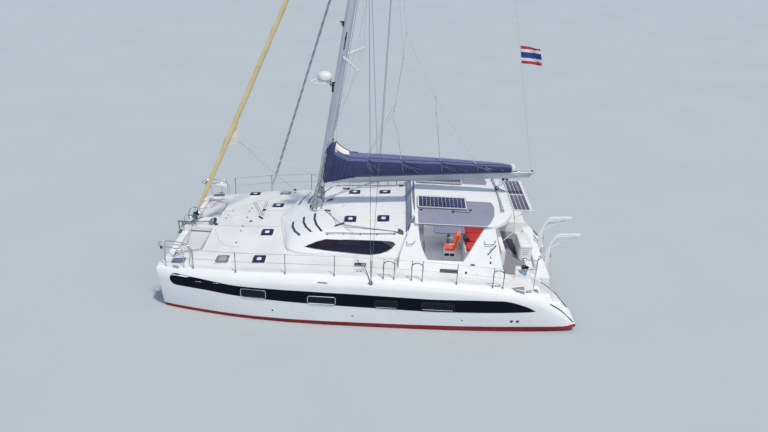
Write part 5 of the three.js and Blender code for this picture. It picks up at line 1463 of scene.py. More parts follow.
def spreader_and_shrouds():
    ends = Piece("spreader_ends", WHITE_PLASTIC, STEEL, BLACK)
    for side in (-1, 1):
        tip = xyz(SPREADER_TIP.x, side * SPREADER_TIP.y, SPREADER_TIP.z)
        root = mast_at(7.65)
        along = (tip - root).normalized()
        ends.tube([root.lerp(tip, i / 8) + along * 0.04 * (1 - i / 8) for i in range(9)], 0.044, 0,
            16, widths=[1.0 - 0.025 * i for i in range(9)])
        ends.ball(tip + along * 0.01, (0.037, 0.037, 0.037), 0)
        ends.rod(root + along * 0.1, root + along * 0.13, 0.048, 2, 18)
        for z in (DIAMOND_FOOT, 13.2):
            low = mast_at(z, 0, side * 0.075)
            run = (tip - low).normalized()
            body = [(0.006, 0.0), (0.013, 0.01), (0.014, 0.1), (0.018, 0.11), (0.018, 0.25),
                (0.014, 0.26), (0.012, 0.34), (0.006, 0.35)]
            ends.turned(body, low + run * 0.03, run, 1, 12)
            ends.rod(low - run * 0.01, low + run * 0.04, 0.022, 1, 12)
    ends.done(slot="steel", angle=45)
    screws = Piece("turnbuckles", STEEL, BLACK, WHITE_PLASTIC)
    for z in SHROUD_TOPS:
        run = (mast_at(z, 0, 0.06) - CHAINPLATE).normalized()
        start = CHAINPLATE + run * 0.03
        body = [(0.007, 0.0), (0.014, 0.01), (0.014, 0.07), (0.02, 0.08), (0.021, 0.3),
            (0.014, 0.31), (0.012, 0.4), (0.007, 0.41)]
        screws.turned(body, start, run, 0, 14)
        screws.rod(start + run * 0.4, start + run * 0.62, 0.011, 1, 12)
        screws.rod(CHAINPLATE - run * 0.02, start + run * 0.03, 0.021, 0, 12)
    spot = DECKS.under(-0.12, 3.6)[0]
    screws.block((-0.2, 3.6, spot.z - 0.004), (-0.04, 3.665, spot.z + 0.01), 0.006, 0)
    screws.rod((-0.12, 3.61, 1.62), (-0.12, 3.67, 1.62), 0.01, 0, 10)
    screws.pair(slot="steel", angle=45)


def mast_lamps():
    lamps = Piece("mast_lamps", BLACK, WHITE_PLASTIC, GLASS, STEEL)
    for z in (8.66, 10.9):
        base = mast_at(z, MAST_LONG)
        lamps.block_at(base, (-0.02, -0.045, -0.09), (0.05, 0.045, 0.07), 0.014, 0)
        lamps.ball(base + xyz(0.075, 0, 0.0), (0.05, 0.045, 0.05), 1)
        lamps.block_at(base, (0.02, -0.06, 0.05), (0.11, 0.06, 0.065), 0.006, 0)
    lamps.done(slot="black")
    head = Piece("masthead_gear", BLACK, WHITE_PLASTIC, STEEL, LAMP_RED)
    top = on_mast(0, 0, MAST_HEIGHT - 0.02)
    head.block_at(top, (-0.16, -0.07, -0.01), (0.15, 0.07, 0.02), 0.008, 2)
    head.turned([(0, 0.11), (0.03, 0.1), (0.042, 0.07), (0.042, 0.03), (0.05, 0.025), (0.05, 0.0)],
        top + xyz(0.06, 0, 0.02), (0, 0, 1), 1, 20)
    head.rod(top + xyz(-0.05, 0, 0), top + xyz(-0.05, 0, 0.26), 0.006, 2, 8)
    head.rod(top + xyz(-0.05, -0.14, 0.26), top + xyz(-0.05, 0.14, 0.26), 0.004, 0, 8)
    head.slab([(-0.1, 0.0), (0.05, -0.035), (0.05, 0.035)], 0.0, 0.003, 0, 3, "XY",
        Matrix.Translation(top + xyz(-0.05, 0, 0.27)))
    head.rod(top + xyz(-0.11, 0.03, 0), top + xyz(-0.11, 0.03, 0.4), 0.0045, 1, 8)
    for side in (-1, 1):
        head.rod(top + xyz(-0.3, side * 0.03, -0.04),
            top + xyz(-0.3, side * 0.018, -0.04), 0.04, 0, 18)
    head.done(slot="black", angle=45)


def radome_gear():
    guard = Piece("radome_guard", WHITE_PLASTIC, BLACK, STEEL)
    centre = xyz(1.8, 0, 6.8)
    guard.ring(centre, 0.33, 0.014, (0, 0, 1), 0, 44, 10)
    for a in (-0.9, 0.9, math.pi - 0.5, math.pi + 0.5):
        out = xyz(math.cos(a), math.sin(a), 0)
        guard.tube([centre + out * 0.33, centre + out * 0.15 + xyz(-0.04, 0, 0.03)], 0.009, 0)
    mast_side = mast_at(6.8, MAST_LONG)
    for side in (-1, 1):
        guard.tube([centre + xyz(-0.24, side * 0.22, 0), mast_side + xyz(-0.03, side * 0.05, 0.0)],
            0.012, 1)
    guard.block_at(mast_at(6.62, MAST_LONG), (-0.02, -0.07, -0.13), (0.04, 0.07, 0.13), 0.01, 1)
    guard.ring((1.7, 0, 6.9), 0.2365, 0.004, (0, 0, 1), 1, 44, 6)
    guard.done(slot="gelcoat", angle=50)


# The furled headsail

STAY_FOOT, STAY_TOP = xyz(6.25, 0, 1.7), mast_at(16.0)
ROLL = [(2.17, 0.03), (2.28, 0.062), (2.6, 0.074), (4.4, 0.09), (5.3, 0.088), (9.0, 0.076),
    (14.0, 0.06), (14.42, 0.036), (14.5, 0.024)]
ROLL_TURN = 1.25
CLEW_TOP, CLEW_FOOT, CLEW = xyz(4.56, 0, 5.45), xyz(4.96, 0, 4.5), xyz(4.46, 0.0, 4.59)


def stay_at(z):
    return STAY_FOOT.lerp(STAY_TOP, (z - STAY_FOOT.z) / (STAY_TOP.z - STAY_FOOT.z))


def headsail():
    turn = facing(STAY_TOP - STAY_FOOT).to_3x3()
    low, high = ROLL[0][0], ROLL[-1][0]

    def place(u, v):
        z = low + (high - low) * v
        angle = math.tau * (u - z / ROLL_TURN)
        out = xyz(math.cos(angle), math.sin(angle), 0)
        lumps = noise.noise(xyz(u * 3, z * 1.4, 4)) * 0.006
        lumps += noise.noise(xyz(u * 9, z * 7, 1)) * 0.002
        return stay_at(z) + turn @ (out * (level(ROLL, z) * (0.92 + 0.13 * u) + lumps))

    roll = Piece("furled_sail", SAIL_CREAM, STEEL, BLACK)
    roll.skin(26, 250, place, 0)
    thicken(roll.bm, 0.004, recalculate=False)
    roll.rod(stay_at(1.99), stay_at(2.3), 0.022, 1, 14)
    roll.rod(stay_at(14.4), stay_at(15.97), 0.02, 1, 14)
    cap = [(0.02, 0), (0.05, 0.01), (0.052, 0.06), (0.04, 0.075), (0.052, 0.09),
        (0.05, 0.15), (0.02, 0.16)]
    roll.turned(cap, stay_at(14.56), STAY_TOP - STAY_FOOT, 2, 18)
    roll.done(slot="sailcloth", angle=50, stands_for=["furled_genoa"])
    drum = Piece("furler_cage", BLACK, STEEL, ROPE_NAVY)
    for i in range(8):
        z = 1.795 + 0.0145 * i
        drum.ring(stay_at(z), 0.069 - 0.002 * (i % 3), 0.0085, STAY_TOP - STAY_FOOT, 2, 20, 6)
    for i in range(6):
        out = turn @ xyz(math.cos(math.tau * i / 6), math.sin(math.tau * i / 6), 0) * 0.104
        drum.rod(stay_at(1.775) + out, stay_at(1.915) + out, 0.006, 1, 8)
    for z in (1.771, 1.919):
        drum.ring(stay_at(z), 0.108, 0.006, STAY_TOP - STAY_FOOT, 1, 28, 6)
    drum.tube([stay_at(1.85) + xyz(0, 0.07, 0), (6.05, 1.55, 1.6),
        (5.45, rail_y(5.45) - 0.03, 1.66)], 0.006, 2, 6)
    drum.done(slot="black", angle=50)


def headsail_corner():
    def place(u, v):
        v = v * v * (3 - 2 * v)
        edge = CLEW_TOP.lerp(CLEW_FOOT, v)
        p = edge.lerp(CLEW, u)
        hollow = 4 * u * (1 - u)
        p += xyz(0.035 * hollow * (1 - v), 0, 0.012 * hollow * v)
        p.y = 0.02 * math.sin(math.pi * u) * (1 - 2 * v)
        p.y += 0.012 * noise.noise(xyz(u * 4, v * 4, 2))
        return p

    corner = Piece("headsail_corner", SAIL_WHITE, SAIL_CREAM)
    corner.skin(16, 16, place)
    for face in corner.bm.faces:
        middle = face.calc_center_median()
        face.material_index = 0 if (middle - CLEW).length < 0.5 else 1
    thicken(corner.bm, 0.003, recalculate=False)
    made = corner.done(slot="sailcloth")
    trim = Piece("headsail_corner_trim", SAIL_WHITE, STEEL, ROPE_WHITE)
    trim.tube([place(i / 12, 0.0) for i in range(13)], 0.0055, 0, 6)
    trim.tube([place(i / 12, 1.0) for i in range(13)], 0.0055, 0, 6)
    for reach in (0.62, 0.78):
        trim.tube([place(reach, i / 12) + xyz(0, 0.003, 0) for i in range(13)], 0.0022, 0, 4)
    trim.ring(CLEW, 0.024, 0.007, (0, 1, 0), 1, 20, 8)
    for i in range(3):
        trim.ring(CLEW + xyz(-0.02 - 0.02 * i, 0, -0.016 - 0.014 * i), 0.02, 0.009,
            (1, 0.3 * i, 0.8), 2, 14, 6)
    trim_made = trim.done(slot="sailcloth")
    sheets = Piece("headsail_sheets", ROPE_WHITE, STEEL, BLACK)
    ends = [xyz(3.1, -2.92, 1.83), xyz(0.95, -1.62, 2.52)]
    for end in ends:
        start = CLEW + xyz(-0.05, 0, -0.03)
        sheets.tube([start.lerp(end, i / 16) + rise(-0.06 * math.sin(math.pi * i / 16))
            for i in range(17)], 0.0095, 0, 6)
        sheets.block_at(end, (-0.05, -0.022, -0.05), (0.05, 0.022, 0.012), 0.016, 2)
    spot = DECKS.under(3.1, 2.92)[0]
    sheets.turned([(0, 0.02), (0.03, 0.015), (0.036, -0.004)],
        (3.1, -2.92, spot.z), (0, 0, 1), 1, 16)
    sheets.tube([(3.1, -2.92, spot.z), ends[0] + rise(-0.03)], 0.008, 1)
    roof = ROOF.under(0.95, 1.62)[0]
    sheets.tube([(0.95, -1.62, roof.z), ends[1] + rise(-0.03)], 0.008, 1)
    sheets.tube([ends[0] + xyz(-0.04, 0, -0.02), (1.2, -3.2, 1.86), (0.26, -3.2, 1.84)], 0.009, 0,
        6)
    sheets.done(slot="net", angle=50)


# Boom, bagged mainsail and running rigging

BOOM_PIN = xyz(1.5511, 0, 3.44)
BOOM_RISE = 0.08217
BOOM_FRAME = Matrix.Translation(BOOM_PIN) @ Matrix.Rotation(BOOM_RISE, 4, "Y")
BOOM_LENGTH, BOOM_HALF_WIDE = 6.9445, 0.065
BAG_LEAN = math.tan(MAST_RAKE + BOOM_RISE)
BAG_FRONT, BAG_AFT = -0.045, -6.2
BAG_TOPS = [(0.3, 1.75), (-0.157, 1.412), (-0.5, 1.15), (-0.802, 0.975), (-1.2, 0.925),
    (-2.465, 0.81), (-3.81, 0.67), (-5.01, 0.531), (-5.9, 0.42), (-6.2, 0.35)]
BAG_FEET = [(-0.045, -0.05), (-0.4, 0.02), (-0.75, 0.1), (-6.2, 0.112)]
BAG_HALVES = [(-0.045, 0.145), (-0.4, 0.2), (-0.75, 0.226), (-2.3, 0.235), (-4.0, 0.2),
    (-5.6, 0.15), (-6.2, 0.095)]
BAG_STRAPS = [-1.3, -2.5, -3.8, -5.0]
BAG_SECTION = smooth_path([(0.34, 0.0), (0.74, 0.12), (0.97, 0.35), (1.0, 0.58), (0.82, 0.8),
    (0.47, 0.94), (0.0, 1.0)], 6)
BAG_COLUMNS, BAG_ROWS, BAG_UNDER = 60, 300, 2
BAG_ROUND = BAG_COLUMNS - 2 * BAG_UNDER
JACK_HEIGHT = 0.84
JACKS = [("port_lazy_jack", 1, (-0.79, 7.72), (-1.93, 6.0), (-0.57, 6.0), (-0.57, 9.44)),
    ("starboard_lazy_jack", -1, (-0.84, 8.44), (-1.9, 6.42), (-0.62, 6.2), (-0.7, 9.44))]


def on_boom(x, y, z):
    return BOOM_FRAME @ Vector((x, y, z))


def bag_folds(x, h, side):
    """How far the cloth stands out at a place along the bag and up its side."""
    out = noise.noise(xyz(x * 0.9, h * 1.5, side * 3)) * 0.022
    out += noise.noise(xyz(x * 4, h * 3, side * 5)) * 0.007
    for n, at in enumerate(BAG_STRAPS):
        out -= 0.02 * math.exp(-((x - at) / 0.08) ** 2) * min(1, h / 0.5)
        drop = 0.8 - h
        if drop > 0:
            for i in range(6):
                run = at - 0.02 - drop * (0.1 + (0.24 + 0.03 * n) * i)
                wide = 0.013 + 0.022 * drop
                out += 0.034 * (0.4 + drop) * math.exp(-((x - run) / wide) ** 2) * (1.2 - 0.13 * i)
    if x > -1.1:
        out += 0.012 * math.sin(x * 30 + h * 4) * min(1, (x + 1.1) * 2)
    return out


def bag_point(s, turn, lift=0.0):
    """A place on the bag: s is along the boom, and turn goes from the port foot over the top."""
    side = 1 if turn < 0.5 else -1
    reach = (1 - abs(2 * turn - 1)) * (len(BAG_SECTION) - 1)
    i = min(int(reach), len(BAG_SECTION) - 2)
    wide, h = BAG_SECTION[i].lerp(BAG_SECTION[i + 1], reach - i)
    lean = BAG_LEAN * max(0.0, 1 - (BAG_FRONT - s) / 2.4)
    top = level(BAG_TOPS, s - lean * 0.9)
    foot = level(BAG_FEET, s)
    z = foot + (top - foot) * h
    half = level(BAG_HALVES, s) * (wide if s < -0.9 or h > 0.3 else max(wide, 0.62))
    folded = bag_folds(s, h, side) * min(1, 4 * wide) + lift
    tilt = math.atan2(1 - h, 0.5)
    y = max(0.0, half + folded * math.sin(tilt))
    return on_boom(s - lean * z, side * y, z + folded * math.cos(tilt) * 0.8)


def turn_at(h, side):
    """How far round the bag a height is, on one side."""
    row = next(i for i, p in enumerate(BAG_SECTION) if p.y >= h)
    t = 0.5 * row / (len(BAG_SECTION) - 1)
    return t if side > 0 else 1 - t


def sail_bag():
    bag = Piece("sail_bag_cover", BAG_NAVY, BAG_TOP_PAINTED_LIGHT, SAIL_WHITE)

    def place(u, v):
        turn = (BAG_COLUMNS * u - BAG_UNDER) / BAG_ROUND
        p = bag_point(BAG_FRONT + (BAG_AFT - BAG_FRONT) * v, min(max(turn, 0.0), 1.0))
        under = max(-turn, turn - 1, 0.0) * BAG_ROUND / BAG_UNDER
        return p.lerp(xyz(p.x, 0, p.z), under)

    bag.skin(BAG_COLUMNS, BAG_ROWS, place)
    inverse = BOOM_FRAME.inverted()
    for i, face in enumerate(bag.bm.faces):
        p = inverse @ face.calc_center_median()
        top = level(BAG_TOPS, p.x)
        h = (p.z - 0.1) / (top - 0.1)
        u = (i % BAG_COLUMNS - BAG_UNDER + 0.5) / BAG_ROUND
        # The top band takes the lighter cloth: painted light, for the sun on the bag's upper
        # surface.
        face.material_index = 1 if turn_at(0.7, 1) < u < turn_at(0.7, -1) else 0
        if p.x > -0.78 and p.y > 0 and h > 0.72 + 0.2 * (-p.x / 0.78):
            face.material_index = 2
    bmesh.ops.recalc_face_normals(bag.bm, faces=bag.bm.faces)
    middle = on_boom(-3, 0, 0.4)
    if sum(f.normal.dot(f.calc_center_median() - middle) for f in bag.bm.faces) < 0:
        bmesh.ops.reverse_faces(bag.bm, faces=bag.bm.faces)
    ends = [e for e in bag.bm.edges if e.is_boundary]
    bmesh.ops.holes_fill(bag.bm, edges=ends, sides=0)
    bmesh.ops.recalc_face_normals(bag.bm, faces=bag.bm.faces)
    made = bag.done("boom", "canvas", 60, ["sail_bag"])
    # Dark tubes along the bag's creases are painted shade, and the lighter tubes beside them are
    # painted highlights.
    creases = Piece("sail_bag_crease_shading", BAG_PAINTED_SHADE, BAG_PAINTED_HIGHLIGHT)
    for side in (-1, 1):
        for n, at in enumerate(BAG_STRAPS):
            for i in range(6):
                row, lit = [], []
                for k in range(11):
                    drop = 0.02 + (0.46 + 0.14 * math.sin(i * 2.3 + n)) * k / 10
                    run = at - 0.02 - drop * (0.1 + (0.24 + 0.03 * n) * i)
                    turn = turn_at(0.8 - drop, side)
                    step = 0.014 + 0.02 * drop
                    row.append(bag_point(run - step, turn, 0.0))
                    lit.append(bag_point(run + step * 0.4, turn, -0.001))
                taper = [0.4 + 0.9 * math.sin(math.pi * k / 10) for k in range(11)]
                creases.tube(row, 0.0135, 0, 6, widths=taper)
                creases.tube(lit, 0.0085, 1, 6, widths=taper)
        # Dark tubes near the bag's front are painted shade in its folds.
        for i in range(5):
            row = [bag_point(-0.12 - 0.13 * i - 0.06 * k / 10 * i,
                turn_at(0.08 + 0.62 * k / 10, side), 0.0) for k in range(11)]
            creases.tube(row, 0.009, 0, 6,
                widths=[0.3 + math.sin(math.pi * k / 10) for k in range(11)])
    creases.done("boom", "canvas", 60)
    seams = Piece("sail_bag_seams", BAG_NAVY, ROPE_BLACK, SAIL_WHITE, STEEL)
    for side in (-1, 1):
        for h, thick in ((0.14, 0.005), (JACK_HEIGHT, 0.011)):
            seams.tube([bag_point(BAG_FRONT - 0.03 + (BAG_AFT - BAG_FRONT) * i / 90 * 0.985,
                turn_at(h, side), 0.002) for i in range(91)], thick, 0, 6)
        for at in BAG_STRAPS:
            seams.tube([bag_point(at - 0.012 * i, turn_at(0.9 - 0.06 * i, side), 0.002)
                for i in range(14)], 0.0075, 1, 6)
            hook = bag_point(at, turn_at(JACK_HEIGHT, side), 0.012)
            seams.ring(hook, 0.022, 0.005, (1, 0, 0.2), 3, 16, 6)
    seams.tube([bag_point(BAG_FRONT - 0.9 * i / 24, 0.5, 0.01) for i in range(25)], 0.014, 1, 8)
    seams.tube([bag_point(BAG_FRONT - 0.006, i / 40, 0.004) for i in range(41)], 0.012, 1, 8)
    seams.done("boom", "canvas", 60)
    leech = Piece("sail_leech", SAIL_WHITE, BAG_NAVY)
    for i in range(7):
        z = 0.125 + 0.034 * i
        half = 0.085 * math.sin(math.pi * (0.22 + 0.1 * i))
        reach = 0.1 + 0.03 * math.sin(i * 2.1)
        leech.block((BAG_AFT - reach, -half, z), (BAG_AFT + 0.1, half, z + 0.03),
            0.013, 0, BOOM_FRAME, 3)
    fold = leech.done("boom", "sailcloth", 60)


def bag_collar():
    """The cloth that closes the bag round the mast."""
    def place(u, v):
        back = bag_point(BAG_FRONT, u)
        local = BOOM_FRAME.inverted() @ back
        out = abs(local.y)
        ahead = BAG_FRONT + 0.115 + 0.12 * min(1.0, out / 0.1) - BAG_LEAN * local.z
        wide = math.copysign(max(out * 0.8, min(0.102, out * 2.2)), local.y)
        front = on_boom(ahead, wide, local.z - 0.01)
        bulge = 0.012 * math.sin(math.pi * v) + 0.006 * math.sin(u * 40)
        p = back.lerp(front, v)
        return p + xyz(0, bulge if local.y > 0 else -bulge, 0) * min(1, abs(local.y) * 20)

    collar = Piece("bag_collar", BAG_NAVY, ROPE_BLACK)
    collar.skin(56, 6, place)
    thicken(collar.bm, 0.006)
    collar.tube([place(i / 44, 1.0) for i in range(45)], 0.01, 1, 6)
    made = collar.done(None, "canvas", 60)
    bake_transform(made)


def bag_jacks():
    """Lines from the mast that hold the bag up, and the main halyard."""
    for name, side, *knots in JACKS:
        lines = Piece(name, ROPE_WHITE, STEEL, BLACK)
        y = 0.18 * side
        first, second, kink, upper = (xyz(x, y, z) for x, z in knots)
        ends = [bag_point(at, turn_at(JACK_HEIGHT, side), 0.03) for at in BAG_STRAPS]
        top = mast_at(14.6, -MAST_LONG, 0.06 * side)
        runs = [[top, upper, first], [first, first.lerp(second, 0.5) + rise(-0.05), second],
            [first, xyz(-0.69, y, 6.92), kink], [kink, xyz(-0.57, y, 5.66), xyz(-0.72, y, 5.25),
            ends[1]], [kink, kink.lerp(ends[0], 0.5) + xyz(0.03, 0, -0.04), ends[0]],
            [second, xyz(-2.04, y, 5.4), ends[2]],
            [second, second.lerp(ends[3], 0.5) + rise(-0.05), ends[3]]]
        for run in runs:
            lines.tube(smooth_path(run, 5), 0.0085, 0, 6)
        for at in (first, second, kink):
            lines.ring(at, 0.02, 0.007, (0, 1, 0), 1, 14, 6)
        lines.block_at(top, (-0.03, -0.02, -0.04), (0.03, 0.02, 0.04), 0.008, 2)
        made = lines.done(None, "net", 60)
        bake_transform(made)
    halyard = Piece("main_halyard", ROPE_WHITE, STEEL, ROPE_BLACK)
    head = bag_point(BAG_FRONT - 0.02, 0.5, 0.02)
    row = [head, (1.26, 0, 5.84), (1.05, 0, 6.54), (0.92, 0, 7.18), (0.42, 0, 9.39),
        mast_at(14, -0.42), mast_at(19.38, -0.2)]
    halyard.tube(smooth_path(row, 6), 0.0062, 0, 6)
    halyard.ring(head, 0.03, 0.008, (0, 1, 0), 1, 16, 6)
    reef = [mast_at(19.3, -0.15, 0.03), mast_at(8.2, -0.2, 0.05), mast_at(5.2, -0.17, 0.05)]
    halyard.tube(reef, 0.005, 2, 6)
    made = halyard.done(None, "net", 60)
    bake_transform(made)


TRAVELLER_X, CAR_Y = -4.23, -0.19


def boom_gear():
    slant = BOOM_FRAME.to_3x3() @ xyz(-0.68, 0, -0.738)
    dress("boom", ALLOY, angle=50, bevel=0.006, slot="alloy",
        trims=[(on_boom(-BOOM_LENGTH, 0, 0.06), slant)])
    gear = Piece("boom_fittings", ALLOY, BLACK, STEEL, ROPE_WHITE, ROPE_NAVY, WHITE_PLASTIC)
    aft = -BOOM_LENGTH
    gear.block((aft - 0.012, -0.055, 0.062), (aft + 0.006, 0.055, 0.105), 0.006, 1, BOOM_FRAME)
    for y in (-0.03, 0.03):
        gear.rod(on_boom(aft + 0.06, y - 0.01, 0.1), on_boom(aft + 0.06, y + 0.01, 0.1), 0.035, 1,
            18)
    gear.tube([on_boom(x, 0, z) for x, z in ((aft + 0.03, 0.1), (aft + 0.03, 0.15),
        (aft + 0.1, 0.15), (aft + 0.1, 0.1))], 0.008, 2)
    for x in (-0.9, -2.4, -4.2, -6.35):
        for side in (-1, 1):
            y = side * BOOM_HALF_WIDE
            gear.block((x - 0.05, y - 0.008, -0.028), (x + 0.05, y + 0.01, 0.03),
                0.009, 0, BOOM_FRAME)
            gear.rod(on_boom(x, y, 0.0), on_boom(x, y + side * 0.018, 0), 0.016, 2, 14)
    for z, finish, x0 in ((-0.06, 3, -0.6), (-0.09, 4, -0.8)):
        run = (x0, -1.5, -2.5, -3.5, -4.5, -5.5, -6.3)
        gear.tube([on_boom(x, BOOM_HALF_WIDE + 0.008, z + 0.006 * math.sin(x * 2)) for x in run],
            0.006, finish, 6)
    gear.block((-6.5, -0.05, 0.1), (-6.3, 0.05, 0.13), 0.01, 2, BOOM_FRAME)
    gear.tube([on_boom(x, 0, z) for x, z in ((-6.3, 0.16), (-6.6, 0.125), (aft + 0.06, 0.135))],
        0.008, 3, 6)
    gear.rod(on_boom(-1.65, -0.04, -0.12), on_boom(-1.65, 0.04, -0.12), 0.03, 2, 14)
    for x in (-5.93, -6.06):
        gear.rod(on_boom(x, -0.035, -0.16), on_boom(x, 0.035, -0.16), 0.04, 1, 18)
    gear.done("boom", "alloy", 45)
    sheet = Piece("mainsheet", ROPE_WHITE, BLACK, STEEL)
    high = [on_boom(x, y, -0.17) for x, y in ((-5.9, -0.03), (-5.96, 0.0),
        (-6.02, 0.03), (-6.08, 0.0))]
    low = [xyz(TRAVELLER_X + dx, CAR_Y + dy, 3.4) for dx, dy in ((0.03, -0.03), (0.01, 0),
        (-0.02, 0.03), (-0.04, 0))]
    for a, b in zip(high, low):
        sheet.tube([a, b], 0.0075, 0, 6)
    sheet.block((-4.29, -0.23, 3.352), (-4.17, -0.15, 3.42), 0.02, 1)
    sheet.rod((TRAVELLER_X, -0.24, 3.39), (TRAVELLER_X, -0.14, 3.39), 0.032, 2, 16)
    made = sheet.done(None, "net", 60)
    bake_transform(made)
    car = Piece("traveller_gear", BLACK, STEEL, ROPE_WHITE, ROPE_NAVY, ROPE_BLACK)
    for y in (-1.3, -0.9, -0.5, 0.1, 0.5, 0.9, 1.3):
        car.rod((TRAVELLER_X, y, 3.3), (TRAVELLER_X, y, 3.3105), 0.01, 1, 8)
    for y in (-1.45, 1.45):
        spot = TOP.under(TRAVELLER_X, abs(y))[0]
        car.block((-4.28, y - 0.04, spot.z), (-4.18, y + 0.04, spot.z + 0.09), 0.014, 1)
        car.tube([(TRAVELLER_X, y, spot.z + 0.06), (-4.25, -0.2 + math.copysign(0.09, y), 3.335)],
            0.009, 2 if y > 0 else 4, 6)
    run = [(TRAVELLER_X, CAR_Y, 3.37), (-4.36, -0.2, 3.33), (-4.5, -0.2, 3.27)]
    car.tube(smooth_path(run, 4), 0.011, 4, 6)
    car.done(slot="black", angle=45)


def flag_cloth():
    top, foot = xyz(-4.39, 0, 8.25), xyz(-4.49, 0, 7.7)
    shares = (1 / 6, 2 / 6, 4 / 6, 5 / 6)

    def place(u, v):
        edge = foot.lerp(top, v)
        wave = 0.05 * math.sin(7.5 * u + 1.2 * v) * u ** 0.7 + 0.012 * math.sin(16 * u - 3 * v) * u
        drop = -0.03 * u - 0.035 * u * v + 0.02 * math.sin(6 * u) * u
        return edge + xyz(-0.012 - 0.64 * u - 0.012 * math.sin(5 * v) * u, wave, drop)

    cloth_piece = Piece("flag_cloth", FLAG_RED, FLAG_WHITE, FLAG_BLUE)
    cloth_piece.skin(36, 24, place)
    for face in cloth_piece.bm.faces:
        middle = face.calc_center_median()
        u = (-4.42 - middle.x) / 0.66
        v = (middle.z - 7.7 + 0.035 * max(0, u)) / 0.545
        stripe = sum(v > s for s in shares)
        face.material_index = (0, 1, 2, 1, 0)[stripe]
    thicken(cloth_piece.bm, 0.0025, recalculate=False)
    made = cloth_piece.done("boom", "flag", stands_for=["flag"])
    hem = Piece("flag_hem", FLAG_WHITE, ROPE_WHITE)
    hem.tube([place(0.0, i / 10) for i in range(11)], 0.006, 0, 6)
    for v in (0.02, 0.98):
        hem.tube([place(0.0, v), place(0.0, v) + xyz(0.014, 0, 0.01)], 0.004, 1, 6)
    hem_made = hem.done("boom", "flag")


# Lighter cloth for the bag's top band: painted light, for the sun falling on its upper surface.
BAG_TOP_PAINTED_LIGHT = cloth("bag_top_painted_light", 0x626A94, 0x50587F, 0x7F87AE)
# Cloths for the crease tubes on the bag: a dark one for painted shade and a light one for painted
# highlights.
BAG_PAINTED_SHADE = cloth("bag_painted_shade", 0x141833, 0x0D1026, 0x20264A)
BAG_PAINTED_HIGHLIGHT = cloth("bag_painted_highlight", 0x8790BE, 0x6A73A2, 0xA4ACD6)

mast_fittings()
mast_collar()
mast_ropes()
spare_halyards()
spreader_and_shrouds()
mast_lamps()
radome_gear()
headsail()
headsail_corner()
sail_bag()
bag_collar()
bag_jacks()
boom_gear()
flag_cloth()

# Trampolines

NET_Z, NET_AFT, NET_FORE, NET_INNER = 1.451, 5.45, 6.32, 0.4303
NET_OUTER = [(5.45, 2.0), (6.0, 2.3), (6.32, 2.455)]


def net_outer(x):
    return level(NET_OUTER, x)


def trampolines():
    aft, fore, inner = NET_AFT + 0.1, NET_FORE - 0.06, NET_INNER + 0.05
    shape = [(aft, inner), (fore, inner), (fore, 2.05), (6.08, 2.2), (aft, net_outer(aft) - 0.06)]
    middle = xyz((aft + fore) / 2, 1.25, 0)

    def sag(x, y):
        run = min(1.0, abs(x - middle.x) / 0.4)
        across = min(1.0, abs(y - middle.y) / 0.95)
        low = 0.012 * (1 - run * run) * (1 - across * across)
        ripple = 0.0015 * noise.noise(xyz(x * 6, y * 5, 0))
        return xyz(x, y, NET_Z + 0.006 - low + ripple), rise(1)

    net = patch("trampoline_net", NET, shape, sag, 0.0, 0.05, 0.005)
    area = sum(face.calc_area() for face in net.bm.faces) / 2
    nets = net.pair(slot="net", stands_for=["trampoline"])
    hem = Piece("trampoline_lacing", NET, ROPE_BLACK, STEEL, ROPE_WHITE)
    around = [xyz(x, y, NET_Z + 0.008) for x, y in shape]
    hem.tube([p for a, b in zip(around, around[1:] + around[:1])
        for p in (a.lerp(b, i / 12) for i in range(12))], 0.012, 0, 8, closed=True)
    for (x0, y0), (x1, y1), finish in (((aft, inner), (aft, net_outer(aft) - 0.08), 1),
            ((aft, inner), (fore, inner), 1), ((fore, inner), (fore, 2.05), 3)):
        a, b = xyz(x0, y0, NET_Z + 0.012), xyz(x1, y1, NET_Z + 0.012)
        along = (b - a).normalized()
        out = xyz(along.y, -along.x, 0)
        if out.dot(middle - a) > 0:
            out = -out
        count = max(4, round((b - a).length / 0.09))
        row = []
        for i in range(count * 2 + 1):
            p = a.lerp(b, i / (count * 2))
            row.append(p + out * (0.045 if i % 2 else -0.016))
            if i % 2 == 0:
                hem.ring(p - out * 0.016, 0.009, 0.003, (0, 0, 1), 2, 10, 6)
        hem.tube(row, 0.008, finish, 6)
        hem.tube([a + out * 0.046, b + out * 0.046], 0.018, finish, 8)
    hems = hem.pair(slot="net", angle=60)


# Padded seats

STUFFING_FRAMES = 20


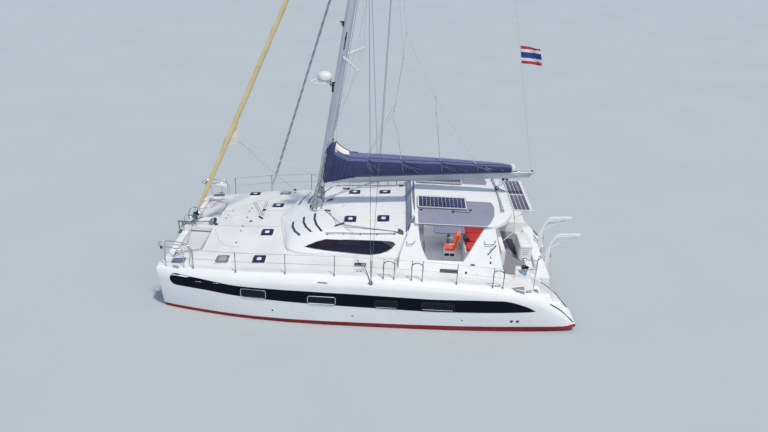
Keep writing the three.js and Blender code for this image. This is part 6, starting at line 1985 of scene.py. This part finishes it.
def swell(piece, voxel, pressure, cap):
    """Stuffs the closed shapes of a piece like cushions, by simulated cloth with air inside."""
    mesh = bpy.data.meshes.new("swollen")
    piece.bm.to_mesh(mesh)
    obj = bpy.data.objects.new("swollen", mesh)
    scene.collection.objects.link(obj)

    def shaped():
        return bpy.data.meshes.new_from_object(
            obj.evaluated_get(bpy.context.evaluated_depsgraph_get()))

    voxels = obj.modifiers.new("voxels", "REMESH")
    voxels.mode = "VOXEL"
    voxels.voxel_size = voxel
    fine = shaped()
    obj.modifiers.remove(voxels)
    obj.data = fine
    start = [v.co.copy() for v in fine.vertices]
    soft = obj.modifiers.new("stuffing", "CLOTH")
    soft.settings.quality = 5
    soft.settings.mass = 0.3
    soft.settings.use_pressure = True
    soft.settings.uniform_pressure_force = pressure
    soft.settings.effector_weights.gravity = 0
    soft.point_cache.frame_start = 1
    soft.point_cache.frame_end = STUFFING_FRAMES
    for moment in range(1, STUFFING_FRAMES + 1):
        scene.frame_set(moment)
    stuffed = shaped()
    obj.modifiers.remove(soft)
    scene.frame_set(1)
    for vert, was, now in zip(fine.vertices, start, stuffed.vertices):
        move = now.co - was
        if move.length > cap:
            move *= cap / move.length
        vert.co = was + move
    bm = bmesh.new()
    bm.from_mesh(fine)
    bmesh.ops.subdivide_edges(bm, edges=bm.edges, cuts=1, smooth=0.6, use_grid_fill=True)
    bmesh.ops.smooth_vert(bm, verts=bm.verts, factor=0.5, use_axis_x=True,
        use_axis_y=True, use_axis_z=True)
    bpy.data.objects.remove(obj)
    piece.bm.free()
    piece.bm = bm
    return BVHTree.FromBMesh(bm)


def piping(seams, tree, low, high, up, radius, finish):
    """A sewn edge round the top of a cushion, laid on its swollen surface."""
    low, high = Vector(low), Vector(high)
    a, b = [i for i in range(3) if i != up]
    inset = 0.015
    loop = []
    outline = rounded(corners(low[a] + inset, low[b] + inset, high[a] - inset, high[b] - inset),
        0.05, 3)
    for p, q in zip(outline, outline[1:] + outline[:1]):
        count = max(1, round((Vector(q) - Vector(p)).length / 0.06))
        for i in range(count):
            spot = rise(0)
            spot[a] = p[0] + (q[0] - p[0]) * i / count
            spot[b] = p[1] + (q[1] - p[1]) * i / count
            spot[up] = high[up] + 0.02
            hit, normal, _, far = tree.find_nearest(spot)
            if hit is not None and far < 0.08:
                loop.append(hit + normal * radius * 0.4)
    if len(loop) > 6:
        seams.tube(loop, radius, finish, 6, closed=True)


SEAT_LOW, SEAT_HIGH, BACK_HIGH = 1.302, 1.408, 1.835
SEATS = [((-4.255, -1.935), (-3.275, -1.33)), ((-4.255, -1.315), (-3.275, -0.66)),
    ((-4.255, -0.645), (-3.275, 0.015)), ((-4.255, 0.03), (-3.275, 0.685)),
    ((-3.26, -1.935), (-2.59, -1.315)), ((-2.575, -1.935), (-1.915, -1.315))]
BACKS = [((-4.255, -1.69), (-4.14, -1.1)), ((-4.255, -1.085), (-4.14, -0.5)),
    ((-4.255, -0.485), (-4.14, 0.095)), ((-4.255, 0.11), (-4.14, 0.685)),
    ((-3.895, -1.935), (-3.24, -1.825)), ((-3.225, -1.935), (-2.575, -1.825)),
    ((-2.56, -1.935), (-1.915, -1.825))]


def cockpit_seats():
    pads = Piece("cockpit_seat_pads", RED_VINYL)
    give = 0.012
    boxes = [((x0, y0, SEAT_LOW), (x1, y1, SEAT_HIGH), 2) for (x0, y0), (x1, y1) in SEATS]
    boxes += [((x0, y0, SEAT_HIGH + 0.012), (x1, y1, BACK_HIGH), 0 if x1 - x0 < 0.2 else 1)
        for (x0, y0), (x1, y1) in BACKS]
    for low, high, _ in boxes:
        pads.block(Vector(low) + xyz(give, give, 0.004), Vector(high) - xyz(give, give,
            give), 0.028, 0, None, 3)
    tree = swell(pads, 0.024, 4.0, 0.02)
    made = pads.done(slot="red_fabric", angle=80, stands_for=["cockpit_cushions"])
    seams = Piece("cockpit_seat_piping", RED_PIPING)
    for low, high, up in boxes:
        piping(seams, tree, low, high, up, 0.006, 0)
    seams.done(slot="red_fabric", angle=80)
    scatter = Piece("scatter_cushion", DARK_CLOTH)
    scatter.block((-3.46, -0.2, 1.435), (-3.2, 0.1, 1.49), 0.024, 0, None, 3)
    tree = swell(scatter, 0.014, 5.0, 0.03)
    scatter.done(slot="canvas", angle=80)
    edge = Piece("scatter_cushion_edge", DARK_CLOTH)
    piping(edge, tree, (-3.47, -0.21, 1.42), (-3.19, 0.11, 1.46), 2, 0.004, 0)
    edge.done(slot="canvas", angle=80)


def saloon_seats():
    pads = Piece("saloon_seat_pads", RED_VINYL, CREAM_VINYL)
    runs, foot, top = ((0.32, 0.83), (0.85, 1.36), (1.38, 1.88)), 1.234, 1.335
    boxes = [((a, 1.17, foot), (b, 1.69, top)) for a, b in runs]
    boxes += [((1.32, a, foot), (1.88, b, top)) for a, b in ((0.5, 1.14), (-0.18, 0.48))]
    boxes += [((a, 1.58, 1.35), (b, 1.69, 1.66)) for a, b in runs]
    for low, high in boxes:
        pads.block(Vector(low) + xyz(0.01, 0.01, 0.002), Vector(high) - xyz(0.01, 0.01,
            0.01), 0.026, 0, None, 3)
    swell(pads, 0.026, 4.0, 0.016)
    for face in pads.bm.faces:
        middle = face.calc_center_median()
        face.material_index = 1 if middle.z > 1.63 and middle.y > 1.55 else 0
    pads.done(slot="red_fabric", angle=80)


def helm_seat():
    x, y = -2.7, 0.69
    chair = Piece("helm_chair_frame", WHITE, BLACK, ALLOY, ORANGE_EDGE, STEEL)
    chair.block((x - 0.215, y - 0.22, 0.905), (x + 0.2, y + 0.22, 0.95), 0.012, 2)
    chair.block((x - 0.2, y - 0.21, 0.95), (x + 0.19, y + 0.21, 1.415), 0.022, 0)
    for x0 in (x - 0.18, x + 0.005):
        for side in (-1, 1):
            face = y + side * 0.21
            chair.block((x0, face - 0.006, 1.22), (x0 + 0.165, face + 0.006, 1.33), 0.004, 1)
            chair.tube([(x0, face + side * 0.004, 1.22), (x0 + 0.165, face + side * 0.004, 1.22),
                (x0 + 0.165, face + side * 0.004, 1.33), (x0, face + side * 0.004, 1.33)],
                0.006, 0, 6, closed=True)
    for z in (1.05, 1.18):
        for side in (-1, 1):
            chair.block((x - 0.17, y + side * 0.208 - 0.004, z - 0.002),
                (x + 0.16, y + side * 0.208 + 0.004, z + 0.002), 0.001, 2)
    shell = smooth_path([(-2.905, 0, 1.45), (-2.96, 0, 1.62), (-3.0, 0, 1.82), (-3.01, 0, 2.02)],
        6)
    for side in (-1, 1):
        chair.tube([p + xyz(-0.002, y + side * 0.24, 0) for p in shell], 0.015, 3, 8)
    chair.tube([shell[-1] + xyz(-0.002, y + t * 0.24, 0.0) for t in (-1, -0.5, 0, 0.5, 1)], 0.015,
        3, 8)
    for side in (-1, 1):
        arm = smooth_path([(-2.96, y + side * 0.245, 1.66), (-2.8, y + side * 0.247, 1.69),
            (-2.62, y + side * 0.247, 1.66), (-2.56, y + side * 0.245, 1.5)], 5)
        chair.tube(arm, 0.014, 4, 8)
    chair.done(slot="gelcoat", angle=40, stands_for=["helm_chair"])
    pads = Piece("helm_seat_pads", ORANGE_VINYL)
    pads.block((-2.9, 0.462, 1.426), (-2.51, 0.918, 1.495), 0.026, 0, None, 3)
    part = bmesh.new()
    bmesh.ops.create_grid(part, x_segments=14, y_segments=16, size=0.5,
        matrix=Matrix.Translation((0.5, 0.5, 0)))
    for vert in part.verts:
        u, v = vert.co.x, vert.co.y
        spine = shell[min(len(shell) - 1, round(v * (len(shell) - 1)))]
        hug = 0.05 * (2 * u - 1) ** 2
        vert.co = xyz(spine.x + 0.02 + hug, y + (u - 0.5) * 0.44, 1.52 + 0.49 * v)
    thicken(part, 0.055, recalculate=False)
    pads.take(part)
    tree = swell(pads, 0.014, 4.0, 0.016)
    pads.done(slot="orange_fabric", angle=80)
    seams = Piece("helm_seat_piping", ORANGE_EDGE)
    piping(seams, tree, (-2.905, 0.455, 1.42), (-2.505, 0.925, 1.49), 2, 0.005, 0)
    seams.done(slot="orange_fabric", angle=80)


# Bow gear

def chain(piece, a, b, size=0.03, thick=0.0042, finish=0):
    a, b = Vector(a), Vector(b)
    run = (b - a).normalized()
    count = round((b - a).length / (size * 0.78))
    for i in range(count):
        spot = a.lerp(b, (i + 0.5) / count)
        side = run.cross(rise(1)) if i % 2 else rise(1)
        side.normalize()
        loop = []
        for k in range(10):
            t = math.tau * k / 10
            loop.append(spot + run * size * 0.55 * math.cos(t) + side * size * 0.34 * math.sin(t))
        piece.tube(loop, thick, finish, 6, closed=True)


def windlass():
    gear = Piece("windlass", GALVANISED, BLACK, STEEL, WHITE_PLASTIC)
    gear.block((5.47, -0.08, 1.64), (5.69, 0.18, 1.712), 0.022, 1)
    gear.turned([(0.075, 0.0), (0.08, 0.03), (0.06, 0.05), (0.055, 0.075), (0.045, 0.085),
        (0, 0.088)], (5.58, 0.05, 1.705), (0, 0, 1), 2, 24)
    gear.turned([(0.05, -0.01), (0.078, 0.0), (0.078, 0.012), (0.05, 0.03), (0.05, 0.045),
        (0.078, 0.062), (0.078, 0.074), (0.03, 0.084), (0, 0.086)],
        (5.58, 0.167, 1.69), (0, 1, 0), 0, 24)
    for i in range(5):
        a = math.tau * i / 5
        spot = xyz(5.58 + 0.062 * math.cos(a), 0.204, 1.69 + 0.062 * math.sin(a))
        gear.ball(spot, (0.014, 0.02, 0.014), 0, 8)
    gear.turned([(0.03, 0), (0.06, 0.0), (0.064, 0.05), (0.05, 0.07), (0, 0.075)],
        (5.53, -0.068, 1.69), (0, -1, 0), 1, 20)
    gear.done(slot="steel", angle=45)
    links = Piece("anchor_chain", GALVANISED)
    chain(links, (5.64, 0.2, 1.755), (6.2, 0.2, 1.705), 0.05, 0.007)
    links.done(slot="steel", angle=80)
    roller = Piece("anchor_roller", STEEL, BLACK, GALVANISED)
    for y in (0.148, 0.252):
        roller.slab([(6.12, 1.5), (6.62, 1.47), (6.66, 1.52), (6.62, 1.58), (6.2, 1.6),
            (6.12, 1.56)], y - 0.004, y + 0.004, 0.002, 0, "XZ")
    for x in (6.24, 6.56):
        roller.turned([(0.018, -0.045), (0.036, -0.04), (0.024, 0.0), (0.036, 0.04),
            (0.018, 0.045)], (x, 0.2, 1.53), (0, 1, 0), 1, 18)
        roller.rod((x, 0.14, 1.53), (x, 0.26, 1.53), 0.009, 0, 10)
    roller.tube(smooth_path([(6.2, 0.2, 1.62), (6.34, 0.2, 1.64), (6.48, 0.2, 1.62)], 5), 0.009, 0,
        8)
    roller.done(slot="steel", angle=45)
    vent = Piece("deck_vent", BLACK, STEEL)
    spot, normal = DECKS.under(5.41, 0.22)
    vent.turned([(0, 0.05), (0.04, 0.045), (0.052, 0.025), (0.055, 0.0), (0.06, -0.004)],
        spot, normal, 0, 20)
    vent.ring(spot + normal * 0.002, 0.06, 0.005, normal, 1, 24, 6)
    vent.done(slot="black", angle=45)


# Lines over the nets by the bow. The black ones are painted shade: dark lines where the pulpit's
# shaded tubes show. The last two are white lines.
BOW_LINES_WITH_PAINTED_SHADE = [
    ((6.53, 1.48, 1.43), (6.17, 1.55, 1.47), 1), ((6.29, 2.23, 1.47), (5.51, 2.1, 1.62), 1),
    ((6.53, 2.07, 1.44), (6.2, 2.45, 1.5), 1), ((6.06, 1.58, 1.475), (5.7, 2.25, 1.64), 1),
    ((6.24, 2.06, 1.472), (5.95, 1.98, 1.475), 0), ((6.15, 1.93, 1.472), (5.94, 1.88, 1.472), 0),
]


def bow_rails():
    """Hoops round the walkway's end, lines over the nets (the black ones painted shade, where the
    pulpit's shaded tubes show), the bow seat and the bow lamps.
    """
    hoops = Piece("walkway_hoop", STEEL)
    hoops.tube(smooth_path([(6.02, 0.37, 1.49), (6.1, 0.375, 1.84), (6.25, 0.36, 2.0),
        (6.42, 0.3, 1.98), (6.5, 0.28, 1.8), (6.52, 0.28, 1.43)], 6), 0.0135)
    hoops.tube(smooth_path([(6.06, 0.375, 1.7), (6.3, 0.36, 1.73), (6.5, 0.285, 1.7)], 6), 0.0105)
    hoops.tube([(6.27, 0.358, 2.0), (6.3, 0.36, 1.73), (6.32, 0.35, 1.46)], 0.0105)
    for x, y, z in ((6.02, 0.37, 1.47), (6.32, 0.35, 1.44), (6.52, 0.28, 1.428)):
        hoops.turned([(0.03, 0.0), (0.03, 0.008), (0.016, 0.02)], (x, y, z), (0, 0, 1), 0, 16)
    hoops.pair(slot="steel", angle=60)
    lines = Piece("bow_lines_with_painted_shade", ROPE_WHITE, ROPE_BLACK, STEEL)
    for *ends, finish in BOW_LINES_WITH_PAINTED_SHADE:
        a, b = (Vector(end) for end in ends)
        lines.tube([a.lerp(b, i / 6) + rise(0.008) for i in range(7)], 0.008, finish, 6)
        lines.rod(a, a + rise(0.02), 0.014, 2, 10)
    lines.pair(slot="black", angle=60)
    seat = Piece("pulpit_seat", WHITE_PLASTIC, STEEL)
    seat.slab(rounded([(5.7, -2.93), (6.1, -2.98), (6.12, -2.62), (5.72, -2.6)], 0.08), 1.9, 1.945,
        0.014)
    for x in (5.78, 6.04):
        seat.tube([(x, -2.93, 1.93), (x, -2.93, 1.9), (x, -2.66, 1.9), (x, -2.66, 1.93)], 0.01, 1)
    spot = DECKS.under(5.91, 2.77)[0]
    seat.rod((5.91, -2.77, spot.z), (5.91, -2.77, 1.905), 0.02, 1)
    seat.done(slot="gelcoat", angle=45)
    lamp = Piece("bow_lamp", BLACK, LAMP_RED)
    other = Piece("starboard_bow_lamp", BLACK, LAMP_GREEN)
    for piece, side in ((lamp, 1), (other, -1)):
        at = xyz(6.5, side * 2.78, 1.98)
        piece.block_at(at, (-0.03, -0.03, -0.03), (0.03, 0.03, 0.035), 0.012, 0)
        piece.ball(at + xyz(0.022, side * 0.014, 0), (0.022, 0.026, 0.024), 1, 14)
        piece.rod(at + rise(-0.06), at, 0.012, 0)
        piece.done(slot="black", angle=45)


# Stern and cockpit gear

def stern_gear():
    box = Piece("stern_locker_trim", WHITE_PLASTIC, BLACK, STEEL, SEAM)
    x0, x1, y0, y1, top = -5.34, -4.92, 0.525, 1.575, 2.08
    rim = [Vector((*p, top - 0.1)) for p in rounded(corners(x0, y0, x1, y1), 0.06)]
    middle = xyz(-5.13, 1.05, 0)
    box.tube([p + (p - middle).normalized() * 0.002 for p in rim], 0.006, 3, 6, closed=True)
    box.slab(rounded(corners(x0 + 0.03, y0 + 0.03, x1 - 0.03, y1 - 0.03), 0.05), top - 0.004,
        top + 0.006, 0.005)
    for z in (1.76, 1.83, 1.9):
        box.block((-5.23, y1 - 0.004, z - 0.006), (-5.02, y1 + 0.004, z + 0.006), 0.003, 3)
    for y in (0.8, 1.3):
        box.block((x1 - 0.006, y - 0.025, top - 0.15),
            (x1 + 0.014, y + 0.025, top - 0.06), 0.006, 2)
    for y in (0.75, 1.35):
        box.rod((x0 - 0.008, y - 0.05, top - 0.1), (x0 - 0.008, y + 0.05, top - 0.1), 0.01, 2)
    box.block((-5.2, y1 - 0.02, 1.553), (-5.06, y1 + 0.015, 1.62), 0.01, 1)
    box.done(slot="gelcoat", angle=45)
    # A dark navy slab on the aft deck, where a dark opening shows: painted shade.
    deck = Piece("stern_opening_painted_shade", LOUNGE_NAVY, STEEL)
    rows = [(-4.72, 0.01), (-4.91, 0.0), (-4.912, 1.15), (-4.85, 1.21), (-4.75, 0.8), (-4.72, 0.4)]
    deck.slab(rounded(rows, 0.04), 1.549, 1.566, 0.005)
    deck.done(slot="black", angle=45)
    pail = Piece("bucket", PALE_BLUE, LOUNGE_NAVY, STEEL)
    foot = xyz(-5.0, 2.36, DECKS.under(-5.0, 2.36)[0].z + 0.002)
    pail.turned([(0, 0.0), (0.085, 0.0), (0.09, 0.01), (0.104, 0.17), (0.108, 0.175)],
        foot, (0, 0, 1), 0, 28)
    pail.turned([(0.1075, 0.172), (0.118, 0.25), (0.124, 0.255), (0.118, 0.262), (0.108, 0.252),
        (0.1, 0.18), (0, 0.17)], foot, (0, 0, 1), 1, 28)
    pail.tube([foot + xyz(0.122 * math.cos(a), 0.03 + 0.05 * math.sin(a),
        0.25 + 0.08 * math.sin(a)) for a in (math.pi * i / 12 for i in range(13))], 0.004, 2, 6)
    pail.done(slot="gelcoat", angle=50)
    falls = Piece("davit_falls", ROPE_WHITE, BLACK, STEEL, WHITE_PLASTIC)
    for x in (-7.02, -6.96):
        falls.rod((x, 0.66, 2.13), (x, 0.74, 2.13), 0.028, 1, 16)
    tip, low = xyz(-6.98, 0.7, 2.1), xyz(-6.3, 0.7, 1.93)
    falls.tube(smooth_path([tip, tip.lerp(low, 0.5) + xyz(0, 0.01, -0.05), low,
        xyz(-6.16, 0.7, 1.7)], 6), 0.008, 0, 6)
    falls.tube(smooth_path([tip + xyz(0.02, 0.02, 0), tip.lerp(low, 0.5) + xyz(0, 0.03, -0.08),
        low + xyz(0, 0.01, -0.03)], 6), 0.008, 0, 6)
    falls.block((-6.19, 0.655, 1.3), (-6.13, 0.745, 1.42), 0.012, 2)
    for i in range(5):
        falls.tube([(-6.19, 0.66 + 0.02 * i, 1.42), (-6.2, 0.665 + 0.02 * i, 1.3 - 0.05 * (i % 2)),
            (-6.19, 0.67 + 0.02 * i, 1.41)], 0.006, 0, 6)
    falls.pair(slot="net", angle=50)


def platform_steps():
    """Non-skid pads on the stern steps."""
    pads = Piece("step_pads", GREY_DECK, BLACK)
    for x0, x1, y0, y1 in ((-5.5, -5.2, 2.45, 3.3), (-5.86, -5.62, 2.5, 3.25),
            (-6.2, -5.98, 2.55, 3.2)):
        middle = DECKS.under((x0 + x1) / 2, (y0 + y1) / 2)
        if middle[0] is None or middle[1].z < 0.7:
            continue
        place = planted(*middle)
        pads.block(((x0 - x1) / 2 + 0.03, (y0 - y1) / 2 + 0.05, -0.001),
            ((x1 - x0) / 2 - 0.03, (y1 - y0) / 2 - 0.05, 0.004), 0.0015, 0, place)
    if pads.bm.faces:
        pads.pair(slot="grey_deck", angle=45)


WHEEL_X, HELM_Y, WHEEL_Z = -1.78, 1.52, 1.7


def helm_gear():
    dash = Piece("helm_instruments", BLACK, STEEL, GLASS, WHITE_PLASTIC, ALLOY)
    tilt = math.atan2(0.15, 0.28)
    face = Matrix.Translation((-1.56, HELM_Y, 1.935)) @ Matrix.Rotation(-tilt, 4, "Y")
    dash.block((-0.12, -0.33, 0.0), (0.13, 0.33, 0.02), 0.01, 0, face)
    for x, y, r in ((0.05, 0.23, 0.045), (0.05, 0.11, 0.045), (-0.06, 0.25, 0.035),
            (-0.06, -0.25, 0.035)):
        place = face @ xyz(x, y, 0.02)
        axis = face.to_3x3() @ rise(1)
        dash.turned([(0, 0.006), (r * 0.86, 0.006), (r, 0.012), (r + 0.006, 0.008),
            (r + 0.006, 0.0)], place, axis, 1, 24)
        dash.turned([(0, 0.0082), (r * 0.8, 0.0082), (r * 0.82, 0.004)], place, axis, 2, 24)
    dash.block((-0.07, -0.16, 0.02), (0.11, 0.06, 0.05), 0.01, 0, face)
    dash.block((-0.055, -0.145, 0.05), (0.095, 0.045, 0.053), 0.002, 2, face)
    for i in range(6):
        place = face @ xyz(-0.1, -0.15 + 0.05 * i, 0.02)
        dash.rod(place, place + face.to_3x3() @ rise(0.018), 0.009, 1, 10)
    lever = xyz(-1.5, 1.84, 2.0)
    dash.block_at(lever, (-0.06, -0.03, -0.03), (0.06, 0.03, 0.02), 0.014, 3)
    for side in (-1, 1):
        dash.rod(lever + xyz(0, side * 0.022, 0), lever + xyz(-0.03, side * 0.03, 0.13), 0.008, 1)
        dash.ball(lever + xyz(-0.03, side * 0.03, 0.14), (0.016, 0.013, 0.02), 0)
    dash.turned([(0, 0.11), (0.05, 0.09), (0.068, 0.05), (0.07, 0.0)],
        (-1.38, 1.5, 2.005), (0, 0, 1), 0, 26)
    dash.turned([(0, 0.02), (0.055, 0.016), (0.06, 0.0)], (-1.38, 1.5, 2.095), (0, 0, 1), 4, 22)
    dash.done(slot="black", angle=45)
    grip_ring = Piece("wheel_cover", GREY_PLASTIC, STEEL)
    grip_ring.ring((WHEEL_X, HELM_Y, WHEEL_Z), 0.33, 0.0175, (1, 0, 0), 0, 64, 12)
    grip_ring.turned([(0, 0.034), (0.03, 0.03), (0.044, 0.012), (0.046, 0.0)],
        (-1.808, HELM_Y, WHEEL_Z), (-1, 0, 0), 1, 24)
    grip_ring.done("helm_wheel", "steel", 60)
    table = Piece("table_edge", TABLE_SLATE, STEEL)
    loop = rounded(corners(-3.3, -0.875, -2.2, -0.125), 0.12, 5)
    table.tube([(x, y, 1.601) for x, y in loop], 0.007, 0, 6, closed=True)
    table.tube([(-3.28, -0.5, 1.6035), (-2.22, -0.5, 1.6035)], 0.002, 1, 6)
    table.done(slot="wood", angle=60)


RED_PIPING = leather("red_piping", 0x8E120C, 0x5A0A07)
ORANGE_EDGE = leather("orange_edge", 0xF08A68, 0xE06A44)
DARK_CLOTH = cloth("dark_cushion", 0x1C2A26, 0x10191A, 0x34463E)
LOUNGE_NAVY = rubber("navy_plastic", 0x141A30, 0x222A48, 0.45)
PALE_BLUE = rubber("pale_blue_plastic", 0x9EBBD6, 0x7F9EC0, 0.4)

trampolines()
cockpit_seats()
saloon_seats()
helm_seat()
windlass()
bow_rails()
stern_gear()
platform_steps()
helm_gear()
